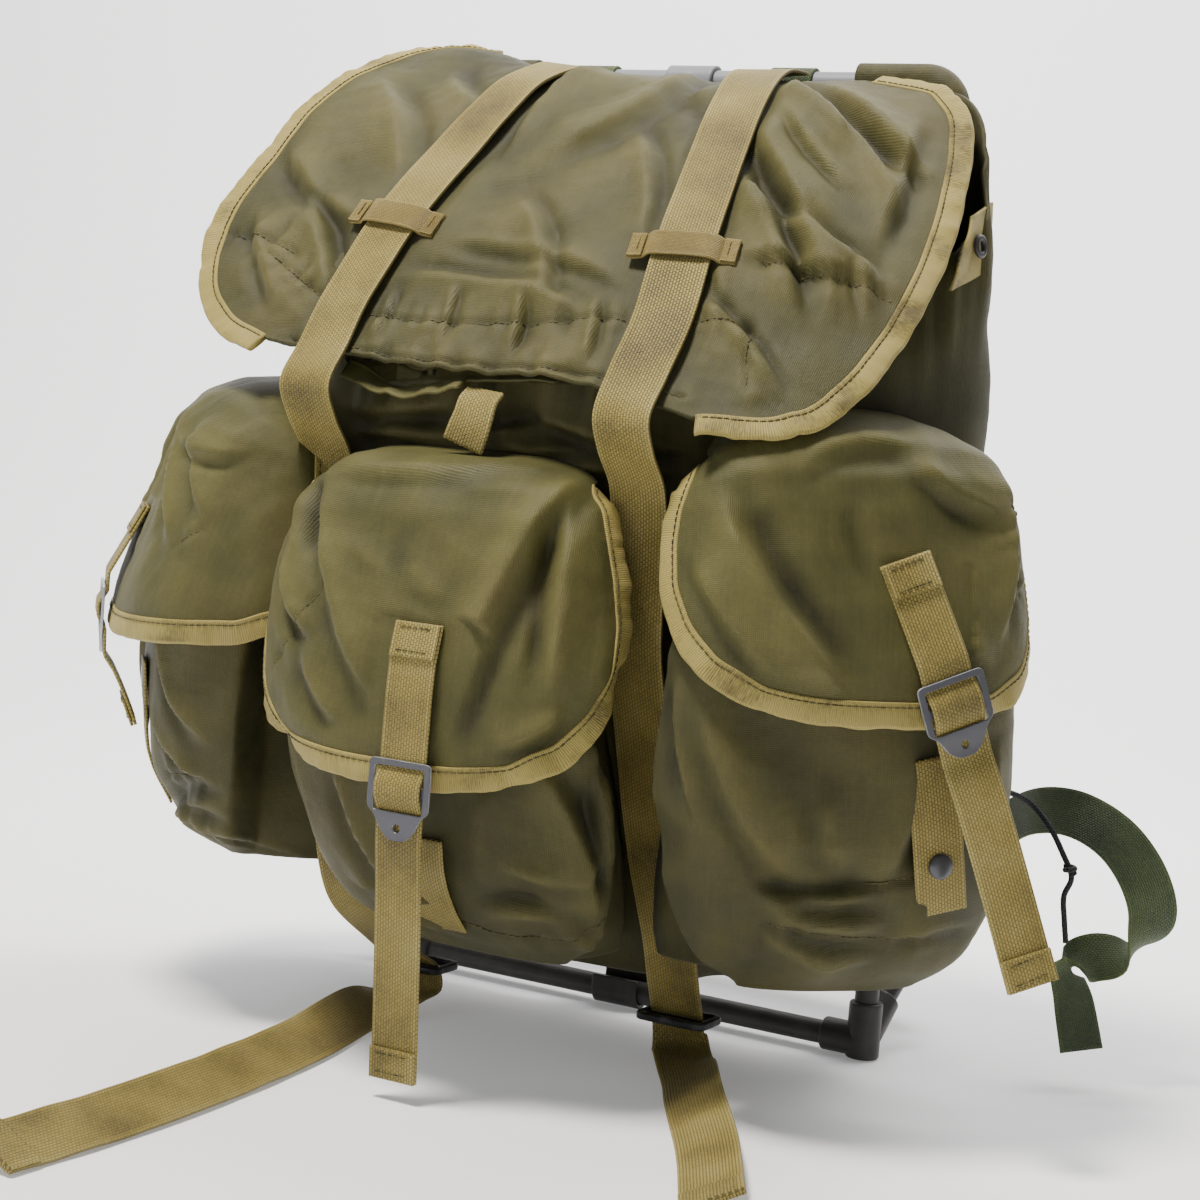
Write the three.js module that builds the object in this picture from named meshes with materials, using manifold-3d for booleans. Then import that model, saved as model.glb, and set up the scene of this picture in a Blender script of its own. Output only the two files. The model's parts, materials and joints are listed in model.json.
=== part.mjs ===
import * as THREE from 'three';
import { mergeVertices } from 'three/addons/utils/BufferGeometryUtils.js';
import Module from 'manifold-3d';

const wasm = await Module();
wasm.setup();

// Driving sizes, millimetres, X to the viewer's right, -Y front, +Z up
const FRAME_HALF = 154;
const FRAME_TOP = 517.4;
const TUBE_R = 6.35;
const CORNER_R = 45;
const BAR_Z = 9;
const CLAMP_R = 9;
const FIT = 0.3;
const STRIP_T = 2.2;
const STRIP_W = 28;
const CLOTH = 1.6;
const FLAP_T = 2.2;
const BAG_WALL = 2;
const BAG_BACK = -(TUBE_R + 2 * FIT + STRIP_T);
const BAG_BOTTOM = 42;
const BAG_HALF = 190;
const MAIN_WEB = 30;
const WEB = 25.4;
const WEB_T = 1.6;
const TAPE_W = 11;
const TAPE_T = 3;
const TUBE_Z = FRAME_TOP - TUBE_R;
const TUBE_X = FRAME_HALF - TUBE_R;

// Colours
const OLIVE = 0x6b6a48;
const OLIVE_LIGHT = 0x7d7a55;
const TAN = 0xa08a4e;
const WEBBING = 0x8a7c44;
const GREEN = 0x5f7048;
const GREY = 0x8c8e96;
const GUNMETAL = 0x5a5c66;
const BLACK = 0x1c1c1e;

const group = new THREE.Group();

function add(name, geometry, color, roughness, metalness) {
  const material = new THREE.MeshStandardMaterial({ color, roughness, metalness });
  const mesh = new THREE.Mesh(geometry, material);
  mesh.name = name;
  group.add(mesh);
  return mesh;
}

const cloth = (name, geometry, color = OLIVE) => add(name, geometry, color, 0.85, 0);
const metal = (name, geometry, color = GREY) => add(name, geometry, color, 0.5, 0.8);

const V = (x, y, z) => new THREE.Vector3(x, y, z);
const lerp = (a, b, t) => a + (b - a) * t;

// Value of a table column at a place along its first column, straight between rows
function table(rows, at, column) {
  if (at <= rows[0][0]) {
    return rows[0][column];
  }
  for (let i = 1; i < rows.length; i += 1) {
    if (at <= rows[i][0]) {
      const t = (at - rows[i - 1][0]) / (rows[i][0] - rows[i - 1][0]);
      return lerp(rows[i - 1][column], rows[i][column], t);
    }
  }
  return rows[rows.length - 1][column];
}

// Closed geometry from points and faces, faces turned outward by the signed volume
function solid(points, faces) {
  let volume = 0;
  for (const [a, b, c] of faces) {
    volume += points[a].dot(points[b].clone().cross(points[c]));
  }
  const data = new Float32Array(points.length * 3);
  points.forEach((p, i) => p.toArray(data, i * 3));
  const index = faces.flatMap(([a, b, c]) => (volume < 0 ? [a, c, b] : [a, b, c]));
  const geometry = new THREE.BufferGeometry();
  geometry.setAttribute('position', new THREE.BufferAttribute(data, 3));
  geometry.setIndex(index);
  geometry.computeVertexNormals();
  return geometry;
}

// Loft through rings of the same count, both ends closed by a fan
function loft(rings) {
  const count = rings[0].length;
  const points = rings.flat().map((p) => p.clone());
  const faces = [];
  for (let r = 0; r < rings.length - 1; r += 1) {
    for (let i = 0; i < count; i += 1) {
      const a = r * count + i;
      const b = r * count + ((i + 1) % count);
      faces.push([a, b, b + count], [a, b + count, a + count]);
    }
  }
  const cap = (ring, base, flip) => {
    if (count === 4) {
      faces.push(flip ? [base, base + 2, base + 1] : [base, base + 1, base + 2]);
      faces.push(flip ? [base, base + 3, base + 2] : [base, base + 2, base + 3]);
      return;
    }
    const middle = V(0, 0, 0);
    ring.forEach((p) => middle.addScaledVector(p, 1 / count));
    const m = points.push(middle) - 1;
    for (let i = 0; i < count; i += 1) {
      const a = base + i;
      const b = base + ((i + 1) % count);
      faces.push(flip ? [m, b, a] : [m, a, b]);
    }
  };
  cap(rings[0], 0, true);
  cap(rings[rings.length - 1], (rings.length - 1) * count, false);
  return solid(points, faces);
}

// Normals of a grid of points by its neighbours
function gridNormals(grid) {
  const last = grid.length - 1;
  return grid.map((row, i) => row.map((_, j) => {
    const end = row.length - 1;
    const along = grid[Math.min(i + 1, last)][j].clone().sub(grid[Math.max(i - 1, 0)][j]);
    const across = row[Math.min(j + 1, end)].clone().sub(row[Math.max(j - 1, 0)]);
    return along.cross(across).normalize();
  }));
}

// Sheet of even thickness about a grid of middle points
function sheet(grid, thickness) {
  const normals = gridNormals(grid);
  const rows = grid.length;
  const cols = grid[0].length;
  const points = [];
  for (const side of [0.5, -0.5]) {
    grid.forEach((row, i) => row.forEach((p, j) => {
      points.push(p.clone().addScaledVector(normals[i][j], side * thickness));
    }));
  }
  const faces = [];
  const far = rows * cols;
  for (let i = 0; i < rows - 1; i += 1) {
    for (let j = 0; j < cols - 1; j += 1) {
      const a = i * cols + j;
      const b = a + 1;
      const c = a + cols + 1;
      const d = a + cols;
      faces.push([a, b, c], [a, c, d], [far + a, far + c, far + b], [far + a, far + d, far + c]);
    }
  }
  const rim = [];
  for (let j = 0; j < cols - 1; j += 1) {
    rim.push(j);
  }
  for (let i = 0; i < rows - 1; i += 1) {
    rim.push(i * cols + cols - 1);
  }
  for (let j = cols - 1; j > 0; j -= 1) {
    rim.push((rows - 1) * cols + j);
  }
  for (let i = rows - 1; i > 0; i -= 1) {
    rim.push(i * cols);
  }
  rim.forEach((a, k) => {
    const b = rim[(k + 1) % rim.length];
    faces.push([a, far + a, far + b], [a, far + b, b]);
  });
  return solid(points, faces);
}

// Tape that carries a sheet's edge on: four-sided band along border points
function edgeBand(border, normals, width, thickness) {
  const rings = border.map((p, i) => {
    const before = border[Math.max(i - 1, 0)];
    const after = border[Math.min(i + 1, border.length - 1)];
    const tangent = after.clone().sub(before).normalize();
    const up = normals[i].clone().addScaledVector(tangent, -normals[i].dot(tangent)).normalize();
    const out = tangent.clone().cross(up);
    const at = (o, u) => p.clone().addScaledVector(out, o).addScaledVector(up, u);
    const h = thickness / 2;
    return [at(FIT, h), at(width, h * 0.6), at(width, -h * 0.6), at(FIT, -h)];
  });
  return loft(rings);
}

// Smooth curve through hand-chosen stops, read at equal steps
function smooth(stops, steps) {
  return new THREE.CatmullRomCurve3(stops, false, 'centripetal').getSpacedPoints(steps);
}

// Flat webbing along points, each with its own width direction
function ribbon(points, sides, width, thickness) {
  const rings = points.map((p, i) => {
    const before = points[Math.max(i - 1, 0)];
    const after = points[Math.min(i + 1, points.length - 1)];
    const tangent = after.clone().sub(before).normalize();
    const side = sides[i].clone().addScaledVector(tangent, -sides[i].dot(tangent)).normalize();
    const up = tangent.clone().cross(side);
    const at = (s, u) => p.clone().addScaledVector(side, s).addScaledVector(up, u);
    const w = width / 2;
    const h = thickness / 2;
    return [at(-w, -h), at(w, -h), at(w, h), at(-w, h)];
  });
  return loft(rings);
}

// Webbing through stops of [x, y, z, side x, side y, side z]
function webbing(stops, steps, width, thickness) {
  const points = smooth(stops.map((s) => V(s[0], s[1], s[2])), steps);
  const turns = smooth(stops.map((s, i) => V(s[3] + i * 1e-4, s[4], s[5])), steps);
  return ribbon(points, turns, width, thickness);
}

// Webbing that bends at its stops, without smoothing
function bentWebbing(stops, width, thickness) {
  return ribbon(stops.map((s) => V(s[0], s[1], s[2])), stops.map((s) => V(s[3], s[4], s[5])), width, thickness);
}

// Round tube along a path
function tube(path, radius, sides, steps) {
  const outline = [];
  for (let i = 0; i < sides; i += 1) {
    const a = (i / sides) * Math.PI * 2;
    outline.push(new THREE.Vector2(radius * Math.cos(a), radius * Math.sin(a)));
  }
  const shape = new THREE.Shape(outline);
  return new THREE.ExtrudeGeometry(shape, { steps, bevelEnabled: false, extrudePath: path });
}

// Booleans
function toManifold(geometry) {
  const g = geometry.clone();
  g.deleteAttribute('normal');
  if (g.getAttribute('uv')) {
    g.deleteAttribute('uv');
  }
  const merged = mergeVertices(g, 1e-4);
  const mesh = new wasm.Mesh({
    numProp: 3,
    vertProperties: new Float32Array(merged.getAttribute('position').array),
    triVerts: new Uint32Array(merged.index.array),
  });
  return new wasm.Manifold(mesh);
}

function fromManifold(manifold) {
  const mesh = manifold.getMesh();
  const geometry = new THREE.BufferGeometry();
  const data = [];
  for (let i = 0; i < mesh.numVert; i += 1) {
    for (let k = 0; k < 3; k += 1) {
      data.push(mesh.vertProperties[i * mesh.numProp + k]);
    }
  }
  geometry.setAttribute('position', new THREE.Float32BufferAttribute(data, 3));
  geometry.setIndex([...mesh.triVerts]);
  geometry.computeVertexNormals();
  return geometry;
}

// Cylinder between two points
function rod(from, to, radius, sides) {
  const length = from.distanceTo(to);
  const g = new THREE.CylinderGeometry(radius, radius, length, sides);
  const turn = new THREE.Quaternion().setFromUnitVectors(V(0, 1, 0), to.clone().sub(from).normalize());
  g.applyQuaternion(turn);
  const mid = from.clone().add(to).multiplyScalar(0.5);
  g.translate(mid.x, mid.y, mid.z);
  return g;
}

// Frame tubes
const clampTop = 30;
// The loop is lofted through rings at its bends only
function loopRings() {
  const stops = [[-TUBE_X, BAR_Z + 6, 0], [-TUBE_X, TUBE_Z - CORNER_R, 0]];
  for (let i = 1; i <= 6; i += 1) {
    const a = (i / 6) * Math.PI / 2;
    stops.push([-TUBE_X + CORNER_R - CORNER_R * Math.cos(a), TUBE_Z - CORNER_R + CORNER_R * Math.sin(a), a]);
  }
  for (let i = 0; i <= 6; i += 1) {
    const a = (i / 6) * Math.PI / 2;
    stops.push([TUBE_X - CORNER_R + CORNER_R * Math.sin(a),
      TUBE_Z - CORNER_R + CORNER_R * Math.cos(a), Math.PI / 2 + a]);
  }
  stops.push([TUBE_X, BAR_Z + 6, Math.PI]);
  return stops.map(([x, z, turn]) => {
    const ring = [];
    for (let i = 0; i < 10; i += 1) {
      const a = (i / 10) * Math.PI * 2;
      const out = TUBE_R * Math.cos(a);
      ring.push(V(x - out * Math.cos(turn), TUBE_R * Math.sin(a), z + out * Math.sin(turn)));
    }
    return ring;
  });
}
metal('frame_loop', loft(loopRings()));

const barEnd = TUBE_X - TUBE_R - FIT;
metal('frame_bottom_bar', rod(V(-barEnd, 0, BAR_Z), V(barEnd, 0, BAR_Z), TUBE_R, 12), BLACK);

const bowStops = [[TUBE_X, 12, 20], [150, 30, 36], [151, 55, 52], [142, 78, 62], [112, 96, 68],
  [60, 103, 70], [0, 105, 70]];
const bowPoints = bowStops.map(([x, y, z]) => V(x, y, z));
const bowMirror = bowStops.slice(0, -1).reverse().map(([x, y, z]) => V(-x, y, z));
const bowPath = new THREE.CatmullRomCurve3([...bowPoints, ...bowMirror], false, 'centripetal');
metal('frame_lumbar_bow', tube(bowPath, TUBE_R, 8, 20), BLACK);

// Corner clamps: upright lobe round the side tube, level lobe on the bar, lobe for the bow
function clamp(side) {
  const x = side * TUBE_X;
  const bow0 = V(side * bowStops[0][0], bowStops[0][1], bowStops[0][2]);
  const bow1 = V(side * bowStops[1][0], bowStops[1][1], bowStops[1][2]);
  const aim = bow1.clone().sub(bow0).normalize();
  let body = toManifold(rod(V(x, 0, 0), V(x, 0, clampTop), CLAMP_R, 10));
  body = body.add(toManifold(rod(V(x, 0, BAR_Z), V(side * (barEnd - 16), 0, BAR_Z), CLAMP_R, 10)));
  body = body.add(toManifold(rod(V(x, 2, 12), bow0.clone().addScaledVector(aim, 12), CLAMP_R, 10)));
  body = body.subtract(toManifold(rod(V(x, 0, BAR_Z + 6 - FIT), V(x, 0, 60), TUBE_R + FIT, 12)));
  body = body.subtract(toManifold(rod(V(side * (barEnd + FIT), 0, BAR_Z), V(0, 0, BAR_Z), TUBE_R + 2 * FIT, 12)));
  const start = bow0.clone().addScaledVector(aim, -0.6);
  body = body.subtract(toManifold(rod(start, bow0.clone().addScaledVector(aim, 40), TUBE_R + 3 * FIT, 12)));
  return fromManifold(body);
}
metal('frame_clamp_left', clamp(-1), BLACK);
metal('frame_clamp_right', clamp(1), BLACK);

// Flat strip that wraps two tubes: route in a plane given by two unit directions
function wrapRoute(low, high, radius, reach) {
  const route = [];
  const arc = (c, from, to) => {
    for (let i = 0; i <= 6; i += 1) {
      const a = lerp(from, to, i / 6);
      route.push([radius * Math.cos(a), c + radius * Math.sin(a)]);
    }
  };
  route.push([-radius, high - reach]);
  arc(high, Math.PI, 0);
  arc(low, 0, -Math.PI);
  route.push([-radius, low + reach]);
  return route;
}
const wrapR = TUBE_R + FIT + STRIP_T / 2;
const upright = wrapRoute(BAR_Z, TUBE_Z, wrapR, 8);
metal('frame_centre_strip', ribbon(upright.map(([y, z]) => V(0, y, z)), upright.map(() => V(1, 0, 0)),
  STRIP_W, STRIP_T));

// The level strip steps back over the upright one
const CROSS_Z = 300;
const level = wrapRoute(-TUBE_X, TUBE_X, wrapR, 12);
const stepY = wrapR + STRIP_T + FIT;
const cross = level.slice(0, 8).map(([y, x]) => V(x, y, CROSS_Z));
for (const [x, y] of [[24, wrapR], [17, stepY], [-17, stepY], [-24, wrapR]]) {
  cross.push(V(x, y, CROSS_Z));
}
cross.push(...level.slice(8).map(([y, x]) => V(x, y, CROSS_Z)));
metal('frame_cross_strip', ribbon(cross, cross.map(() => V(0, 0, 1)), STRIP_W, STRIP_T));

const rivetY = -(wrapR + STRIP_T / 2 + FIT);
metal('frame_rivet', rod(V(0, rivetY, TUBE_Z), V(0, rivetY - 1.8, TUBE_Z), 4.5, 12));

// Height of the flap over the ground plan, from its crest line and its two edges
const CREST = [
  [-212, 334],
  [-205, 345],
  [-190, 366],
  [-170, 394],
  [-150, 420],
  [-120, 452],
  [-90, 480],
  [-60, 502],
  [-35, 511],
  [-10, 513],
];
// Columns: y, half width, edge height
const EDGE_RIGHT = [
  [-212, 150, 318],
  [-185, 176, 326],
  [-150, 194, 352],
  [-110, 198, 396],
  [-80, 194, 430],
  [-45, 184, 470],
  [-24, 176, 500],
  [-10, 168, 516],
];
const EDGE_LEFT = [
  [-212, 150, 338],
  [-186, 180, 358],
  [-167, 202, 390],
  [-150, 200, 420],
  [-125, 194, 452],
  [-105, 188, 478],
  [-75, 178, 500],
  [-45, 170, 514],
  [-10, 165, 520],
];
const fromFront = (rows, y, column) => table(rows, y, column);
function flapHeight(x, y) {
  const crest = fromFront(CREST, y, 1);
  const rows = x > 0 ? EDGE_RIGHT : EDGE_LEFT;
  const share = Math.min(Math.abs(x) / fromFront(rows, y, 1), 1.2);
  const drop = (crest - fromFront(rows, y, 2)) * share ** 2.6;
  const middle = -9 * Math.exp(-((x / 70) ** 2)) * Math.exp(-(((y + 8) / 30) ** 2));
  const fold = 2.2 * Math.sin(x / 21 + y / 26) * Math.exp(-(((y + 90) / 60) ** 2));
  return crest - drop + middle + fold;
}
const flapPoint = (x, y) => V(x, y, flapHeight(x, y));
function flapNormal(x, y) {
  const dx = flapPoint(x + 2, y).sub(flapPoint(x - 2, y));
  const dy = flapPoint(x, y + 2).sub(flapPoint(x, y - 2));
  return dx.cross(dy).normalize();
}

// Envelope sleeves over the frame corners
function envelope(side) {
  const inner = 98;
  const outer = FRAME_HALF + 7;
  const top = FRAME_TOP + 6;
  const low = 440;
  const outline = (grow, x0, z0) => {
    const shape = new THREE.Shape();
    const r = 14 - grow;
    shape.moveTo(side * x0, z0);
    shape.lineTo(side * x0, top - grow);
    shape.lineTo(side * (outer - grow - r), top - grow);
    for (let i = 1; i <= 4; i += 1) {
      const a = (i / 4) * Math.PI / 2;
      shape.lineTo(side * (outer - grow - r + r * Math.sin(a)), top - grow - r + r * Math.cos(a));
    }
    shape.lineTo(side * (outer - grow), z0);
    return shape;
  };
  const extrude = (shape, half) => {
    const g = new THREE.ExtrudeGeometry(shape, { depth: half * 2, bevelEnabled: false });
    g.rotateX(Math.PI / 2);
    g.translate(0, half, 0);
    return toManifold(g);
  };
  const half = TUBE_R + FIT + CLOTH;
  const body = extrude(outline(0, inner, low), half);
  return fromManifold(body.subtract(extrude(outline(CLOTH, inner - 5, low - 5), half - CLOTH)));
}
cloth('envelope_left', envelope(-1));
cloth('envelope_right', envelope(1));

// Main bag. Columns: height, half width, front at the middle, side chamfer moved in
const BAG_ROWS = [
  [42, 150, -86, 34],
  [60, 166, -100, 22],
  [90, 178, -116, 12],
  [120, 184, -130, 6],
  [170, 189, -156, 2],
  [220, 190, -174, 0],
  [280, 191, -184, 0],
  [345, 190, -190, 0],
  [400, 186, -180, 0],
  [440, 182, -160, 0],
  [520, 172, -150, 0],
];
// Half plan at mid height from back middle to front middle. Columns: x share, y share of depth
const BAG_PLAN = [
  [0, 0], [0.3, 0], [0.62, 0], [0.87, 0.01], [0.99, 0.06], [1.045, 0.16], [1.045, 0.28], [0.98, 0.42],
  [0.86, 0.57], [0.74, 0.69], [0.63, 0.8], [0.55, 0.89], [0.47, 0.915], [0.38, 0.97], [0.2, 1],
  [0, 1],
];
function bagPoint(k, z) {
  const n = BAG_PLAN.length - 1;
  const mirrored = k > n;
  const [sx, sy] = BAG_PLAN[mirrored ? 2 * n - k : k];
  const half = table(BAG_ROWS, z, 1);
  const front = table(BAG_ROWS, z, 2);
  const inset = table(BAG_ROWS, z, 3) * Math.sin(Math.PI * Math.min(1, sy)) * (sy > 0.2 ? 1 : 0);
  const x = (sx * half - inset * 0.74 * (sx > 0.5 ? 1 : 0)) * (mirrored ? -1 : 1);
  const y = BAG_BACK + (front - BAG_BACK) * sy;
  return V(x, y + inset * 0.3 * (sy > 0.45 && sy < 0.9 ? 1 : 0), z);
}
const bagCount = 2 * (BAG_PLAN.length - 1);
const RIM_CLEAR = 10;
function bagRing(share) {
  const ring = [];
  for (let k = 0; k < bagCount; k += 1) {
    let p = bagPoint(k, 300);
    for (let pass = 0; pass < 3; pass += 1) {
      const steep = 9 * Math.min(1, Math.max(0, (-p.y - 60) / 80));
      const sides = 12 * Math.abs(p.x / BAG_HALF) ** 4;
      const near = Math.min(1, Math.max(0, (-p.y - 12) / 30));
      const rim = flapHeight(p.x, Math.min(p.y, -12)) - lerp(1.8, RIM_CLEAR, near) - steep - sides;
      p = bagPoint(k, lerp(BAG_BOTTOM, rim, share));
    }
    ring.push(p);
  }
  return ring;
}
function inward(ring, wall) {
  const n = ring.length;
  return ring.map((p, i) => {
    const a = ring[(i + n - 1) % n];
    const b = ring[(i + 1) % n];
    const t = V(b.x - a.x, b.y - a.y, 0).normalize();
    const q = V(p.x + t.y * wall, p.y - t.x * wall, p.z);
    const centre = V(0, -90, p.z);
    const r = V(p.x - t.y * wall, p.y + t.x * wall, p.z);
    return q.distanceTo(centre) < r.distanceTo(centre) ? q : r;
  });
}
const BAG_SHARES = [0, 0.05, 0.13, 0.26, 0.42, 0.6, 0.8, 1];
const bagOuter = BAG_SHARES.map(bagRing);
const bagFloor = inward(bagOuter[0], BAG_WALL).map((p) => V(p.x, p.y, p.z + BAG_WALL));
const bagInner = bagOuter.slice(1).map((ring) => inward(ring, BAG_WALL));
cloth('main_bag', loft([...bagOuter, ...bagInner.reverse(), bagFloor]));

// Top flap. Columns: middle y, left x, left y, right x, right y, all inside the edge tape
const FLAP_ROWS = [
  [-11.6, -130, -26, 150, -26],
  [-22, -154, -37, 166, -36],
  [-40, -164, -58, 174, -54],
  [-66, -172, -86, 181, -80],
  [-95, -180, -112, 184, -106],
  [-125, -188, -138, 183, -132],
  [-152, -190, -160, 178, -156],
  [-176, -178, -176, 168, -178],
  [-193, -156, -187, 150, -194],
  [-204, -128, -196, 120, -205],
];
const flapRowCount = 12;
const flapColumns = 16;
function flapGrid() {
  const grid = [];
  for (let i = 0; i < flapRowCount; i += 1) {
    const at = (i / (flapRowCount - 1)) * (FLAP_ROWS.length - 1);
    const k = Math.min(Math.floor(at), FLAP_ROWS.length - 2);
    const r = FLAP_ROWS[k].map((v, c) => lerp(v, FLAP_ROWS[k + 1][c], at - k));
    const row = [];
    for (let j = 0; j <= flapColumns; j += 1) {
      const s = (j / flapColumns) * 2 - 1;
      const x = s < 0 ? -s * r[1] : s * r[3];
      const y = lerp(r[0], s < 0 ? r[2] : r[4], s * s);
      row.push(flapPoint(x, y));
    }
    grid.push(row);
  }
  return grid;
}
const flapMid = flapGrid();
const flapUp = gridNormals(flapMid);
cloth('top_flap', sheet(flapMid, FLAP_T));

function flapBorder(side, backTo, frontTo) {
  const edge = side > 0 ? flapColumns : 0;
  const marks = [];
  for (let j = backTo; j !== edge; j += side) {
    marks.push([0, j]);
  }
  for (let i = 0; i < flapRowCount; i += 1) {
    marks.push([i, edge]);
  }
  for (let j = edge - side; j !== frontTo; j -= side) {
    marks.push([flapRowCount - 1, j]);
  }
  return marks;
}
function tape(name, grid, marks, up, flip) {
  const border = marks.map(([i, j]) => grid[i][j]);
  const normals = marks.map(([i, j]) => up[i][j].clone().multiplyScalar(flip));
  cloth(name, edgeBand(border, normals, TAPE_W, TAPE_T), TAN);
}
tape('flap_binding_left', flapMid, flapBorder(-1, 1, 1), flapUp, 1);
tape('flap_binding_right', flapMid, flapBorder(1, 14, 15), flapUp, -1);

// Long straps: over the flap, down between the pockets, through the lower buckle, out over the floor
const strapLift = FLAP_T / 2 + WEB_T / 2 + 2.3;
function overFlap(side, y) {
  const x = side * lerp(60, 88, Math.min(Math.max((-y - 40) / 140, 0), 1));
  const n = flapNormal(x, y);
  const p = flapPoint(x, y).addScaledVector(n.z < 0 ? n.negate() : n, strapLift);
  return p;
}
const RIGHT_ROUTE = [
  [89, -215, 330], [89, -208, 315], [89, -193, 298], [88, -186, 268], [87, -180, 222],
  [85, -158, 170], [82, -134, 118], [80, -106, 70], [79, -92, 40], [79, -85, 24],
];
const RIGHT_TAIL = [[80, -83, 12], [88, -94, 8], [104, -118, 7.2], [127, -157, 7], [167, -222, 7],
  [205, -292, 7]];
const LEFT_ROUTE = [
  [-89, -215, 334], [-89, -207, 317], [-89, -192, 299], [-89, -187, 268], [-90, -184, 222],
  [-89.5, -174, 170], [-89.5, -162, 118], [-88, -144, 66], [-82, -108, 36], [-79, -90, 24],
];
const LEFT_TAIL = [[-79, -86, 12], [-80, -100, 8.4], [-82, -128, 8], [-64, -214, 8], [-54, -307, 8],
  [-52, -380, 8], [-55, -448, 8]];
function mainStrap(side, route, tail, tilt) {
  const stops = [];
  for (const y of [-14, -40, -70, -110, -150, -180, -198]) {
    const p = overFlap(side, y);
    const a = overFlap(side, y - 3);
    const run = a.sub(p).normalize();
    const n = flapNormal(p.x, y);
    const s = run.clone().cross(n).normalize();
    stops.push([p.x, p.y, p.z, ...(s.x < 0 ? s.negate() : s).toArray()]);
  }
  for (const [x, y, z] of route) {
    stops.push([x, y, z, 1, 0, 0]);
  }
  tail.forEach(([x, y, z], i) => {
    const t = i < 2 ? 0 : tilt[3];
    stops.push([x, y, z, i < 2 ? 1 : tilt[0], i < 2 ? 0 : tilt[1], t]);
  });
  return webbing(stops, 50, MAIN_WEB, WEB_T);
}
cloth('main_strap_left', mainStrap(-1, LEFT_ROUTE, LEFT_TAIL, [0.9, 0.1, 0, -0.42]), WEBBING);
cloth('main_strap_right', mainStrap(1, RIGHT_ROUTE, RIGHT_TAIL, [0.72, 0.4, 0, 0.36]), WEBBING);

// Keepers: tape bridging over the long straps
function keeper(side) {
  const y = -152;
  const p = overFlap(side, y);
  const run = overFlap(side, y - 6).sub(p).normalize();
  const up = flapNormal(p.x, y);
  const out = up.z < 0 ? up.negate() : up;
  const across = run.clone().cross(out).normalize();
  const low = -0.9;
  const high = WEB_T + 1.7;
  const stops = [[-27, low], [-19, low], [-16.5, high], [-6, high + 0.3], [6, high + 0.3], [16.5, high], [19, low], [27, low]];
  const points = stops.map(([s, h]) => p.clone().addScaledVector(across, s).addScaledVector(out, h));
  return ribbon(points, points.map(() => run), 15, 1.2);
}
cloth('keeper_left', keeper(-1), WEBBING);
cloth('keeper_right', keeper(1), WEBBING);

// Lower sheet of the map pocket, under the flap front, open along the hem
function mapSheet() {
  const drops = [2.4, 2.6, 3, 4, 5.8];
  const first = flapRowCount - drops.length;
  const grid = drops.map((drop, r) => flapMid[first + r].slice(3, 12).map((p, c) => {
    const n = flapUp[first + r][c + 3];
    return p.clone().addScaledVector(n.z < 0 ? n : n.clone().negate(), drop);
  }));
  return sheet(grid, 1.2);
}
cloth('map_pocket_sheet', mapSheet(), OLIVE_LIGHT);
cloth('map_pocket_tab', webbing([[7, -201, 337, 1, 0, 0], [6, -206, 332, 1, 0, 0], [5, -208, 324, 1, 0, 0],
  [0, -207, 310, 1, 0.1, 0]], 5, 22, 1.4), WEBBING);

// Tan corner piece with an eyelet at the right
function sideTab() {
  const corner = [[187, -28, 480], [193, -38, 424], [191, -68, 448], [195, -92, 402]];
  const [a, b, c, d] = corner.map(([x, y, z]) => V(x, y, z));
  const grid = [0, 0.5, 1].map((v) => [0, 0.5, 1].map((u) => a.clone().lerp(b, v).lerp(c.clone().lerp(d, v), u)));
  return sheet(grid, 1.2);
}
cloth('side_tab', sideTab(), TAN);
metal('side_eyelet', fromManifold(toManifold(rod(V(194.6, -58, 426), V(196.2, -58, 426), 6, 12))
  .subtract(toManifold(rod(V(190, -58, 426), V(206, -58, 426), 2.6, 10)))), BLACK);

// Pockets. Body columns: share of height, half-width share, depth share, back moved in
const POCKET_ROWS = [
  [0, 0.74, 0.62],
  [0.06, 0.88, 0.84],
  [0.2, 0.98, 0.98],
  [0.45, 1.02, 1],
  [0.7, 1, 0.95],
  [0.88, 0.95, 0.84],
  [1, 0.9, 0.7],
];
const ARC = 1.5;
// Rounded front line of a pocket at an angle from its middle
function frontLine(w, d, angle) {
  const s = Math.sin(angle);
  const c = Math.max(Math.cos(angle), 0);
  return [w * Math.sign(s) * Math.abs(s) ** (1 / ARC), d * c ** (1 / ARC)];
}
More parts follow.
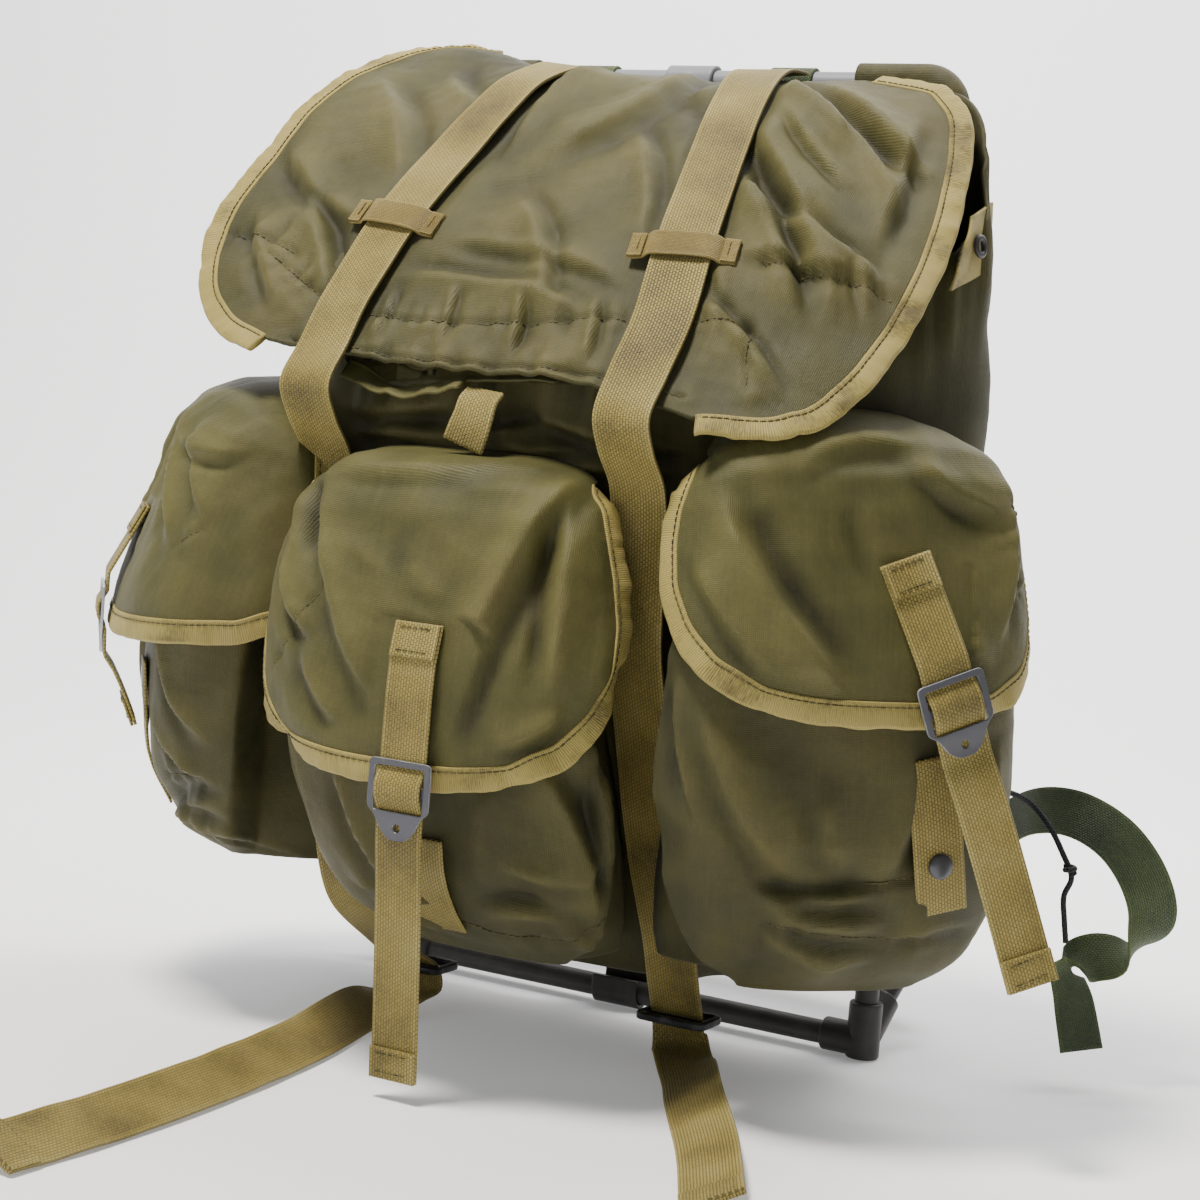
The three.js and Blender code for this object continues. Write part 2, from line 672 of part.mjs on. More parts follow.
// Flap columns: height share of drop, half-width share, depth share, angle share
const FLAP_DROP = [
  [0, 0.76, 0.06, 0.8],
  [0.03, 0.82, 0.4, 0.8],
  [0.1, 0.94, 0.74, 0.8],
  [0.22, 1, 0.96, 0.8],
  [0.36, 1.03, 1.03, 0.81],
  [0.52, 1.04, 1.04, 0.8],
  [0.68, 1.05, 1.04, 0.74],
  [0.82, 1.05, 1.04, 0.62],
  [0.93, 1.05, 1.035, 0.47],
  [1, 1.05, 1.03, 0.28],
];
const POCKETS = {
  centre: { x: -3, y: -186, turn: 0, half: 98, depth: 58, low: 62, mouth: 272, hinge: 308, drop: 142,
    crown: 10, recede: 28, swell: 1.57, sewn: 0.68, seat: 1.4, hem: 0.9, skew: 14, strapTop: 228, buckle: 150, tail: 10, web: [14, 14, 14], flare: 4, ease: 4,
    tailOut: 16, topOut: 2.9, anchor: [10, 10], anchorLow: 76, anchorOut: 2 },
  right: { x: 154, y: -122, turn: 47.9, half: 93, depth: 74, low: 65, mouth: 292, hinge: 342, drop: 126,
    crown: 26, recede: 14, swell: 1, sewn: 0.68, seat: 1.4, hem: 2.1, skew: 15, strapTop: 277, buckle: 212, tail: 88, web: [9, 34, 74], flare: 2, ease: 4,
    tailOut: 44, topOut: 3.7, anchor: [30, 48], anchorLow: 112, anchorOut: 1.2 },
  left: { x: -154, y: -125, turn: -47.9, half: 97, depth: 76, low: 84, mouth: 284, hinge: 336, drop: 124,
    crown: 24, recede: 12, swell: 0, sewn: 0.58, seat: 0.5, hem: 1.8, skew: 0, strapTop: 262, buckle: 206, tail: 146, web: [0, -2, -6], flare: 9, ease: 5.5,
    tailOut: 14, topOut: 2.9, anchor: [-4, -5], anchorLow: 104, anchorOut: 2 },
};
function place(pocket, a, d, z) {
  const t = THREE.MathUtils.degToRad(pocket.turn);
  return V(pocket.x + a * Math.cos(t) + d * Math.sin(t), pocket.y + a * Math.sin(t) - d * Math.cos(t), z);
}
// The pocket's back lies on the bag: how far out the bag stands there
function leanAt(pocket, z) {
  const t = THREE.MathUtils.degToRad(pocket.turn);
  let most = -200;
  for (let k = 0; k < bagCount; k += 1) {
    const p = bagPoint(k, z);
    const along = (p.x - pocket.x) * Math.cos(t) + (p.y - pocket.y) * Math.sin(t);
    const out = (p.x - pocket.x) * Math.sin(t) - (p.y - pocket.y) * Math.cos(t);
    if (Math.abs(along) < pocket.half * pocket.sewn + 8) {
      most = Math.max(most, out);
    }
  }
  return most + pocket.seat;
}
// How far the body swings sideways toward its bottom
const skewAt = (pocket, z) => pocket.skew * Math.max(0, (200 - z) / (200 - pocket.low)) ** 1.3;
// The front draws back below mid height
const recedeAt = (pocket, z) => pocket.recede * Math.max(0, (220 - z) / (220 - pocket.low)) ** 1.4;
const pocketDepth = (pocket, z) => pocket.depth - recedeAt(pocket, z) - leanAt(pocket, z);
function bodyAt(pocket, z) {
  const share = (z - pocket.low) / (pocket.mouth - pocket.low);
  const w = pocket.half * table(POCKET_ROWS, share, 1);
  return [w, pocketDepth(pocket, z) * table(POCKET_ROWS, share, 2)];
}
// The sewn back line is narrower than the body, which swells out past the long straps
function squeezeAt(pocket, f, z) {
  const out = f + leanAt(pocket, z) + pocket.swell * recedeAt(pocket, z);
  const t = Math.min(Math.max((out - 12) / 22, 0), 1);
  return lerp(pocket.sewn, 1, t * t * (3 - 2 * t));
}
const pocketSteps = 14;
function pocketRing(pocket, z, wall) {
  const [w, d] = bodyAt(pocket, z);
  const back = leanAt(pocket, z);
  const skew = skewAt(pocket, z);
  const ring = [];
  for (let i = 0; i <= pocketSteps; i += 1) {
    const angle = lerp(-Math.PI / 2, Math.PI / 2, i / pocketSteps);
    const [a, f] = frontLine(w - wall, d - wall, angle);
    const squeeze = squeezeAt(pocket, f, z);
    ring.push(place(pocket, a * squeeze + skew * Math.min(1, f / 20), Math.max(f, wall) + back, z));
  }
  for (let i = 1; i < 5; i += 1) {
    const a = lerp(1, -1, i / 5) * (w - wall) * pocket.sewn;
    ring.push(place(pocket, a, wall + back, z));
  }
  return ring;
}
function pocketBody(pocket) {
  const span = pocket.mouth - pocket.low;
  const shares = [0, 0.07, 0.2, 0.45, 0.7, 1];
  const outer = shares.map((s) => pocketRing(pocket, pocket.low + s * span, 0));
  const inner = shares.slice(1).map((s) => pocketRing(pocket, pocket.low + s * span, CLOTH));
  const floor = pocketRing(pocket, pocket.low + CLOTH, CLOTH * 2.2);
  return loft([...outer, ...inner.reverse(), floor]);
}
const pocketColumns = 12;
function pocketFlapGrid(pocket) {
  const grid = [];
  for (const [share, w, d, angle] of FLAP_DROP) {
    const row = [];
    for (let j = 0; j <= pocketColumns; j += 1) {
      const s = (j / pocketColumns) * 2 - 1;
      const top = Math.max(0, 1 - share / 0.5);
      const z = pocket.hinge - share * pocket.drop - pocket.crown * Math.abs(s) ** 2.2 * top;
      const [bw, bd] = bodyAt(pocket, Math.min(z, pocket.mouth - 8));
      const [a, f] = frontLine(bw * w, bd * d + pocket.ease, s * angle * Math.PI / 2);
      const sag = share > 0.9 ? 5 * (1 - s * s) * (share - 0.9) * 10 : 0;
      const fold = share > 0.1 ? 1.2 * Math.sin(a / 15 + share * 4) * Math.min(1, (share - 0.1) * 3) : 0;
      const flare = pocket.flare * Math.max(0, (share - 0.35) / 0.65) ** 1.5 * (1 - s * s);
      const out = share === 0 ? leanAt(pocket, z) - pocket.hem : f + leanAt(pocket, z) + 2.6 + Math.abs(fold) + flare;
      row.push(place(pocket, a, out, z - sag));
    }
    grid.push(row);
  }
  return grid;
}
function frontFace(pocket, a, z) {
  const [w, d] = bodyAt(pocket, z);
  const s = Math.min(Math.abs(a - skewAt(pocket, z)) / w, 0.98);
  return d * Math.cos(Math.asin(s ** ARC)) ** (1 / ARC) + leanAt(pocket, z);
}
function flapFace(pocket, a, z) {
  const share = (pocket.hinge - z) / pocket.drop;
  const [bw, bd] = bodyAt(pocket, Math.min(z, pocket.mouth - 8));
  const s = Math.min(Math.abs(a) / (bw * table(FLAP_DROP, share, 1)), 0.98);
  const front = (bd * table(FLAP_DROP, share, 2) + pocket.ease) * Math.cos(Math.asin(s ** ARC)) ** (1 / ARC);
  const flare = pocket.flare * Math.min(1, Math.max(0, (share - 0.35) / 0.65)) ** 1.5;
  const fold = 1.2 * Math.abs(Math.sin(a / 15 + share * 4)) * Math.min(1, Math.max(0, share - 0.1) * 3);
  return front + leanAt(pocket, z) + 2.6 + fold + flare;
}
// Webbing on a pocket in its own directions. Stops: along, out, height
function pocketWeb(pocket, stops, width, thickness, lie = 0) {
  const t = THREE.MathUtils.degToRad(pocket.turn);
  const side = [Math.cos(t), Math.sin(t), lie];
  const list = stops.map(([a, d, z]) => {
    const p = place(pocket, a, d, z);
    return [p.x, p.y, p.z, ...side];
  });
  return bentWebbing(list, width, thickness);
}
const BUCKLE_T = 1.6;
const barGap = BUCKLE_T / 2 + WEB_T / 2 + 0.5;
function buckle(pocket, a, d, z, roll) {
  const w = 17;
  const shape = new THREE.Shape();
  shape.moveTo(-w, 14);
  shape.lineTo(-w, -9);
  shape.lineTo(-13, -12);
  shape.lineTo(-9, -20);
  shape.lineTo(-4, -24);
  shape.lineTo(4, -24);
  shape.lineTo(9, -20);
  shape.lineTo(13, -12);
  shape.lineTo(w, -9);
  shape.lineTo(w, 14);
  const slot = (z0, z1, half) => {
    const hole = new THREE.Path();
    hole.moveTo(-half, z0);
    hole.lineTo(half, z0);
    hole.lineTo(half, z1);
    hole.lineTo(-half, z1);
    hole.closePath();
    return hole;
  };
  shape.holes.push(slot(2, 11, WEB / 2 + 1), slot(-10.5, -1.5, WEB / 2 + 1));
  const eye = new THREE.Path();
  for (let i = 0; i < 8; i += 1) {
    const q = (i / 8) * Math.PI * 2;
    if (i === 0) {
      eye.moveTo(2.2, -18);
    } else {
      eye.lineTo(2.2 * Math.cos(q), -18 + 2.2 * Math.sin(q));
    }
  }
  eye.closePath();
  shape.holes.push(eye);
  const g = new THREE.ExtrudeGeometry(shape, { depth: BUCKLE_T, bevelEnabled: false });
  g.translate(0, 0, -BUCKLE_T / 2);
  g.rotateZ(roll);
  g.rotateX(Math.PI / 2);
  g.rotateZ(THREE.MathUtils.degToRad(pocket.turn));
  const p = place(pocket, a, d, z);
  g.translate(p.x, p.y, p.z);
  return g;
}
for (const [name, pocket] of Object.entries(POCKETS)) {
  cloth(`pocket_body_${name}`, pocketBody(pocket));
  const grid = pocketFlapGrid(pocket);
  const up = gridNormals(grid);
  cloth(`pocket_flap_${name}`, sheet(grid, CLOTH), OLIVE_LIGHT);
  const marks = [];
  for (let i = 2; i < grid.length; i += 1) {
    marks.push([i, 0]);
  }
  for (let j = 1; j < pocketColumns; j += 1) {
    marks.push([grid.length - 1, j]);
  }
  for (let i = grid.length - 1; i > 1; i -= 1) {
    marks.push([i, pocketColumns]);
  }
  tape(`pocket_binding_${name}`, grid, marks, up, 1);
  const z = pocket.buckle;
  const [webTop, web, webEnd] = pocket.web;
  const face = (a, at) => frontFace(pocket, a, at);
  const lowest = pocket.hinge - pocket.drop;
  const d = Math.max(flapFace(pocket, web, lowest), flapFace(pocket, web, z + 20)) + 6.2;
  const topD = flapFace(pocket, webTop, pocket.strapTop) + pocket.topOut;
  const slope = (web - webTop) / (pocket.strapTop - z);
  const tailD = face(web, 120) + pocket.tailOut;
  const back = barGap;
  const stops = [];
  for (const t of [0, 0.3, 0.6]) {
    const at = lerp(pocket.strapTop, z + 20, t);
    const along = lerp(webTop, web - 20 * slope, t);
    stops.push([along, t === 0 ? topD : Math.max(flapFace(pocket, along, at) + 3.2, lerp(topD, d - back, t)), at]);
  }
  // Down behind the upper bar, over the middle bar, behind the plate
  const weave = [[20, -1], [13.5, -1], [10.6, -1], [3.4, 1], [-2.9, 1], [-10.2, -1], [-14, -1], [-24, -1.2]];
  weave.forEach(([up, way]) => stops.push([web - up * slope, d + way * back, z + up]));
  for (const t of [0.2, 0.4, 0.6, 0.8, 1]) {
    const at = lerp(z - 24, pocket.tail, t);
    stops.push([lerp(web + 24 * slope, webEnd, t), lerp(d - back * 1.2, tailD, t ** 0.8), at]);
  }
  cloth(`pocket_strap_${name}`, pocketWeb(pocket, stops, WEB, WEB_T, slope), WEBBING);
  metal(`pocket_buckle_${name}`, buckle(pocket, web, d, z, Math.atan(slope)), GUNMETAL);
  const [anchorTop, anchorEnd] = pocket.anchor;
  const anchor = [0, 0.35, 0.7, 1].map((t) => {
    const at = lerp(z - 26, pocket.anchorLow, t);
    const along = lerp(anchorTop, anchorEnd, t);
    const near = Math.max(face(along - 12, at), face(along, at), face(along + 12, at));
    return [along, near + pocket.anchorOut, at];
  });
  cloth(`pocket_anchor_${name}`, pocketWeb(pocket, anchor, WEB, 1.2), WEBBING);
}

// Lower buckles of the long straps
function lowerBuckle(x, y, z) {
  const shape = new THREE.Shape();
  shape.moveTo(-20, -13);
  shape.lineTo(20, -13);
  shape.lineTo(20, 13);
  shape.lineTo(-20, 13);
  const hole = new THREE.Path();
  hole.moveTo(-15.8, -9);
  hole.lineTo(15.8, -9);
  hole.lineTo(15.8, 9);
  hole.lineTo(-15.8, 9);
  hole.closePath();
  shape.holes.push(hole);
  const g = new THREE.ExtrudeGeometry(shape, { depth: 4, bevelEnabled: false });
  g.translate(0, 0, -2);
  g.translate(x, y, z);
  return g;
}
add('bottom_buckle_left', lowerBuckle(-79, -88, 24), BLACK, 0.5, 0);
add('bottom_buckle_right', lowerBuckle(79.6, -85, 24), BLACK, 0.5, 0);

// Small metal parts of the side pockets
function onPocket(pocket, a, d, z, radius, thickness, hole) {
  const from = place(pocket, a, d, z);
  const to = place(pocket, a, d + thickness, z);
  const body = toManifold(rod(from, to, radius, 12));
  if (!hole) {
    return fromManifold(body);
  }
  return fromManifold(body.subtract(toManifold(rod(place(pocket, a, d - 3, z), place(pocket, a, d + 5, z), hole, 10))));
}
metal('pocket_snap', onPocket(POCKETS.right, 42, frontFace(POCKETS.right, 30, 135) + 3, 135, 6, 1.6, 0), GUNMETAL);
metal('pocket_eyelet_upper', onPocket(POCKETS.left, -30, frontFace(POCKETS.left, -30, 168) + 1, 168, 7, 1.5, 3.5), GUNMETAL);
metal('pocket_eyelet_lower', onPocket(POCKETS.left, -30, frontFace(POCKETS.left, -30, 144) + 1, 144, 7, 1.5, 3.5), GUNMETAL);

// Harness: pads, webbing loops on the top bar, lower webbing
function shoulder(side, name) {
  const padStops = [
    [62, 16, 480, 1, 0, 0], [66, 34, 440, 1, 0, 0], [74, 56, 390, 1, 0, 0], [84, 68, 330, 1, 0, 0],
    [96, 64, 270, 1, -0.1, 0], [108, 50, 215, 1, -0.2, 0],
  ].map(([x, y, z, a, b, c]) => [side * x, y, z, a, side * b, c]);
  cloth(`shoulder_pad_${name}`, webbing(padStops, 12, 56, 11), OLIVE);
  const r = TUBE_R + FIT + WEB_T / 2;
  const loop = [];
  for (let i = 0; i <= 8; i += 1) {
    const a = lerp(Math.PI * 1.25, 0, i / 8);
    loop.push(V(side * 60, r * Math.cos(a), TUBE_Z + r * Math.sin(a)));
  }
  loop.push(V(side * 60.4, r + 0.6, TUBE_Z - 10));
  loop.push(V(side * 61.4, r + 0.8, TUBE_Z - 26));
  loop.push(V(side * 61.6, r + 2, TUBE_Z - 33));
  loop.push(V(side * 62.4, r + 7.5, TUBE_Z - 46));
  cloth(`shoulder_loop_${name}`, ribbon(loop, loop.map(() => V(1, 0, 0)), WEB, WEB_T), GREEN);
  const low = [
    [108.6, 49.4, 212.4, 1, -0.2, 0], [120, 38, 165, 1, -0.2, 0], [136, 20, 108, 1, -0.1, 0],
    [145, 8.6, 74, 1, 0, 0], [146, 7.7, 50, 1, 0, 0],
  ].map(([x, y, z, a, b, c]) => [side * x, y, z, a, side * b, c]);
  cloth(`shoulder_lower_${name}`, webbing(low, 8, WEB, WEB_T), GREEN);
}
shoulder(-1, 'left');
shoulder(1, 'right');

// Kidney pad behind the bow, waist webbing
function kidneyPad() {
  const off = TUBE_R + FIT + 4;
  const points = [];
  for (let i = 0; i <= 20; i += 1) {
    const t = lerp(0.15, 0.85, i / 20);
    const p = bowPath.getPointAt(t);
    const run = bowPath.getTangentAt(t);
    const out = V(run.y, -run.x, 0).normalize();
    const away = out.x * p.x + out.y * (p.y - 30) < 0 ? -1 : 1;
    points.push(V(p.x, p.y, 70).addScaledVector(out, away * off));
  }
  return ribbon(points, points.map(() => V(0, 0, 1)), 84, 8);
}
cloth('kidney_pad', kidneyPad(), OLIVE);
cloth('waist_strap_right', webbing([
  [165.9, 78, 92, 0, 0, 1], [190, 66, 122, 0, 0.1, 1], [216, 48, 138, 0, 0.4, 1], [241, 40, 140, 0.1, 0.6, 1],
  [263, 40, 130, 0.5, 0.6, 0.8], [279, 42, 110, 0.8, 0.5, 0.4], [283, 46, 90, 0.8, 0.6, 0.2],
  [272, 48, 70, 0.2, 0.9, 0.6], [254, 44, 66, 0, 0.5, 1], [244, 36, 60, 0.2, 0.9, 0.2],
  [250, 32, 44, 0.5, 0.8, 0], [258, 28, 20, 0.6, 0.8, 0.1]], 30, 26, 1.5), GREEN);
cloth('waist_strap_left', webbing([
  [-162.2, 62, 96, 0, 1, 0], [-162.6, 61, 70, 0, 1, 0], [-168, 64, 40, 0, 1, 0], [-173, 66, 4, 0, 1, 0]],
  10, 26, 1.5), GREEN);

// Release cord. Stops: x, y, z
const CORD_R = 1.5;
const cordStops = [
  [196.9, -40, 160], [212, -20, 157], [226, 2, 149], [238, 2, 138], [246, 2, 126], [252, 2, 114], [249, 2, 104], [250, 3, 92],
  [252, 3, 80],
];
const cordPath = new THREE.CatmullRomCurve3(cordStops.map(([x, y, z]) => V(x, y, z)), false, 'centripetal');
cloth('release_cord', tube(cordPath, CORD_R, 8, 16), BLACK);

// Origin: middle of the base, measured without the free cord
const box = new THREE.Box3();
for (const mesh of group.children) {
  if (mesh.name !== 'release_cord') {
    mesh.geometry.computeBoundingBox();
    box.union(mesh.geometry.boundingBox);
  }
}
const shift = V(-(box.min.x + box.max.x) / 2, -(box.min.y + box.max.y) / 2, -box.min.z);
for (const mesh of group.children) {
  mesh.geometry.translate(shift.x, shift.y, shift.z);
}

export default group;
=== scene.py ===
"""Dress of an external frame backpack: worn olive nylon, tan tape and webbing, enamelled buckles, painted tube.

Every length is in millimetres on the pack's own axes until Site.put turns it into metres in the row frame.
"""

import json
import logging
import math
from dataclasses import dataclass, field
from enum import Enum
from typing import Sequence

import bmesh
import bpy
import numpy as np
from mathutils import Matrix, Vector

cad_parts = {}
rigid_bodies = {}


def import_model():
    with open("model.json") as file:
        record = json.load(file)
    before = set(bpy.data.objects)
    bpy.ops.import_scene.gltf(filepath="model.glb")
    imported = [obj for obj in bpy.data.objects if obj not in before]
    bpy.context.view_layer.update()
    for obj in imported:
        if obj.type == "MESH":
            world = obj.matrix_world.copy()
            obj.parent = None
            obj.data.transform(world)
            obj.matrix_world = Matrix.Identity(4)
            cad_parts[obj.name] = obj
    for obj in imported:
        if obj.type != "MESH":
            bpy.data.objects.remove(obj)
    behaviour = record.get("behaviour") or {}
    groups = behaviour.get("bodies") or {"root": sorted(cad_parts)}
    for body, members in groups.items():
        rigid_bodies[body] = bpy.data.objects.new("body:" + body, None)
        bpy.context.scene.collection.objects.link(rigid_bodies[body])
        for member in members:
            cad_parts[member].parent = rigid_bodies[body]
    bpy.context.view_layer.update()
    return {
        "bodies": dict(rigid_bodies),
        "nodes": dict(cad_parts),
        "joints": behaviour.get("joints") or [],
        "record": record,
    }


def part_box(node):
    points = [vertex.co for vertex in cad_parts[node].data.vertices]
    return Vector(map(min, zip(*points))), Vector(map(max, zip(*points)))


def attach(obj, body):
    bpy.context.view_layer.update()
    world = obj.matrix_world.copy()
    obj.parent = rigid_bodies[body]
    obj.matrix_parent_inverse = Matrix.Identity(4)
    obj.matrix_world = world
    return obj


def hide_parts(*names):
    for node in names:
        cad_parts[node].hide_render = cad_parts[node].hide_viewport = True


LOG = logging.getLogger("backpack")
Array = np.ndarray
TUBE_R = 6.35
FIT = 0.3
WEB = 25.4
MAIN_WEB = 30.0
BACK_Y = -(TUBE_R + 2 * FIT + 2.2)


class Side(Enum):
    """Left or right of the pack as its front is seen, with the sign of its X."""

    LEFT = -1
    RIGHT = 1


class Seat(Enum):
    """Which of the three outside pockets a piece belongs to."""

    CENTRE = "centre"
    RIGHT = "right"
    LEFT = "left"


# ---- numbers to shapes


def unit(v: Array) -> Array:
    """Vectors scaled to length one along the last axis."""
    return v / np.maximum(np.linalg.norm(v, axis=-1, keepdims=True), 1e-9)


def table(rows: Array, at: Array, column: int) -> Array:
    """A column of a table read at a place along its first column, straight between rows."""
    rows = np.asarray(rows, float)
    return np.interp(at, rows[:, 0], rows[:, column])


def soft_table(rows: Array, at: Array, column: int, spread: float = 7.0) -> Array:
    """A column read as a moving mean over 2 x spread of its first column, so that its corners are rounded.

    Args:
        rows: table whose first column rises.
        at: places to read.
        column: which column.
        spread: half width of the mean, in the first column's units.

    Returns:
        The mean of nine straight readings spread evenly round each place.
    """
    return sum(table(rows, at + spread * k / 4, column) for k in range(-4, 5)) / 9


def arc_of(points: Array) -> Array:
    """Running length along a line of points, starting at nought."""
    return np.concatenate([[0.0], np.cumsum(np.linalg.norm(np.diff(points, axis=0), axis=1))])


def lengths_along(points: Array, axis: int) -> Array:
    """Length walked along an axis of a grid of points, from nought at its first place."""
    steps = np.linalg.norm(np.diff(points, axis=axis), axis=2)
    return np.cumsum(np.insert(steps, 0, 0.0, axis=axis), axis)


def resample(points: Array, count: int) -> Array:
    """A line of points read again at even steps of its length.

    Args:
        points: the line, count x 3 or more columns; the first three are its place.
        count: how many points to return.

    Returns:
        The points, with every column interpolated along the length.
    """
    s = arc_of(points[:, :3])
    at = np.linspace(0, s[-1], count)
    return np.stack([np.interp(at, s, points[:, k]) for k in range(points.shape[1])], 1)


def smooth_line(stops: Sequence[Sequence[float]], count: int) -> Array:
    """Centripetal Catmull-Rom curve through stops, read at even steps.

    Each span is the pyramid of linear blends of four neighbouring stops whose knots are the square roots of
    the chords; beyond the ends the line is continued straight.

    Args:
        stops: three or more numbers a stop, the first three its place.
        count: how many points to return.

    Returns:
        count points with the stops' columns.
    """
    p = np.asarray(stops, float)
    p = np.vstack([2 * p[0] - p[1], p, 2 * p[-1] - p[-2]])
    step = np.sqrt(np.maximum(np.linalg.norm(np.diff(p[:, :3], axis=0), axis=1), 1e-6))
    t = np.concatenate([[0], np.cumsum(step)])
    pieces = []
    for i in range(1, len(p) - 2):
        at = np.linspace(t[i], t[i + 1], 24, endpoint=i == len(p) - 3)[:, None]

        def mix(a: Array, b: Array, ta: float, tb: float) -> Array:
            """Linear blend of two points over a span of knots."""
            return (tb - at) / (tb - ta) * a + (at - ta) / (tb - ta) * b

        a1, a2, a3 = (mix(p[i + k], p[i + k + 1], t[i + k], t[i + k + 1]) for k in (-1, 0, 1))
        b1, b2 = mix(a1, a2, t[i - 1], t[i + 1]), mix(a2, a3, t[i], t[i + 2])
        pieces.append(mix(b1, b2, t[i], t[i + 1]))
    return resample(np.vstack(pieces), count)


def normals_of(grid: Array) -> Array:
    """Unit normals of a rows x columns grid of points, from the cross of its two directions."""
    return unit(np.cross(np.gradient(grid, axis=0), np.gradient(grid, axis=1)))


def bump(x: Array) -> Array:
    """Bell curve e to the minus x squared."""
    return np.exp(-(x**2))


def ramp(x: Array, low: float, high: float) -> Array:
    """Smooth step from nought at low to one at high."""
    t = np.clip((x - low) / (high - low), 0, 1)
    return t * t * (3 - 2 * t)


def ripple(u: Array, v: Array, wave: float, seed: int, waves: int = 7) -> Array:
    """Uneven cloth relief: a sum of sines in turned directions, each bent by a slower one, scaled to about one.

    Args:
        u: millimetres across.
        v: millimetres along.
        wave: mean wavelength, millimetres.
        seed: which cloth.
        waves: how many sines.

    Returns:
        Relief of the grid's shape.
    """
    rng = np.random.default_rng(seed)
    total = np.zeros(np.broadcast(u, v).shape)
    for _ in range(waves):
        turn, phase, bend = rng.uniform(0, 2 * np.pi, 3)
        size = wave * rng.uniform(0.6, 1.7)
        c, s = math.cos(turn), math.sin(turn)
        slow = np.sin((s * u - c * v) / (size * 0.9) + bend)
        total = total + np.sin(2 * np.pi * (c * u + s * v) / size + 1.3 * slow + phase)
    return total / math.sqrt(waves)


@dataclass(frozen=True)
class Fold:
    """A fold from one place of a panel to another: a ridge if its rise is above nought, a valley if below."""

    start: tuple[float, float]
    end: tuple[float, float]
    width: float
    rise: float
    bend: float = 0.0

    def relief(self, u: Array, v: Array) -> Array:
        """Height at each place, fading at the ends.

        Across the line it is a crest with a soft tip, which falls slowly to one side and steeply into a valley
        on the other: e to the 1/4 - sqrt(1/16 + slope^2), less 0.62 of a bell one width away.
        """
        a, b = np.array(self.start), np.array(self.end)
        run = b - a
        length = float(np.hypot(*run))
        run = run / length
        t = ((u - a[0]) * run[0] + (v - a[1]) * run[1]) / length
        q = (v - a[1]) * run[0] - (u - a[0]) * run[1] + self.bend * 4 * t * (1 - t)
        x = q / self.width
        slope = np.where(x > 0, x * 1.1, x * 3.4)
        across = np.exp(0.25 - np.sqrt(0.0625 + slope**2)) - 0.62 * bump((x + 0.95) / 0.55)
        return self.rise * across * ramp(t, -0.14, 0.25) * (1 - ramp(t, 0.7, 1.12))


def crumple(u: Array, v: Array, wave: float, seed: int) -> Array:
    """Crisp creases: the folded value of a ripple, whose turns are sharp, less its mean, scaled to about one."""
    folded = np.sqrt(ripple(u, v, wave, seed, 5) ** 2 + 0.004) - 0.75
    return -folded * (0.6 + 0.4 * ripple(u, v, wave * 1.7, seed + 50, 4))


def relief_of(folds: Sequence[Fold], u: Array, v: Array) -> Array:
    """Sum of the folds' heights over a panel."""
    return sum((f.relief(u, v) for f in folds), np.zeros(np.broadcast(u, v).shape))


@dataclass
class Grid:
    """A surface as rows by columns of points in millimetres, with its flat pattern in millimetres and its wear and
    painted shade.
    """

    points: Array
    uv: Array
    wear: Array | None = None
    wrap: bool = False
    poles: bool = False

    def arrays(self, base: int) -> tuple[Array, list, Array, Array]:
        """Vertices, faces, a pattern place for each face corner and a wear and painted shade value for each vertex.

        Args:
            base: how many vertices come before this grid's.

        Returns:
            Points, faces as lists, corner places, wear and painted shade values. Poles close the first and last rows by
            fans.
        """
        rows, cols = self.points.shape[:2]
        index = base + np.arange(rows * cols).reshape(rows, cols)
        wrapped = np.concatenate([index, index[:, :1]], 1) if self.wrap else index
        place = self.uv
        corners = [(slice(None, -1), slice(None, -1)), (slice(None, -1), slice(1, None)),
                   (slice(1, None), slice(1, None)), (slice(1, None), slice(None, -1))]
        quads = np.stack([wrapped[c] for c in corners], -1).reshape(-1, 4)
        uv = np.stack([place[c] for c in corners], -2).reshape(-1, 2)
        points = self.points.reshape(-1, 3)
        wear = np.zeros(rows * cols) if self.wear is None else self.wear.reshape(-1)
        faces = quads.tolist()
        if self.poles:
            for row, turned in ((0, True), (rows - 1, False)):
                pole = base + len(points)
                points = np.vstack([points, self.points[row].mean(0)])
                wear = np.append(wear, 0.0)
                ring = wrapped[row]
                first, second = (ring[1:], ring[:-1]) if turned else (ring[:-1], ring[1:])
                faces += np.stack([first, second, np.full(len(first), pole)], 1).tolist()
                ends = (place[row, 1:], place[row, :-1]) if turned else (place[row, :-1], place[row, 1:])
                middle = np.broadcast_to(place[row].mean(0), ends[0].shape)
                uv = np.vstack([uv, np.stack([*ends, middle], 1).reshape(-1, 2)])
        return points, faces, uv, wear


def flat_pattern(points: Array, wrap: bool = False) -> Array:
    """Flat pattern of a grid: mean running length across and along, millimetres.

    Args:
        points: rows x columns x 3.
        wrap: whether the columns close into a ring, which gives one more column of places.

    Returns:
        rows x columns (one more if wrapped) x 2.
    """
    ring = np.concatenate([points, points[:, :1]], 1) if wrap else points
    across = lengths_along(ring, 1).mean(0)
    along = lengths_along(ring, 0).mean(1)
    return np.stack(np.broadcast_arrays(across[None, :], along[:, None]), -1)


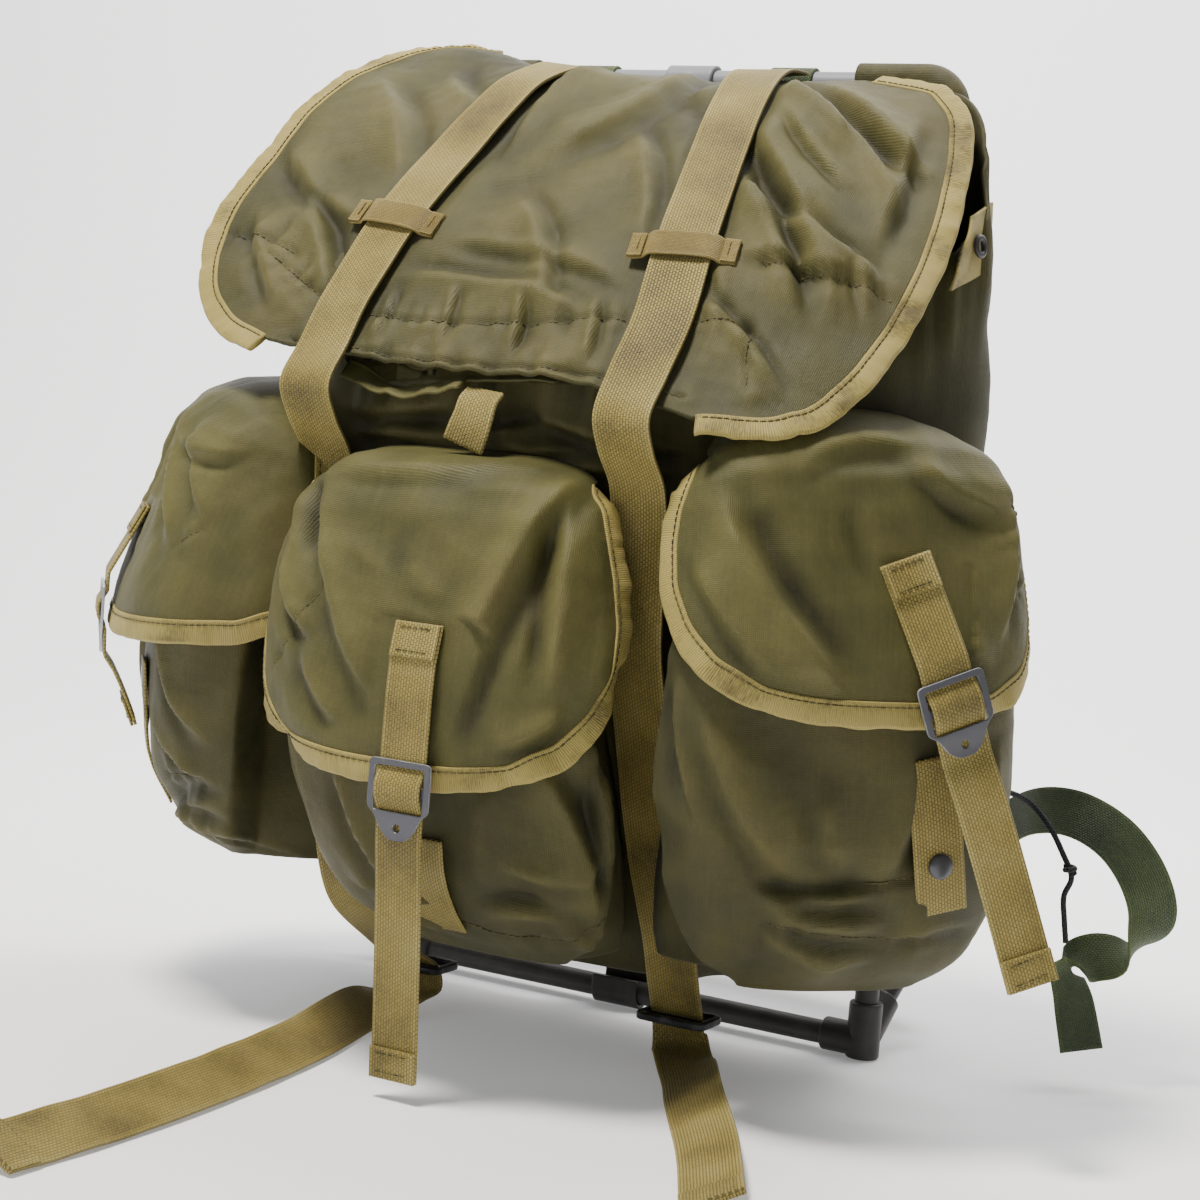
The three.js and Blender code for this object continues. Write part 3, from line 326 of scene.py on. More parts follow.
@dataclass(frozen=True)
class Site:
    """Where the pack's own millimetre axes lie in the row frame, and how a mesh gets there."""

    dx: float
    dy: float

    @classmethod
    def from_loop(cls) -> "Site":
        """The site read from the frame tube: its middle is X and Y nought on the pack's own axes."""
        low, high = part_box("frame_loop")
        return cls((low.x + high.x) * 500, (low.y + high.y) * 500)

    def put(self, points: Array) -> Array:
        """Points in millimetres on the pack's axes as metres in the row frame."""
        return (np.asarray(points, float) + np.array([self.dx, self.dy, 0.0])) * 0.001

    def mesh(self, name: str, grids: Sequence[Grid], closed: bool = True) -> bpy.types.Object:
        """One object from grids, with a pattern map in metres and a wear attribute, which carries wear and painted
        shade.

        Args:
            name: the piece's name.
            grids: its surfaces.
            closed: whether each surface closes on itself, so that its faces can be turned outward.

        Returns:
            The linked object, at the origin.
        """
        points, faces, uv, wear, base = [], [], [], [], 0
        for grid in grids:
            p, f, c, w = grid.arrays(base)
            points.append(p)
            faces += f
            uv.append(c)
            wear.append(w)
            base += len(p)
        data = bpy.data.meshes.new(name)
        data.from_pydata(self.put(np.vstack(points)).tolist(), [], faces)
        layer = data.uv_layers.new(name="cloth")
        layer.data.foreach_set("uv", (np.vstack(uv) * 0.001).astype(np.float32).ravel())
        mark = data.attributes.new("wear", "FLOAT", "POINT")
        mark.data.foreach_set("value", np.concatenate(wear).astype(np.float32))
        data.polygons.foreach_set("use_smooth", np.ones(len(data.polygons), bool))
        if closed:
            shell = bmesh.new()
            shell.from_mesh(data)
            bmesh.ops.remove_doubles(shell, verts=shell.verts, dist=1e-6)
            bmesh.ops.recalc_face_normals(shell, faces=shell.faces)
            shell.to_mesh(data)
            shell.free()
        data.validate()
        piece = bpy.data.objects.new(name, data)
        bpy.context.scene.collection.objects.link(piece)
        return piece


def solidify(piece: bpy.types.Object, thickness: float) -> bpy.types.Object:
    """Wall of even thickness about an open sheet, millimetres."""
    wall = piece.modifiers.new("wall", "SOLIDIFY")
    wall.thickness = thickness * 0.001
    wall.offset = 0.0
    wall.use_even_offset = False
    return piece


def subdivide(piece: bpy.types.Object, levels: int = 1) -> bpy.types.Object:
    """Smooth subdivision with the same levels in the view and the render."""
    finer = piece.modifiers.new("finer", "SUBSURF")
    finer.levels = finer.render_levels = levels
    return piece


def webbing_grid(points: Array, sides: Array, width: float, thickness: float, sway: Array | None = None) -> Grid:
    """Woven strap: a flat section with round edges carried along a line.

    The section's places are shares of width and thickness; the width direction is squared to the run.

    Args:
        points: the middle line.
        sides: the width direction at each point.
        width: millimetres.
        thickness: millimetres.
        sway: how far each point is lifted along the strap's normal, or None.

    Returns:
        A closed grid with poles at both ends; across the strap the pattern runs the same way on both faces.
    """
    half = [(-0.5, 0.0), (-0.497, 0.32), (-0.485, 0.52), (-0.45, 0.54), (-0.4, 0.5), (-0.2, 0.5), (0.0, 0.5)]
    top = half + [(-x, y) for x, y in reversed(half[:-1])]
    section = np.array(top + [(x, -y) for x, y in reversed(top[1:-1])])
    run = unit(np.gradient(points, axis=0))
    side = unit(sides - (sides * run).sum(1, keepdims=True) * run)
    up = np.cross(run, side)
    middle = points if sway is None else points + up * sway[:, None]
    place = middle[:, None] + side[:, None] * (section[:, 0] * width)[None, :, None]
    place = place + up[:, None] * (section[:, 1] * thickness)[None, :, None]
    across = np.append(section[:, 0], section[0, 0]) * width
    uv = np.stack(np.broadcast_arrays(across[None, :], arc_of(points)[:, None]), -1)
    edge = np.abs(section[:, 0]) > 0.44
    wear = np.broadcast_to(np.where(edge, 0.25, 0.0), place.shape[:2])
    return Grid(place, uv, wear, wrap=True, poles=True)


def strap_grid(stops: Sequence[Sequence[float]], width: float, thickness: float, wave: float = 0.0,
               seed: int = 1, smooth: bool = True) -> Grid:
    """Strap through stops of place and width direction.

    Args:
        stops: x, y, z, side x, side y, side z.
        width: millimetres.
        thickness: millimetres.
        wave: height of the strap's own unevenness, millimetres.
        seed: which strap.
        smooth: whether the line is a smooth curve through the stops.

    Returns:
        The strap's closed grid.
    """
    raw = np.asarray(stops, float)
    count = int(arc_of(raw[:, :3])[-1] / 2.2) + 8
    line = smooth_line(raw, count) if smooth else resample(raw, count)
    s = arc_of(line[:, :3])
    sway = wave * ripple(s, s * 0, 46, seed) if wave else None
    return webbing_grid(line[:, :3], line[:, 3:6], width, thickness, sway)


def round_tube(path: Array, radius: Array | float, sides: int = 28) -> Grid:
    """Round tube along a path: circles in the plane square to the run, carried without twist.

    Args:
        path: the middle line.
        radius: one for all, or one a point.
        sides: points round the tube.

    Returns:
        A closed grid.
    """
    run = unit(np.gradient(path, axis=0))
    seed = np.array([0.0, 0.0, 1.0]) if abs(run[0, 2]) < 0.9 else np.array([0.0, 1.0, 0.0])
    side = np.zeros_like(path)
    last = seed
    for i, t in enumerate(run):
        last = last - t * last.dot(t)
        last = last / np.linalg.norm(last)
        side[i] = last
    up = np.cross(run, side)
    a = np.linspace(0, 2 * np.pi, sides, endpoint=False)
    r = np.broadcast_to(radius, len(path))[:, None, None]
    ring = path[:, None] + r * (side[:, None] * np.cos(a)[None, :, None] + up[:, None] * np.sin(a)[None, :, None])
    mean_r = float(np.mean(r))
    turn = np.linspace(0, 2 * np.pi * mean_r, sides + 1)
    uv = np.stack(np.broadcast_arrays(turn[None, :], arc_of(path)[:, None]), -1)
    return Grid(ring, uv, wrap=True, poles=True)


def tape_grid(border: Array, normals: Array, away: Array, width: float, thickness: float, seed: int,
              inset: float = 1.6, pucker: float = 0.45) -> tuple[Grid, Array, Array]:
    """Edge tape folded over a sheet's border: a flat loop section, closed, carried along the border.

    The section runs out from the border in the sheet's plane; its width and lift waver with a ripple, so that
    the tape is puckered as its stitching pulls it.

    Args:
        border: the sheet's edge.
        normals: the sheet's normal at each point.
        away: a point the tape points away from.
        width: how far it stands out past the edge.
        thickness: over both faces.
        seed: which tape.
        inset: how far it reaches in over the cloth.
        pucker: height of the puckers.

    Returns:
        The grid, and the stitch line's points and normals.
    """
    count = int(arc_of(border)[-1] / 1.7) + 6
    line = smooth_line(np.hstack([border, normals]), count)
    p, up = line[:, :3], line[:, 3:]
    run = unit(np.gradient(p, axis=0))
    up = unit(up - (up * run).sum(1, keepdims=True) * run)
    out = np.cross(run, up)
    if ((p - away) * out).sum() < 0:
        out = -out
    s = arc_of(p)
    wide = width + 0.35 * ripple(s, s * 0, 26, seed)
    lift = pucker * (ripple(s, s * 0, 11, seed + 1) * 0.8 + 0.6 * ripple(s, s * 0, 33, seed + 2))
    section = np.array([(0, 0.42), (0.03, 0.56), (0.12, 0.5), (0.2, 0.42), (0.3, 0.54), (0.6, 0.55), (0.85, 0.5),
                        (0.96, 0.34), (1, 0)])
    section = np.vstack([section, (section * [1, -1])[-2::-1]])
    o = -inset + section[None, :, 0] * (wide[:, None] + inset)
    u = section[None, :, 1] * thickness + lift[:, None] * ramp(o, 0, 6)
    points = p[:, None] + out[:, None] * o[..., None] + up[:, None] * u[..., None]
    places = np.concatenate([section[:, 0], section[:1, 0]]) * (width + inset)
    uv = np.stack(np.broadcast_arrays(places[None, :], s[:, None]), -1)
    wear = np.where(section[None, :, 0] > 0.93, 0.35, 0.0) + 0.25 * ripple(s, s * 0, 70, seed + 3)[:, None]
    seam = -inset + 0.2 * (width + inset)
    stitch = p + out * seam + up * (0.5 * thickness + lift * ramp(np.array(seam), 0, 6))[:, None]
    return Grid(points, uv, np.broadcast_to(wear, points.shape[:2]), wrap=True, poles=True), stitch, up


def stitch_grids(line: Array, up: Array, pitch: float = 3.4, length: float = 2.5, radius: float = 0.34,
                 jitter: int = 3) -> Grid:
    """A run of stitches: short beads of thread laid along a line.

    Each bead is a ring of four points at three stations, thick in the middle; all beads are one array.

    Args:
        line: where the seam runs.
        up: the cloth's normal there.
        pitch: from one stitch to the next.
        length: of one bead.
        radius: of the thread.
        jitter: seed of the small unevenness.

    Returns:
        One grid whose rows are the beads' stations, joined under the cloth between beads.
    """
    rng = np.random.default_rng(jitter)
    s = arc_of(line)
    at = np.arange(pitch, s[-1] - pitch * 0.6, pitch)
    at = at + rng.normal(0, 0.12, len(at))
    stations = np.array([-0.62, -0.5, -0.18, 0.18, 0.5, 0.62]) * length
    lifts = np.array([-0.9, 0.1, 0.75, 0.75, 0.1, -0.9]) * radius
    sizes = np.array([0.35, 0.8, 1.0, 1.0, 0.8, 0.35]) * radius
    where = (at[:, None] + stations[None]).ravel()
    place = np.stack([np.interp(where, s, line[:, k]) for k in range(3)], 1)
    lift = np.tile(lifts, len(at))
    size = np.tile(sizes, len(at))
    high = unit(np.stack([np.interp(where, s, up[:, k]) for k in range(3)], 1))
    run = unit(np.gradient(place, axis=0))
    side = np.cross(high, run)
    a = np.linspace(0, 2 * np.pi, 5, endpoint=False)
    ring = (place + high * lift[:, None])[:, None] + size[:, None, None] * (
        side[:, None] * np.cos(a)[None, :, None] + high[:, None] * np.sin(a)[None, :, None])
    return Grid(ring, flat_pattern(ring, wrap=True), wrap=True, poles=True)


# ---- finishes


def linear(colour: str) -> tuple[float, float, float, float]:
    """sRGB hex to linear light with full alpha.

    Args:
        colour: six hex digits.

    Returns:
        Red, green, blue, one.
    """
    parts = [int(colour[k:k + 2], 16) / 255 for k in (0, 2, 4)]
    return (*[c / 12.92 if c <= 0.04045 else ((c + 0.055) / 1.055) ** 2.4 for c in parts], 1.0)


def add_node(tree: bpy.types.NodeTree, kind: str, settings: dict | None = None, **links: object) -> bpy.types.Node:
    """Adds one shader node.

    Args:
        tree: the material's tree.
        kind: the node's type without its ShaderNode prefix.
        settings: properties by name, inputs by name or number with a value, and a colour ramp's stops, each a
            place and a hex colour, under "stops".
        links: input name, spaces as underscores, or i and its number, to a node or a (node, output) pair.

    Returns:
        The new node.
    """
    node = tree.nodes.new("ShaderNode" + kind)
    for key, value in (settings or {}).items():
        if key == "stops":
            band = node.color_ramp.elements
            while len(band) < len(value):
                band.new(0.5)
            for element, (at, colour) in zip(band, value):
                element.position = at
                element.color = linear(colour)
        elif isinstance(key, int) or key in node.inputs:
            node.inputs[key].default_value = value
        else:
            setattr(node, key, value)
    for key, source in links.items():
        origin, output = source if isinstance(source, tuple) else (source, 0)
        numbered = key[0] == "i" and key[1:].isdigit()
        socket = node.inputs[int(key[1:])] if numbered else node.inputs[key.replace("_", " ")]
        tree.links.new(origin.outputs[output], socket)
    return node


def weighted(tree: bpy.types.NodeTree, *parts: tuple) -> bpy.types.Node:
    """Weighted sum of values: each part is a node or a (node, output) pair, and its weight."""
    total = None
    for source, weight in parts:
        before = {} if total is None else {"i2": total}
        total = add_node(tree, "Math", {"operation": "MULTIPLY_ADD", 1: weight, 2: 0.0}, i0=source, **before)
    return total


def mixed(tree: bpy.types.NodeTree, settings: dict, **links: object) -> tuple[bpy.types.Node, int]:
    """Two colours, inputs 6 and 7, mixed by input 0: the node and its colour output."""
    return add_node(tree, "Mix", {"data_type": "RGBA", **settings}, **links), 2


def wave_scale(period_mm: float) -> float:
    """Scale at which a band wave repeats every period of millimetres over coordinates in metres."""
    return math.pi / 10 / (period_mm * 0.001)


def stretched(tree: bpy.types.NodeTree, coords: object, scale: tuple[float, float, float]) -> bpy.types.Node:
    """Coordinates scaled by axis."""
    return add_node(tree, "Mapping", {"Scale": scale}, Vector=coords)


@dataclass(frozen=True)
class Finish:
    """What every finish has: its name, its main colour, and the surface values set on the shader's own sockets."""

    name: str
    colour: str
    roughness: float = 0.6
    metallic: float = 0.0
    sheen: float = 0.0
    specular: float = 0.3

    def start(self) -> tuple[bpy.types.Material, bpy.types.NodeTree, bpy.types.Node]:
        """An empty material with its shader, and a view colour for the solid view."""
        material = bpy.data.materials.new(self.name)
        material.use_nodes = True
        tree = material.node_tree
        tree.nodes.clear()
        settings = {"Metallic": self.metallic, "Roughness": self.roughness, "Sheen Weight": self.sheen,
                    "Sheen Roughness": 0.45, "Specular IOR Level": self.specular,
                    "Base Color": linear(self.colour)}
        shader = add_node(tree, "BsdfPrincipled", settings)
        add_node(tree, "OutputMaterial", Surface=shader)
        material.diffuse_color = linear(self.colour)
        return material, tree, shader

    def finish_up(self, tree: bpy.types.NodeTree, shader: bpy.types.Node, colour: object, height: object,
                  depth_mm: float, rough: object | None = None) -> None:
        """Links colour, bump of a depth in millimetres, and roughness if given, to the shader."""
        origin, output = colour if isinstance(colour, tuple) else (colour, 0)
        tree.links.new(origin.outputs[output], shader.inputs["Base Color"])
        relief = add_node(tree, "Bump", {"Strength": 1.0, "Distance": depth_mm * 0.001}, Height=height)
        tree.links.new(relief.outputs[0], shader.inputs["Normal"])
        if rough is not None:
            tree.links.new(rough.outputs[0], shader.inputs["Roughness"])

    def make(self) -> bpy.types.Material:
        """The finished material."""
        raise NotImplementedError


@dataclass(frozen=True)
class WovenNylon(Finish):
    """Washed nylon duck, plain woven and coated inside: a faint sheen, faded ridges, painted shade in the creases and
    on the inner walls, mottled dye.

    The real threads lie about 0.35 mm apart, too fine to show, so the weave is drawn at thread_mm.
    """

    faded: str = "544f28"
    dark: str = "262510"
    stain: str = "443b1e"
    thread_mm: float = 0.85
    # Weight of the wear attribute in the tone: paler worn ridges, and painted shade in creases, under flaps and straps
    # and on inner walls.
    fade: float = 0.45

    def make(self) -> bpy.types.Material:
        """Weave from two crossed band waves on the pattern map; fade and painted shade from the wear attribute, fade
        also from two noises.
        """
        material, tree, shader = self.start()
        coords = add_node(tree, "TexCoord")
        pattern = add_node(tree, "UVMap", {"uv_map": "cloth"})
        place = (coords, "Object")
        broad = add_node(tree, "TexNoise", {"Scale": 1 / 0.075, "Detail": 3.0, "Roughness": 0.55}, Vector=place)
        patch = add_node(tree, "TexNoise", {"Scale": 1 / 0.022, "Detail": 4.0, "Roughness": 0.6}, Vector=place)
        speck = add_node(tree, "TexNoise", {"Scale": 1 / 0.0023, "Detail": 2.0, "Roughness": 0.7}, Vector=place)
        streaks = stretched(tree, pattern, (1 / 0.0016, 1 / 0.03, 1.0))
        slub = add_node(tree, "TexNoise", {"Scale": 1.0, "Detail": 2.0}, Vector=streaks)
        # Painted shade: the wear attribute darkens valleys, the cloth under flaps and straps and the inner walls, and
        # lightens worn ridges.
        wear_and_shade_level = add_node(tree, "Attribute", {"attribute_name": "wear"})
        level = weighted(tree, (broad, 0.5), (patch, 0.34), (slub, 0.16), ((wear_and_shade_level, "Fac"), self.fade))
        tone = add_node(tree, "ValToRGB", {"stops": [(0.2, self.dark), (0.5, self.colour), (0.82, self.faded)]},
                        Fac=level)
        aged = add_node(tree, "ValToRGB", {"stops": [(0.55, "000000"), (0.72, "ffffff")]}, Fac=broad)
        tone = mixed(tree, {7: linear(self.stain)}, i0=weighted(tree, (aged, 0.35)), i6=tone)
        tone = mixed(tree, {"blend_type": "OVERLAY"}, i0=weighted(tree, (speck, 0.35)), i6=tone, i7=speck)
        warp = add_node(tree, "TexWave", {"bands_direction": "X", "Scale": wave_scale(self.thread_mm)}, Vector=pattern)
        weft = add_node(tree, "TexWave", {"bands_direction": "Y", "Scale": wave_scale(self.thread_mm)}, Vector=pattern)
        weave = add_node(tree, "Math", {"operation": "MULTIPLY"}, i0=(warp, "Fac"), i1=(weft, "Fac"))
        weave = weighted(tree, (weave, 1.0), (speck, 1.2), (patch, 5.0))
        rough = add_node(tree, "MapRange", {"To Min": self.roughness - 0.1, "To Max": self.roughness + 0.12},
                         Value=patch)
        self.finish_up(tree, shader, tone, weave, 0.16, rough)
        return material


@dataclass(frozen=True)
class Webbing(Finish):
    """Heavy woven nylon webbing: plump weft ribs in offset rows like fine bricks, paler where worn."""

    faded: str = "b5a668"
    dark: str = "655930"
    rib_mm: float = 2.1
    pick_mm: float = 1.5

    def make(self) -> bpy.types.Material:
        """Offset bricks on the pattern map for the weave; their joints darken the colour and sink the bump."""
        material, tree, shader = self.start()
        coords = add_node(tree, "TexCoord")
        pattern = add_node(tree, "UVMap", {"uv_map": "cloth"})
        broad = add_node(tree, "TexNoise", {"Scale": 1 / 0.05, "Detail": 3.0}, Vector=(coords, "Object"))
        speck = add_node(tree, "TexNoise", {"Scale": 1 / 0.0016, "Detail": 2.0}, Vector=(coords, "Object"))
        turned = add_node(tree, "Mapping", {"Rotation": (0, 0, math.pi / 2)}, Vector=pattern)
        weave = add_node(tree, "TexBrick", {
            "offset": 0.5, "Scale": 1.0, "Mortar Size": 0.00042, "Mortar Smooth": 1.0, "Bias": 0.0,
            "Brick Width": self.rib_mm * 0.001, "Row Height": self.pick_mm * 0.001,
            "Color1": (0.86, 0.86, 0.86, 1), "Color2": (1, 1, 1, 1), "Mortar": (0.28, 0.28, 0.28, 1)}, Vector=turned)
        wear_and_shade_level = add_node(tree, "Attribute", {"attribute_name": "wear"})
        level = weighted(tree, (broad, 0.75), ((wear_and_shade_level, "Fac"), 0.45), (speck, 0.25))
        tone = add_node(tree, "ValToRGB", {"stops": [(0.3, self.dark), (0.52, self.colour), (0.8, self.faded)]},
                        Fac=level)
        tone = mixed(tree, {"blend_type": "MULTIPLY", 0: 0.85}, i6=tone, i7=(weave, "Color"))
        height = weighted(tree, ((weave, "Fac"), -1.0), (speck, 0.25))
        self.finish_up(tree, shader, tone, height, 0.3)
        return material


@dataclass(frozen=True)
class RibbedTape(Finish):
    """Grosgrain edge tape: fine cross ribs, dirt in broad patches, paler where worn."""

    faded: str = "a6965a"
    dark: str = "5a4f2c"
    rib_mm: float = 1.0

    def make(self) -> bpy.types.Material:
        """Band wave along the tape for the ribs, long thin noise for the yarns, broad noise for the dirt."""
        material, tree, shader = self.start()
        coords = add_node(tree, "TexCoord")
        pattern = add_node(tree, "UVMap", {"uv_map": "cloth"})
        broad = add_node(tree, "TexNoise", {"Scale": 1 / 0.034, "Detail": 4.0, "Roughness": 0.6},
                         Vector=(coords, "Object"))
        yarn = add_node(tree, "TexNoise", {"Scale": 1.0, "Detail": 2.0},
                        Vector=stretched(tree, pattern, (1 / 0.004, 1 / 0.0007, 1.0)))
        ribs = add_node(tree, "TexWave", {"bands_direction": "Y", "Scale": wave_scale(self.rib_mm)}, Vector=pattern)
        wear_and_shade_level = add_node(tree, "Attribute", {"attribute_name": "wear"})
        level = weighted(tree, (broad, 0.7), (yarn, 0.3), ((wear_and_shade_level, "Fac"), 0.3))
        tone = add_node(tree, "ValToRGB", {"stops": [(0.3, self.dark), (0.47, self.colour), (0.75, self.faded)]},
                        Fac=level)
        shade = add_node(tree, "ValToRGB", {"stops": [(0.0, "9a9a9a"), (0.6, "ffffff")]}, Fac=(ribs, "Fac"))
        tone = mixed(tree, {"blend_type": "MULTIPLY", 0: 0.4}, i6=tone, i7=shade)
        height = weighted(tree, ((ribs, "Fac"), 1.0), (broad, 3.0))
        self.finish_up(tree, shader, tone, height, 0.2)
        return material


@dataclass(frozen=True)
class Thread(Finish):
    """Waxed sewing thread: a darker twist that catches a little light."""

    dark: str = "2c2a18"

    def make(self) -> bpy.types.Material:
        """Noise a few millimetres long between the thread's colour and its dirt, with a twist in the bump."""
        material, tree, shader = self.start()
        coords = add_node(tree, "TexCoord")
        dirt = add_node(tree, "TexNoise", {"Scale": 1 / 0.006, "Detail": 2.0}, Vector=(coords, "Object"))
        tone = add_node(tree, "ValToRGB", {"stops": [(0.35, self.dark), (0.6, self.colour)]}, Fac=dirt)
        self.finish_up(tree, shader, tone, dirt, 0.1)
        return material


@dataclass(frozen=True)
class PaintedSteel(Finish):
    """Sprayed enamel on metal: an orange-peel skin, fine scratches and chips that show the grey under it."""

    chip: str = "b9bcc2"
    chipped: float = 0.62
    edge: float = 0.0

    def make(self) -> bpy.types.Material:
        """Stretched noise for scratches, coarse noise for chips and dust, the wear attribute for rubbed edges."""
        material, tree, shader = self.start()
        place = (add_node(tree, "TexCoord"), "Object")
        peel = add_node(tree, "TexNoise", {"Scale": 1 / 0.0014, "Detail": 2.0}, Vector=place)
        dust = add_node(tree, "TexNoise", {"Scale": 1 / 0.02, "Detail": 5.0, "Roughness": 0.65}, Vector=place)
        lines = add_node(tree, "TexNoise", {"Scale": 1.0, "Detail": 3.0, "Roughness": 0.7},
                         Vector=stretched(tree, place, (1 / 0.0009, 1 / 0.0011, 1 / 0.02)))
        wear_and_shade_level = add_node(tree, "Attribute", {"attribute_name": "wear"})
        rub = weighted(tree, ((wear_and_shade_level, "Fac"), self.edge), (lines, 0.45), (dust, 0.5))
        bare = {"stops": [(self.chipped, "000000"), (self.chipped + 0.06, "ffffff")]}
        chips = add_node(tree, "ValToRGB", bare, Fac=rub)
        tone = mixed(tree, {6: linear(self.colour), 7: linear("77746a")}, i0=weighted(tree, (dust, 0.3)))
        tone = mixed(tree, {7: linear(self.chip)}, i0=chips, i6=tone)
        rough = add_node(tree, "MapRange", {"To Min": self.roughness - 0.12, "To Max": self.roughness + 0.15},
                         Value=dust)
        self.finish_up(tree, shader, tone, peel, 0.05, rough)
        return material


@dataclass(frozen=True)
class MouldedPlastic(Finish):
    """Moulded acetal: an even fine grain, slightly greyed where it rubs."""

    rubbed: str = "4a4a4c"

    def make(self) -> bpy.types.Material:
        """Fine noise for the mould's grain and broad noise for the rubbed grey."""
        material, tree, shader = self.start()
        place = (add_node(tree, "TexCoord"), "Object")
        grain = add_node(tree, "TexNoise", {"Scale": 1 / 0.0008, "Detail": 1.0}, Vector=place)
        rub = add_node(tree, "TexNoise", {"Scale": 1 / 0.009, "Detail": 4.0}, Vector=place)
        tone = add_node(tree, "ValToRGB", {"stops": [(0.5, self.colour), (0.8, self.rubbed)]}, Fac=rub)
        self.finish_up(tree, shader, tone, grain, 0.04)
        return material


@dataclass(frozen=True)
class BraidedCord(Finish):
    """Braided nylon cord: two crossing sets of strands."""

    strand_mm: float = 1.6

    def make(self) -> bpy.types.Material:
        """Two band waves at opposite slants on the pattern map."""
        material, tree, shader = self.start()
        pattern = add_node(tree, "UVMap", {"uv_map": "cloth"})
        left, right = (add_node(tree, "TexWave", {"Scale": wave_scale(self.strand_mm)}, Vector=add_node(
            tree, "Mapping", {"Rotation": (0, 0, s * math.pi / 4)}, Vector=pattern)) for s in (-1, 1))
        braid = add_node(tree, "Math", {"operation": "MAXIMUM"}, i0=(left, "Fac"), i1=(right, "Fac"))
        tone = add_node(tree, "ValToRGB", {"stops": [(0.3, "0c0c0d"), (0.95, self.colour)]}, Fac=braid)
        self.finish_up(tree, shader, tone, braid, 0.25)
        return material


@dataclass(frozen=True)
class Plaster(Finish):
    """Plain matt studio surface that gives back a little light of its own, as an overlit wall does."""

    glow: float = 0.18

    def make(self) -> bpy.types.Material:
        """Even colour with a trace of grain."""
        material, tree, shader = self.start()
        place = (add_node(tree, "TexCoord"), "Object")
        grain = add_node(tree, "TexNoise", {"Scale": 40.0, "Detail": 2.0}, Vector=place)
        tone = mixed(tree, {6: linear(self.colour), 7: linear("dcdcdc")}, i0=weighted(tree, (grain, 0.06)))
        self.finish_up(tree, shader, tone, grain, 0.2)
        shader.inputs["Emission Color"].default_value = linear("ffffff")
        shader.inputs["Emission Strength"].default_value = self.glow
        return material


@dataclass
class Wardrobe:
    """Every finish of the pack, made once and handed to the pieces."""

    olive: Finish = WovenNylon("olive_nylon", "3d3b1b", 0.6, sheen=0.03)
    flap: Finish = WovenNylon("olive_nylon_faded", "48461f", 0.58, sheen=0.04, faded="5f5a2f")
    crown: Finish = WovenNylon("olive_nylon_crown", "403e1b", 0.56, sheen=0.04, faded="57522a")
    pad: Finish = WovenNylon("olive_nylon_pad", "48482a", 0.66, sheen=0.03)
    tape: Finish = RibbedTape("tan_grosgrain", "9d8f4e", 0.6, sheen=0.02)
    webbing: Finish = Webbing("tan_webbing", "988846", 0.55, sheen=0.02)
    green: Finish = Webbing("green_webbing", "4b5a38", 0.55, sheen=0.02, faded="6c7a48", dark="2f3822",
                            rib_mm=1.7, pick_mm=1.2)
    thread: Finish = Thread("olive_thread", "5b5331", 0.6)
    pale_thread: Finish = Thread("tan_thread", "7d6c38", 0.6, dark="3c3018")
    grey: Finish = PaintedSteel("grey_paint", "84878f", 0.42, 0.0, chip="c9ccd2", chipped=0.66)
    black: Finish = PaintedSteel("black_paint", "1b1b1d", 0.4, 0.0, chip="6b6d72", chipped=0.7)
    keeper: Finish = Webbing("tan_keeper_tape", "94803f", 0.4, sheen=0.0, faded="c2ad6c", dark="6a5a2f", rib_mm=1.3,
                             pick_mm=0.9)
    nickel: Finish = PaintedSteel("dull_nickel", "8d8f90", 0.32, 0.9, chip="c9ccd2", chipped=0.62, edge=0.2)
    enamel: Finish = PaintedSteel("gunmetal_enamel", "4b4d56", 0.34, 0.55, chip="a9adb6", chipped=0.6, edge=0.34)
    plastic: Finish = MouldedPlastic("black_acetal", "161618", 0.45)
    braid: Finish = BraidedCord("black_braid", "2a2a2c", 0.7)
    made: dict[str, bpy.types.Material] = field(default_factory=dict)

    def get(self, finish: Finish) -> bpy.types.Material:
        """The material of a finish, made the first time it is asked for."""
        if finish.name not in self.made:
            self.made[finish.name] = finish.make()
        return self.made[finish.name]


@dataclass
class Bench:
    """What the sub-assemblies share: the site and the wardrobe."""

    site: Site
    wardrobe: Wardrobe

    def dress(self, piece: bpy.types.Object, finish: Finish, slot: str | None = None,
              nodes: Sequence[str] = ()) -> bpy.types.Object:
        """Gives a piece its finish, rides it on the pack and hides the CAD nodes it stands for.

        Args:
            piece: the object.
            finish: its finish.
            slot: the record's slot; not used.
            nodes: CAD nodes that it replaces.

        Returns:
            The piece.
        """
        piece.data.materials.clear()
        piece.data.materials.append(self.wardrobe.get(finish))
        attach(piece, "root")
        if nodes:
            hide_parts(*nodes)
        LOG.info("%s: %d faces", piece.name, len(piece.data.polygons))
        return piece

    def make(self, name: str, grids: Sequence[Grid], finish: Finish, slot: str,
             nodes: Sequence[str] = ()) -> bpy.types.Object:
        """A closed piece from its grids, dressed."""
        return self.dress(self.site.mesh(name, grids), finish, slot, nodes)

    def stitches(self, name: str, lines: Sequence[tuple[Array, Array]], finish: Finish, slot: str,
                 pitch: float = 3.4) -> bpy.types.Object:
        """One piece of thread from several seam lines and their normals."""
        grids = [stitch_grids(line, up, pitch=pitch, jitter=7 + k) for k, (line, up) in enumerate(lines)]
        return self.make(name, grids, finish, slot)


# ---- cloth panels


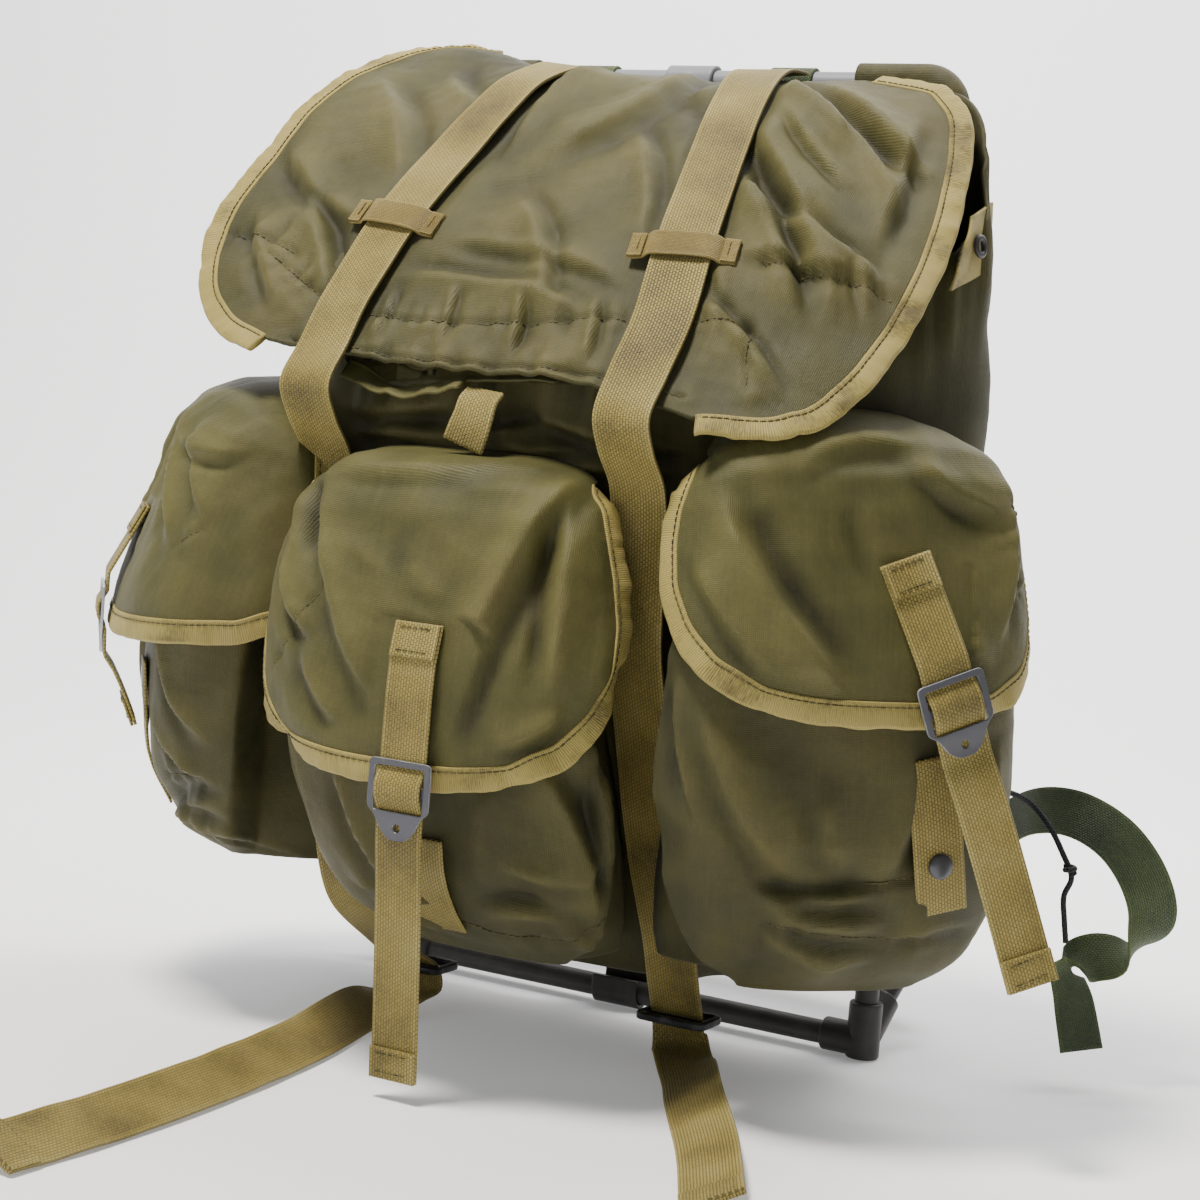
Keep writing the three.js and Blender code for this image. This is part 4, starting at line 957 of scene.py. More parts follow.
@dataclass
class Panel:
    """Cloth as a grid of points with its own flat places u across and v along, all in millimetres."""

    points: Array
    u: Array
    v: Array
    outward: Array
    wear: Array | None = None

    def normals(self) -> Array:
        """Unit normals, turned to the side that outward names as a point away from which they look."""
        n = normals_of(self.points)
        return n if ((self.points - self.outward) * n).sum() > 0 else -n

    def raised(self, relief: Array, tone: float = 0.11) -> "Panel":
        """The panel lifted along its normals; ridges are marked worn, and valleys get painted shade.

        Args:
            relief: millimetres at each place.
            tone: wear on ridges and painted shade in valleys, for each millimetre of relief.

        Returns:
            A new panel.
        """
        points = self.points + self.normals() * relief[..., None]
        wear = np.clip(relief * tone, -0.55, 0.5) + (0 if self.wear is None else self.wear)
        return Panel(points, self.u, self.v, self.outward, wear)

    def lay(self, line: Sequence[Sequence[float]], pitch: float = 2.0, lift: float = 0.0) -> tuple[Array, Array]:
        """A line of flat places laid on the cloth.

        The nearest grid point is found for each place, and the rest is the grid's own slope times what is left.

        Args:
            line: flat places u, v.
            pitch: step along the line.
            lift: how far it stands off.

        Returns:
            Points on the cloth and its normals there.
        """
        flat = np.asarray(line, float)
        flat = np.hstack([flat, np.zeros((len(flat), 1))])
        flat = resample(flat, max(4, int(arc_of(flat)[-1] / pitch)))[:, :2]
        rows, cols = self.u.shape
        away = (self.u.ravel()[None] - flat[:, :1]) ** 2 + (self.v.ravel()[None] - flat[:, 1:]) ** 2
        i, j = np.divmod(away.argmin(1), cols)
        i, j = np.clip(i, 1, rows - 2), np.clip(j, 1, cols - 2)
        ui, uj = (self.u[i + 1, j] - self.u[i - 1, j]) / 2, (self.u[i, j + 1] - self.u[i, j - 1]) / 2
        vi, vj = (self.v[i + 1, j] - self.v[i - 1, j]) / 2, (self.v[i, j + 1] - self.v[i, j - 1]) / 2
        det = ui * vj - uj * vi
        det = np.where(np.abs(det) < 1e-6, 1e-6, det)
        du, dv = flat[:, 0] - self.u[i, j], flat[:, 1] - self.v[i, j]
        a = np.clip((vj * du - uj * dv) / det, -2, 2)[:, None]
        b = np.clip((ui * dv - vi * du) / det, -2, 2)[:, None]
        p = self.points
        place = p[i, j] + a * (p[i + 1, j] - p[i - 1, j]) / 2 + b * (p[i, j + 1] - p[i, j - 1]) / 2
        n = self.normals()[i, j]
        return place + n * lift, n

    def grid(self) -> Grid:
        """The panel as an open grid with its flat places as its pattern."""
        return Grid(self.points, np.stack([self.u, self.v], -1), self.wear)


def seam_relief(u: Array, v: Array, line: Sequence[Sequence[float]], depth: float, width: float = 2.0,
                pucker: float = 0.0, reach: float = 11.0, seed: int = 5) -> Array:
    """Groove pressed in by a seam, with puckers across it.

    The distance to the seam is the least distance to its straight spans; the groove is a bell of it, and the
    puckers are a ripple along the seam under a wider bell.

    Args:
        u, v: flat places.
        line: the seam's corners.
        depth: of the groove.
        width: of the groove.
        pucker: height of the puckers.
        reach: how far they reach.
        seed: which seam.

    Returns:
        Relief in millimetres.
    """
    best = np.full(u.shape, 1e9)
    along = np.zeros(u.shape)
    walked = 0.0
    for a, b in zip(line[:-1], line[1:]):
        a, b = np.asarray(a, float), np.asarray(b, float)
        size = float(np.hypot(*(b - a)))
        run = (b - a) / size
        t = np.clip((u - a[0]) * run[0] + (v - a[1]) * run[1], 0, size)
        d = np.hypot(u - a[0] - t * run[0], v - a[1] - t * run[1])
        along = np.where(d < best, walked + t, along)
        best = np.minimum(best, d)
        walked += size
    groove = -depth * bump(best / width)
    if pucker:
        groove = groove + pucker * ripple(along, best * 0.25, 12, seed) * bump(best / reach)
    return groove


@dataclass
class TopFlap:
    """Top flap: its crest, its two edges and its outline, folds as the photograph shows, hem, darts and edge tape."""

    bench: Bench
    thickness: float = 2.2
    tape_width: float = 11.0
    tape_thickness: float = 3.0
    flat_size: tuple[float, float] = (0.372, 0.268)
    crest: tuple = ((-212, 334), (-205, 345), (-190, 366), (-170, 394), (-150, 420), (-120, 452), (-90, 480),
                    (-60, 502), (-35, 511), (-10, 513))
    edge_right: tuple = ((-212, 150, 318), (-185, 176, 326), (-150, 194, 352), (-110, 198, 396), (-80, 194, 430),
                         (-45, 184, 470), (-24, 176, 500), (-10, 168, 516))
    edge_left: tuple = ((-212, 150, 338), (-186, 180, 358), (-167, 202, 390), (-150, 200, 420), (-125, 194, 452),
                        (-105, 188, 478), (-75, 178, 500), (-45, 170, 514), (-10, 165, 520))
    rows: tuple = ((-11.6, -130, -26, 150, -26), (-22, -154, -37, 166, -36), (-40, -164, -58, 174, -54),
                   (-66, -172, -86, 181, -80), (-95, -180, -112, 184, -106), (-125, -188, -138, 183, -132),
                   (-152, -190, -160, 178, -156), (-176, -178, -176, 168, -178), (-193, -156, -187, 150, -194),
                   (-204, -128, -196, 120, -205))

    def height(self, x: Array, y: Array) -> Array:
        """Height over the plan: the crest, less the fall to the edge by the 2.6th power of the share across."""
        x, y = np.broadcast_arrays(np.asarray(x, float), np.asarray(y, float))
        crest = soft_table(self.crest, y, 1, 5)
        right = x > 0
        half = np.where(right, table(self.edge_right, y, 1), table(self.edge_left, y, 1))
        edge = np.where(right, soft_table(self.edge_right, y, 2, 5), soft_table(self.edge_left, y, 2, 5))
        share = np.minimum(np.abs(x) / half, 1.2)
        middle = -9 * bump(x / 70) * bump((y + 8) / 30)
        fold = 2.2 * np.sin(x / 21 + y / 26) * bump((y + 90) / 60)
        return crest - (crest - edge) * share**2.6 + middle + fold

    def normal(self, x: Array, y: Array) -> Array:
        """Upward normal of the plain flap."""
        dx = (self.height(x + 2, y) - self.height(x - 2, y)) / 4
        dy = (self.height(x, y + 2) - self.height(x, y - 2)) / 4
        return unit(np.stack([-dx, -dy, np.ones_like(dx)], -1))

    def panel(self, rows: int = 132, cols: int = 176) -> Panel:
        """The plain flap: rows of its outline table, each a parabola in plan from edge to edge."""
        at = np.linspace(0, len(self.rows) - 1, rows)
        index = np.arange(len(self.rows))
        t = np.asarray(self.rows, float)
        r = np.stack([np.interp(at, index, t[:, k]) for k in range(5)], 1)
        kernel = np.ones(9) / 9
        r = np.stack([np.convolve(np.pad(r[:, k], 4, mode="reflect", reflect_type="odd"), kernel, "valid")
                      for k in range(5)], 1)
        s = np.linspace(-1, 1, cols)[None]
        x = np.where(s < 0, -s * r[:, 1:2], s * r[:, 3:4])
        y = r[:, :1] + (np.where(s < 0, r[:, 2:3], r[:, 4:5]) - r[:, :1]) * s * s
        points = np.stack([x, y, self.height(x, y)], -1)
        return Panel(points, x, self.run_of(y), np.array([0.0, -60.0, 100.0]))

    def run_of(self, y: Array) -> Array:
        """Length down the crest from the back, for a place in plan."""
        line = np.linspace(-5, -230, 226)
        path = np.stack([line * 0, line, self.height(line * 0, line)], 1)
        return np.interp(-np.asarray(y, float), -line, arc_of(path))

    def flat(self, places: Sequence[tuple[float, float]]) -> list[tuple[float, float]]:
        """Places in plan, x and y, as flat places of the panel."""
        return [(x, float(self.run_of(y))) for x, y in places]

    def folds(self) -> list[Fold]:
        """The soft folds of the flap, from the photograph, with ends in plan."""
        spans = [
            ((150, -138), (36, -62), 13, 6.0, -8), ((62, -46), (168, -94), 10, 4.6, 6),
            ((60, -96), (144, -154), 9, 4.4, 6), ((176, -68), (98, -38), 9, 4.2, 4),
            ((96, -118), (174, -122), 8, 4.6, -8), ((160, -130), (108, -144), 6, 3.4, 2),
            ((18, -28), (-24, -122), 15, 4.2, 14), ((-46, -112), (-28, -38), 10, 4.4, 4),
            ((-66, -48), (-72, -132), 9, 3.6, 0), ((-150, -78), (-98, -132), 13, 4.4, 6),
            ((-108, -152), (-178, -118), 9, 3.8, 5), ((-118, -58), (-56, -92), 10, 3.0, -8),
            ((-64, -172), (44, -180), 7, 2.8, 4), ((56, -168), (-44, -158), 7, 2.6, -3),
            ((-20, -138), (22, -180), 8, 3.0, 6), ((100, -166), (152, -182), 7, 3.6, 3),
            ((108, -160), (60, -132), 6, 3.4, -4), ((150, -48), (162, -112), 8, 3.8, 3),
            ((-150, -140), (-96, -186), 8, 4.0, 3), ((-132, -182), (-172, -150), 7, 3.6, 2),
            ((84, -60), (130, -78), 6, 3.8, 3), ((140, -98), (92, -74), 6, 3.4, 3),
            ((20, -96), (58, -150), 9, 3.4, 5), ((-30, -176), (-26, -196), 4, 2.4, 1),
            ((10, -176), (16, -198), 4, 2.2, 1), ((50, -176), (58, -197), 4, 2.4, 1),
            ((84, -174), (92, -192), 4, 2.0, 1), ((-66, -178), (-64, -196), 4, 2.2, 1),
        ]
        return [Fold(*self.flat([a, b]), w, h, k) for a, b, w, h, k in spans]

    def seams(self) -> dict[str, list[tuple[float, float]]]:
        """Seam lines in plan: hem, hem end, darts and the line round the inner edge of the hem."""
        return {
            "hem": [(-150, -166), (-93, -185), (-40, -189), (20, -187), (80, -179), (127, -167)],
            "hem_end": [(127, -167), (138, -187)],
            "hem_low": [(-112, -196), (-40, -202), (40, -202), (112, -199)],
            "dart_left": [(-186, -157), (-160, -160), (-134, -166)],
            "dart_right": [(122, -144), (150, -136), (182, -124)],
        }

    def build(self) -> Panel:
        """Builds the flap, its two tapes and its thread.

        Returns:
            The finished panel, for what lies on it.
        """
        bench = self.bench
        plain = self.panel()
        u, v = plain.u, plain.v
        relief = relief_of(self.folds(), u, v)
        relief = relief + 0.9 * ripple(u, v, 70, 11) + 0.9 * crumple(u, v, 90, 12) + 0.35 * crumple(u, v, 38, 13)
        relief = relief + 0.12 * ripple(u, v, 9, 14)
        for key, places in self.seams().items():
            relief = relief + seam_relief(u, v, self.flat(places), 1.1, 1.8, 1.15 if "hem" in key else 1.2,
                                          10 if "hem" in key else 14, len(key))
        for side in Side:
            x = side.value * np.interp(-plain.points[..., 1], [40, 180], [60, 88])
            near = 1 - ramp(np.abs(u - x), 14, 25)
            relief = relief * (1 - 0.8 * near) - 0.9 * near
        rows, cols = u.shape
        columns = np.arange(cols)[None]
        relief = relief * (0.35 + 0.65 * np.clip(np.minimum(columns, cols - 1 - columns) / 8, 0, 1))
        curl = 10 * bump((u + 128) / 42) * bump((v - 24) / 26)
        # Painted shade: raised darkens the valleys and the band pressed down beside each long strap; ridges are marked
        # worn.
        panel = plain.raised(np.clip(1.35 * relief, -8.0, 9.0), 0.14)
        panel.points[..., 2] += curl
        piece = bench.site.mesh("top_flap_cloth", [panel.grid()], closed=False)
        solidify(piece, self.thickness)
        bench.dress(piece, bench.wardrobe.crown, "olive_cloth", ["top_flap"])
        area = np.linalg.norm(np.cross(np.diff(panel.points, axis=0)[:, :-1], np.diff(panel.points, axis=1)[:-1]),
                              axis=2).sum() * 1e-6
        area = min(area, self.flat_size[0] * self.flat_size[1])
        lines = [panel.lay(self.flat(p), lift=self.thickness / 2) for p in self.seams().values()]
        normals = panel.normals()
        for side in Side:
            col = 0 if side is Side.LEFT else cols - 1
            back = range(int(cols * (1 / 16 if side is Side.LEFT else 14 / 16)), col, -1 if col == 0 else 1)
            marks = [(0, j) for j in list(back)[::4]] + [(i, col) for i in range(0, rows, 2)]
            index = np.array(marks)
            border, up = panel.points[index[:, 0], index[:, 1]], normals[index[:, 0], index[:, 1]]
            grid, stitch, rise = tape_grid(border, up, np.array([0, -100, 440.0]), self.tape_width,
                                           self.tape_thickness, 20 + side.value)
            name = f"flap_binding_{side.name.lower()}"
            bench.make(name + "_tape", [grid], bench.wardrobe.tape, "tan_tape", [name])
            lines.append((stitch, rise))
        bench.stitches("flap_thread", lines, bench.wardrobe.thread, "olive_cloth", 3.3)
        LOG.info("top flap area %.4f m2", area)
        return panel


@dataclass
class MainBag:
    """Main bag: an upright loft with a flat back and rounded corners, gathered at the mouth under the flap."""

    bench: Bench
    flap: TopFlap
    bottom: float = 42.0
    half: float = 190.0
    wall: float = 2.0
    rim_clear: float = 13.0
    rows: tuple = ((42, 150, -86, 34), (60, 166, -100, 22), (90, 178, -116, 12), (120, 184, -130, 6),
                   (170, 189, -156, 2), (220, 190, -174, 0), (280, 191, -184, 0), (345, 190, -190, 0),
                   (400, 186, -180, 0), (440, 182, -160, 0), (520, 172, -150, 0))
    plan: tuple = ((0, 0), (0.3, 0), (0.62, 0), (0.87, 0.01), (0.99, 0.06), (1.045, 0.16), (1.045, 0.28),
                   (0.98, 0.42), (0.86, 0.57), (0.74, 0.69), (0.63, 0.8), (0.55, 0.89), (0.47, 0.915), (0.38, 0.97),
                   (0.2, 1), (0, 1))

    def outline(self, count: int | None = None) -> Array:
        """Plan shares all round from the back's middle: straight between the table's rows, or smoothed."""
        half = np.array(self.plan, float)
        ring = np.vstack([half, (half * [-1, 1])[-2:0:-1]])
        if count is None:
            return ring
        size = np.array([190.0, 182.0])
        closed = np.hstack([np.vstack([ring, ring[:1]]) * size, np.zeros((len(ring) + 1, 1))])
        return smooth_line(closed, count + 1)[:-1, :2] / size

    def place(self, share: Array, z: Array) -> Array:
        """Point of the bag at plan shares and a height: half width and depth by height, lower corners drawn in."""
        sx, sy = share[..., 0], share[..., 1]
        inset = table(self.rows, z, 3) * np.sin(np.pi * np.clip(sy, 0, 1)) * ramp(sy, 0.17, 0.24)
        x = np.abs(sx) * table(self.rows, z, 1) - inset * 0.74 * ramp(np.abs(sx), 0.44, 0.56)
        y = BACK_Y + (soft_table(self.rows, z, 2, 12) - BACK_Y) * sy
        y = y + inset * 0.3 * ramp(sy, 0.42, 0.48) * (1 - ramp(sy, 0.87, 0.93))
        return np.stack(np.broadcast_arrays(x * np.sign(sx), y, z), -1)

    def build(self) -> None:
        """Builds the bag's outer wall, its lip and its inner wall as one closed shell."""
        bench = self.bench
        share = self.outline(250)[None]
        up = np.linspace(0, 1, 130)[:, None]
        z = np.full((130, 250), 300.0)
        for _ in range(4):
            p = self.place(share, z)
            steep = 9 * np.clip((-p[..., 1] - 60) / 80, 0, 1)
            sides = 12 * np.abs(p[..., 0] / self.half) ** 4
            near = np.clip((-p[..., 1] - 12) / 30, 0, 1)
            rim = self.flap.height(p[..., 0], np.minimum(p[..., 1], -12)) - (1.8 + (self.rim_clear - 1.8) * near)
            z = self.bottom + (rim - steep - sides - self.bottom) * up
        p = self.place(share, z)
        ring = np.concatenate([p, p[:, :1]], 1)
        turn = lengths_along(ring, 1).mean(0)
        u = (turn[:-1] - turn[125])[None] + 0 * z
        out = unit(np.cross(np.roll(p, -1, 1) - np.roll(p, 1, 1), np.gradient(p, axis=0)))
        out = out * np.sign(((p - np.array([0, -90, 250.0])) * out).sum())
        back = ramp(p[..., 1], -40, -14)
        top = 1 - up
        relief = 1.4 * ripple(u, z, 80, 31) + 1.3 * crumple(u, z, 84, 32) + 0.5 * crumple(u, z, 38, 33)
        gather = bump(top / 0.09) * (1 - back)
        relief = relief + gather * (1.8 * np.sin(u / 3.1 + 1.5 * np.sin(u / 11)) + 0.9 * np.sin(u / 1.9))
        bunch = [Fold((-100, 318), (-24, 330), 7, 7.0, 4), Fold((60, 316), (-34, 324), 6, 6.0, -5),
                 Fold((-92, 306), (40, 309), 5, 4.4, 3), Fold((20, 330), (96, 322), 6, 5.4, 3),
                 Fold((-50, 313), (10, 310), 4, 4.4, 2), Fold((36, 312), (92, 308), 5, 4.4, -2)]
        bunch += [Fold((300, 480), (270, 380), 10, -2.6, 6), Fold((270, 470), (250, 390), 9, 2.6, -5),
                  Fold((330, 470), (300, 400), 8, 2.0, 4), Fold((-300, 480), (-270, 380), 10, -2.4, 6),
                  Fold((-330, 460), (-290, 380), 9, 2.2, -4)]
        relief = (relief + relief_of(bunch, u, z)) * (1 - 0.85 * back)
        relief = np.clip(relief, -7, 3.5 + 3.5 * bump((z - 320) / 14) * (1 - back)) - 0.6
        outer = p + out * relief[..., None]
        # Ridges paler with wear; valleys get painted shade.
        wear = np.clip(relief * 0.1, -0.4, 0.35)
        inner = outer[::-1] - out[::-1] * self.wall
        inner[..., 2] = np.maximum(inner[..., 2], self.bottom + self.wall)
        base = outer[:1]
        middle = base.mean(1, keepdims=True)
        under = np.concatenate([middle + (base - middle) * k for k in (0.3, 0.7, 0.93)])
        under[..., 2] = self.bottom + np.array([0.0, 0.0, -0.3])[:, None]
        floor = np.concatenate([middle + (inner[-1:] - middle) * k for k in (0.9, 0.5)])
        floor[..., 2] = self.bottom + self.wall
        points = np.concatenate([under, outer, inner, floor])
        # The inner wall is 0.2 darker than the outer: painted shade inside the bag.
        marks = np.concatenate([np.zeros((3, 250)), wear, wear[::-1] - 0.2, np.zeros((2, 250))])
        piece = bench.site.mesh("main_bag_cloth", [Grid(points, flat_pattern(points, True), marks, True, True)])
        bench.dress(piece, bench.wardrobe.olive, "olive_cloth", ["main_bag"])


POCKET_ROWS = ((0, 0.74, 0.62), (0.06, 0.88, 0.84), (0.2, 0.98, 0.98), (0.45, 1.02, 1), (0.7, 1, 0.95),
               (0.88, 0.95, 0.84), (1, 0.9, 0.7))
FLAP_DROP = ((0, 0.76, 0.06, 0.8), (0.03, 0.82, 0.4, 0.8), (0.1, 0.94, 0.74, 0.8), (0.22, 1, 0.96, 0.8),
             (0.36, 1.03, 1.03, 0.81), (0.52, 1.04, 1.04, 0.8), (0.68, 1.05, 1.04, 0.74), (0.82, 1.05, 1.04, 0.62),
             (0.93, 1.05, 1.035, 0.47), (1, 1.05, 1.03, 0.28))


@dataclass
class Pocket:
    """Outside pocket: a rounded bellows sewn to the bag, a flap with edge tape, a strap with its buckle.

    Lengths are millimetres in the pocket's own directions: a across, d out, z up. Half, depth, low and mouth are
    the body's; its lower front recedes and swings by skew, and only the sewn share of its width lies on the bag.
    The flap leaves the bag at the hinge and hangs by drop, its corners lower by crown, its hem out by flare. The
    strap starts at strap_top, runs through the buckle to the tail, and web is where it lies across at each. The
    anchor is the webbing behind it. Spread widens the flap's angle at its top and hem, on each side.
    """

    bench: Bench
    bag: MainBag
    seat: Seat
    x: float
    y: float
    turn: float
    half: float
    depth: float
    low: float
    mouth: float
    hinge: float
    drop: float
    crown: float
    recede: float
    swell: float
    sewn: float
    gap: float
    hem: float
    skew: float
    strap_top: float
    buckle: float
    tail: float
    web: tuple[float, float, float]
    flare: float
    ease: float
    tail_out: float
    top_out: float
    anchor: tuple[float, float]
    anchor_low: float
    anchor_out: float
    body_folds: tuple[Fold, ...] = ()
    flap_folds: tuple[Fold, ...] = ()
    body_seams: tuple = ()
    flap_seams: tuple = ()
    tape_starts: tuple[float, float] = (0.1, 0.1)
    spread: tuple = ((0.0, 0.0), (0.0, 0.0))
    cloth: float = 1.6
    arc: float = 1.5
    clear: float = 6.2
    bend: float = 220.0
    lean_table: Array | None = None

    def place(self, a: Array, d: Array, z: Array) -> Array:
        """The pocket's own directions as the pack's axes."""
        t = math.radians(self.turn)
        x = self.x + a * math.cos(t) + d * math.sin(t)
        y = self.y + a * math.sin(t) - d * math.cos(t)
        return np.stack(np.broadcast_arrays(x, y, z), -1)

    def lean(self, z: Array) -> Array:
        """How far out the bag stands behind the pocket: the most over the sewn width, read from a table of heights."""
        if self.lean_table is None:
            t = math.radians(self.turn)
            heights = np.arange(40.0, 372.0, 4.0)
            p = self.bag.place(self.bag.outline()[None], heights[:, None])
            dx, dy = p[..., 0] - self.x, p[..., 1] - self.y
            along = dx * math.cos(t) + dy * math.sin(t)
            out = dx * math.sin(t) - dy * math.cos(t)
            most = np.where(np.abs(along) < self.half * self.sewn + 8, out, -200).max(1)
            self.lean_table = np.stack([heights, most + self.gap], 1)
        return np.interp(z, self.lean_table[:, 0], self.lean_table[:, 1])

    def drawn_in(self, z: Array) -> Array:
        """How far the front recedes below the bend: a power of the share of the way down."""
        return self.recede * np.maximum(0, (self.bend - z) / (self.bend - self.low)) ** 1.4

    def body_at(self, z: Array) -> tuple[Array, Array]:
        """Half width and depth of the body at a height: shares by height, less the draw-in of the lower front."""
        share = (z - self.low) / (self.mouth - self.low)
        depth = self.depth - self.drawn_in(z) - self.lean(z)
        return (self.half * soft_table(POCKET_ROWS, share, 1, 0.04),
                depth * soft_table(POCKET_ROWS, share, 2, 0.04))

    def front_line(self, w: Array, d: Array, angle: Array) -> tuple[Array, Array]:
        """Super-ellipse front: sine and cosine to the power of one over arc."""
        s, c = np.sin(angle), np.maximum(np.cos(angle), 0)
        return w * np.sign(s) * np.abs(s) ** (1 / self.arc), d * c ** (1 / self.arc)

    def squeeze(self, f: Array, z: Array) -> Array:
        """Share of the width at a depth: narrow where it is sewn on, full where it swells past the long straps."""
        return self.sewn + (1 - self.sewn) * ramp(f + self.lean(z) + self.swell * self.drawn_in(z), 12, 34)

    def skew_at(self, z: Array) -> Array:
        """Sideways swing of the body toward its bottom."""
        return self.skew * np.maximum(0, (200 - z) / (200 - self.low)) ** 1.3

    def body(self) -> Panel:
        """The body's front as a panel from the left sewn edge to the right one, bottom to mouth."""
        z = np.linspace(self.low, self.mouth, int((self.mouth - self.low) / 2.2))[:, None]
        angle = np.linspace(-np.pi / 2, np.pi / 2, 124)
        angle = np.sign(angle) * (np.pi / 2) * (np.abs(angle) / (np.pi / 2)) ** 0.92
        w, d = self.body_at(z)
        a, f = self.front_line(w, d, angle[None])
        a = a * self.squeeze(f, z) + self.skew_at(z) * np.minimum(1, f / 20)
        p = self.place(a, np.maximum(f, 0) + self.lean(z), z)
        turn = lengths_along(p, 1)
        u = turn - turn[:, 62:63]
        return Panel(p, u, z + 0 * u, self.place(0, -60, 170.0))

    def build_body(self, seed: int) -> tuple[Panel, list]:
        """Builds the body as one closed shell with its inner wall, and its seam lines.

        Args:
            seed: which cloth.

        Returns:
            The front panel and the seam lines laid on it.
        """
        bench = self.bench
        plain = self.body()
        u, v = plain.u, plain.v
        relief = relief_of(self.body_folds, u, v)
        relief = 1.25 * relief + 1.3 * ripple(u, v, 76, seed) + 2.0 * crumple(u, v, 84, seed + 1) + 0.7 * crumple(
            u, v, 36, seed + 2) + 0.1 * ripple(u, v, 9, seed + 3)
        for k, line in enumerate(self.body_seams):
            relief = relief + seam_relief(u, v, line, 1.3, 1.8, 1.1, 13, seed + 5 + k)
        under = ramp(v, self.hinge - self.drop + 6, self.hinge - self.drop + 30)
        relief = np.clip(relief, -8, 6) * (1 - 0.8 * under) - 6.5 * under
        along = np.interp(v, [self.anchor_low, self.buckle - 26], self.anchor[::-1]) * 1.06
        band = bump((u - along) / 19) * ramp(v, self.anchor_low - 14, self.anchor_low) * (1 - under)
        relief = relief * (1 - band) - 0.9 * band
        low_edge = ramp(v, self.low, self.low + 14)
        sides = ramp(np.cos(np.linspace(-np.pi / 2, np.pi / 2, u.shape[1]))[None], 0.12, 0.4)
        # Through raised, valleys, the cloth under the flap and the strip under the anchor webbing get painted shade;
        # ridges are marked worn.
        panel = plain.raised(relief * (0.3 + 0.7 * low_edge) * sides)
        n = panel.normals()
        outer = panel.points
        back = np.linspace(1, 0, 20)[None, 1:-1, None]
        outer_ring = np.concatenate([outer, outer[:, :1] + (outer[:, -1:] - outer[:, :1]) * back], 1)
        inside = outer - n * self.cloth
        t = math.radians(self.turn)
        push = np.array([math.sin(t), -math.cos(t), 0.0]) * self.cloth
        inside_back = inside[:, :1] + (inside[:, -1:] - inside[:, :1]) * back + push
        inner_ring = np.concatenate([inside, inside_back], 1)[::-1].copy()
        inner_ring[..., 2] = np.maximum(inner_ring[..., 2], self.low + self.cloth)
        base = outer_ring[:1]
        middle = base.mean(1, keepdims=True)
        below = np.concatenate([middle + (base - middle) * k for k in (0.25, 0.6, 0.88, 0.97)])
        below[..., 2] = self.low + np.array([-0.5, -1.5, -1.8, -0.9])[:, None]
        floor = np.concatenate([middle + (inner_ring[-1:] - middle) * k for k in (0.9, 0.5)])
        floor[..., 2] = self.low + self.cloth
        points = np.concatenate([below, outer_ring, inner_ring, floor])
        side = np.zeros((len(outer), 18))
        wear = np.concatenate([panel.wear, side], 1)
        # The inner wall is 0.25 darker than the front: painted shade inside the pocket.
        wear = np.concatenate([np.zeros((4, wear.shape[1])), wear, wear[::-1] - 0.25, np.zeros((2, wear.shape[1]))])
        name = f"pocket_body_{self.seat.value}"
        piece = bench.site.mesh(name + "_cloth", [Grid(points, flat_pattern(points, True), wear, True, True)])
        bench.dress(piece, bench.wardrobe.olive, "olive_cloth", [name])
        return panel, [panel.lay(line, lift=0.1) for line in self.body_seams]

    def flap(self, rows: int = 84, cols: int = 112) -> Panel:
        """The flap: it leaves the bag at the hinge, arches over the body and hangs in front of it."""
        share = np.linspace(0, 1, rows)[:, None] ** 1.08
        s = np.linspace(-1, 1, cols)[None]
        top = np.maximum(0, 1 - share / 0.5)
        z = self.hinge - share * self.drop - self.crown * np.abs(s) ** 2.2 * top
        level = self.mouth - 8.0
        w, d = self.body_at(z - 9 * np.log1p(np.exp(np.clip((z - level) / 9, -30, 30))))
        read = [soft_table(FLAP_DROP, share, k, 0.018) for k in (1, 2, 3)]
        read[1] = np.where(share < 0.05, table(FLAP_DROP, share, 2), read[1])
        upper, lower = (np.where(s < 0, pair[0], pair[1]) for pair in self.spread)
        wider = upper + (lower - upper) * ramp(share, 0.45, 0.95)
        a, f = self.front_line(w * read[0], d * read[1] + self.ease, s * (read[2] + wider) * np.pi / 2)
        sag = np.where(share > 0.9, 5 * (1 - s * s) * (share - 0.9) * 10, 0)
        flare = self.flare * np.maximum(0, (share - 0.35) / 0.65) ** 1.5 * (1 - s * s)
        out = f + self.lean(z) + 3.0 + flare
        start = self.lean(z) - self.hem
        out = start + (out - start) * ramp(share, -0.012, 0.03)
        p = self.place(a, out, z - sag)
        turn = lengths_along(p, 1)
        u = turn - turn[:, cols // 2:cols // 2 + 1]
        return Panel(p, u, z - sag, self.place(0, -40, self.hinge - 90.0))

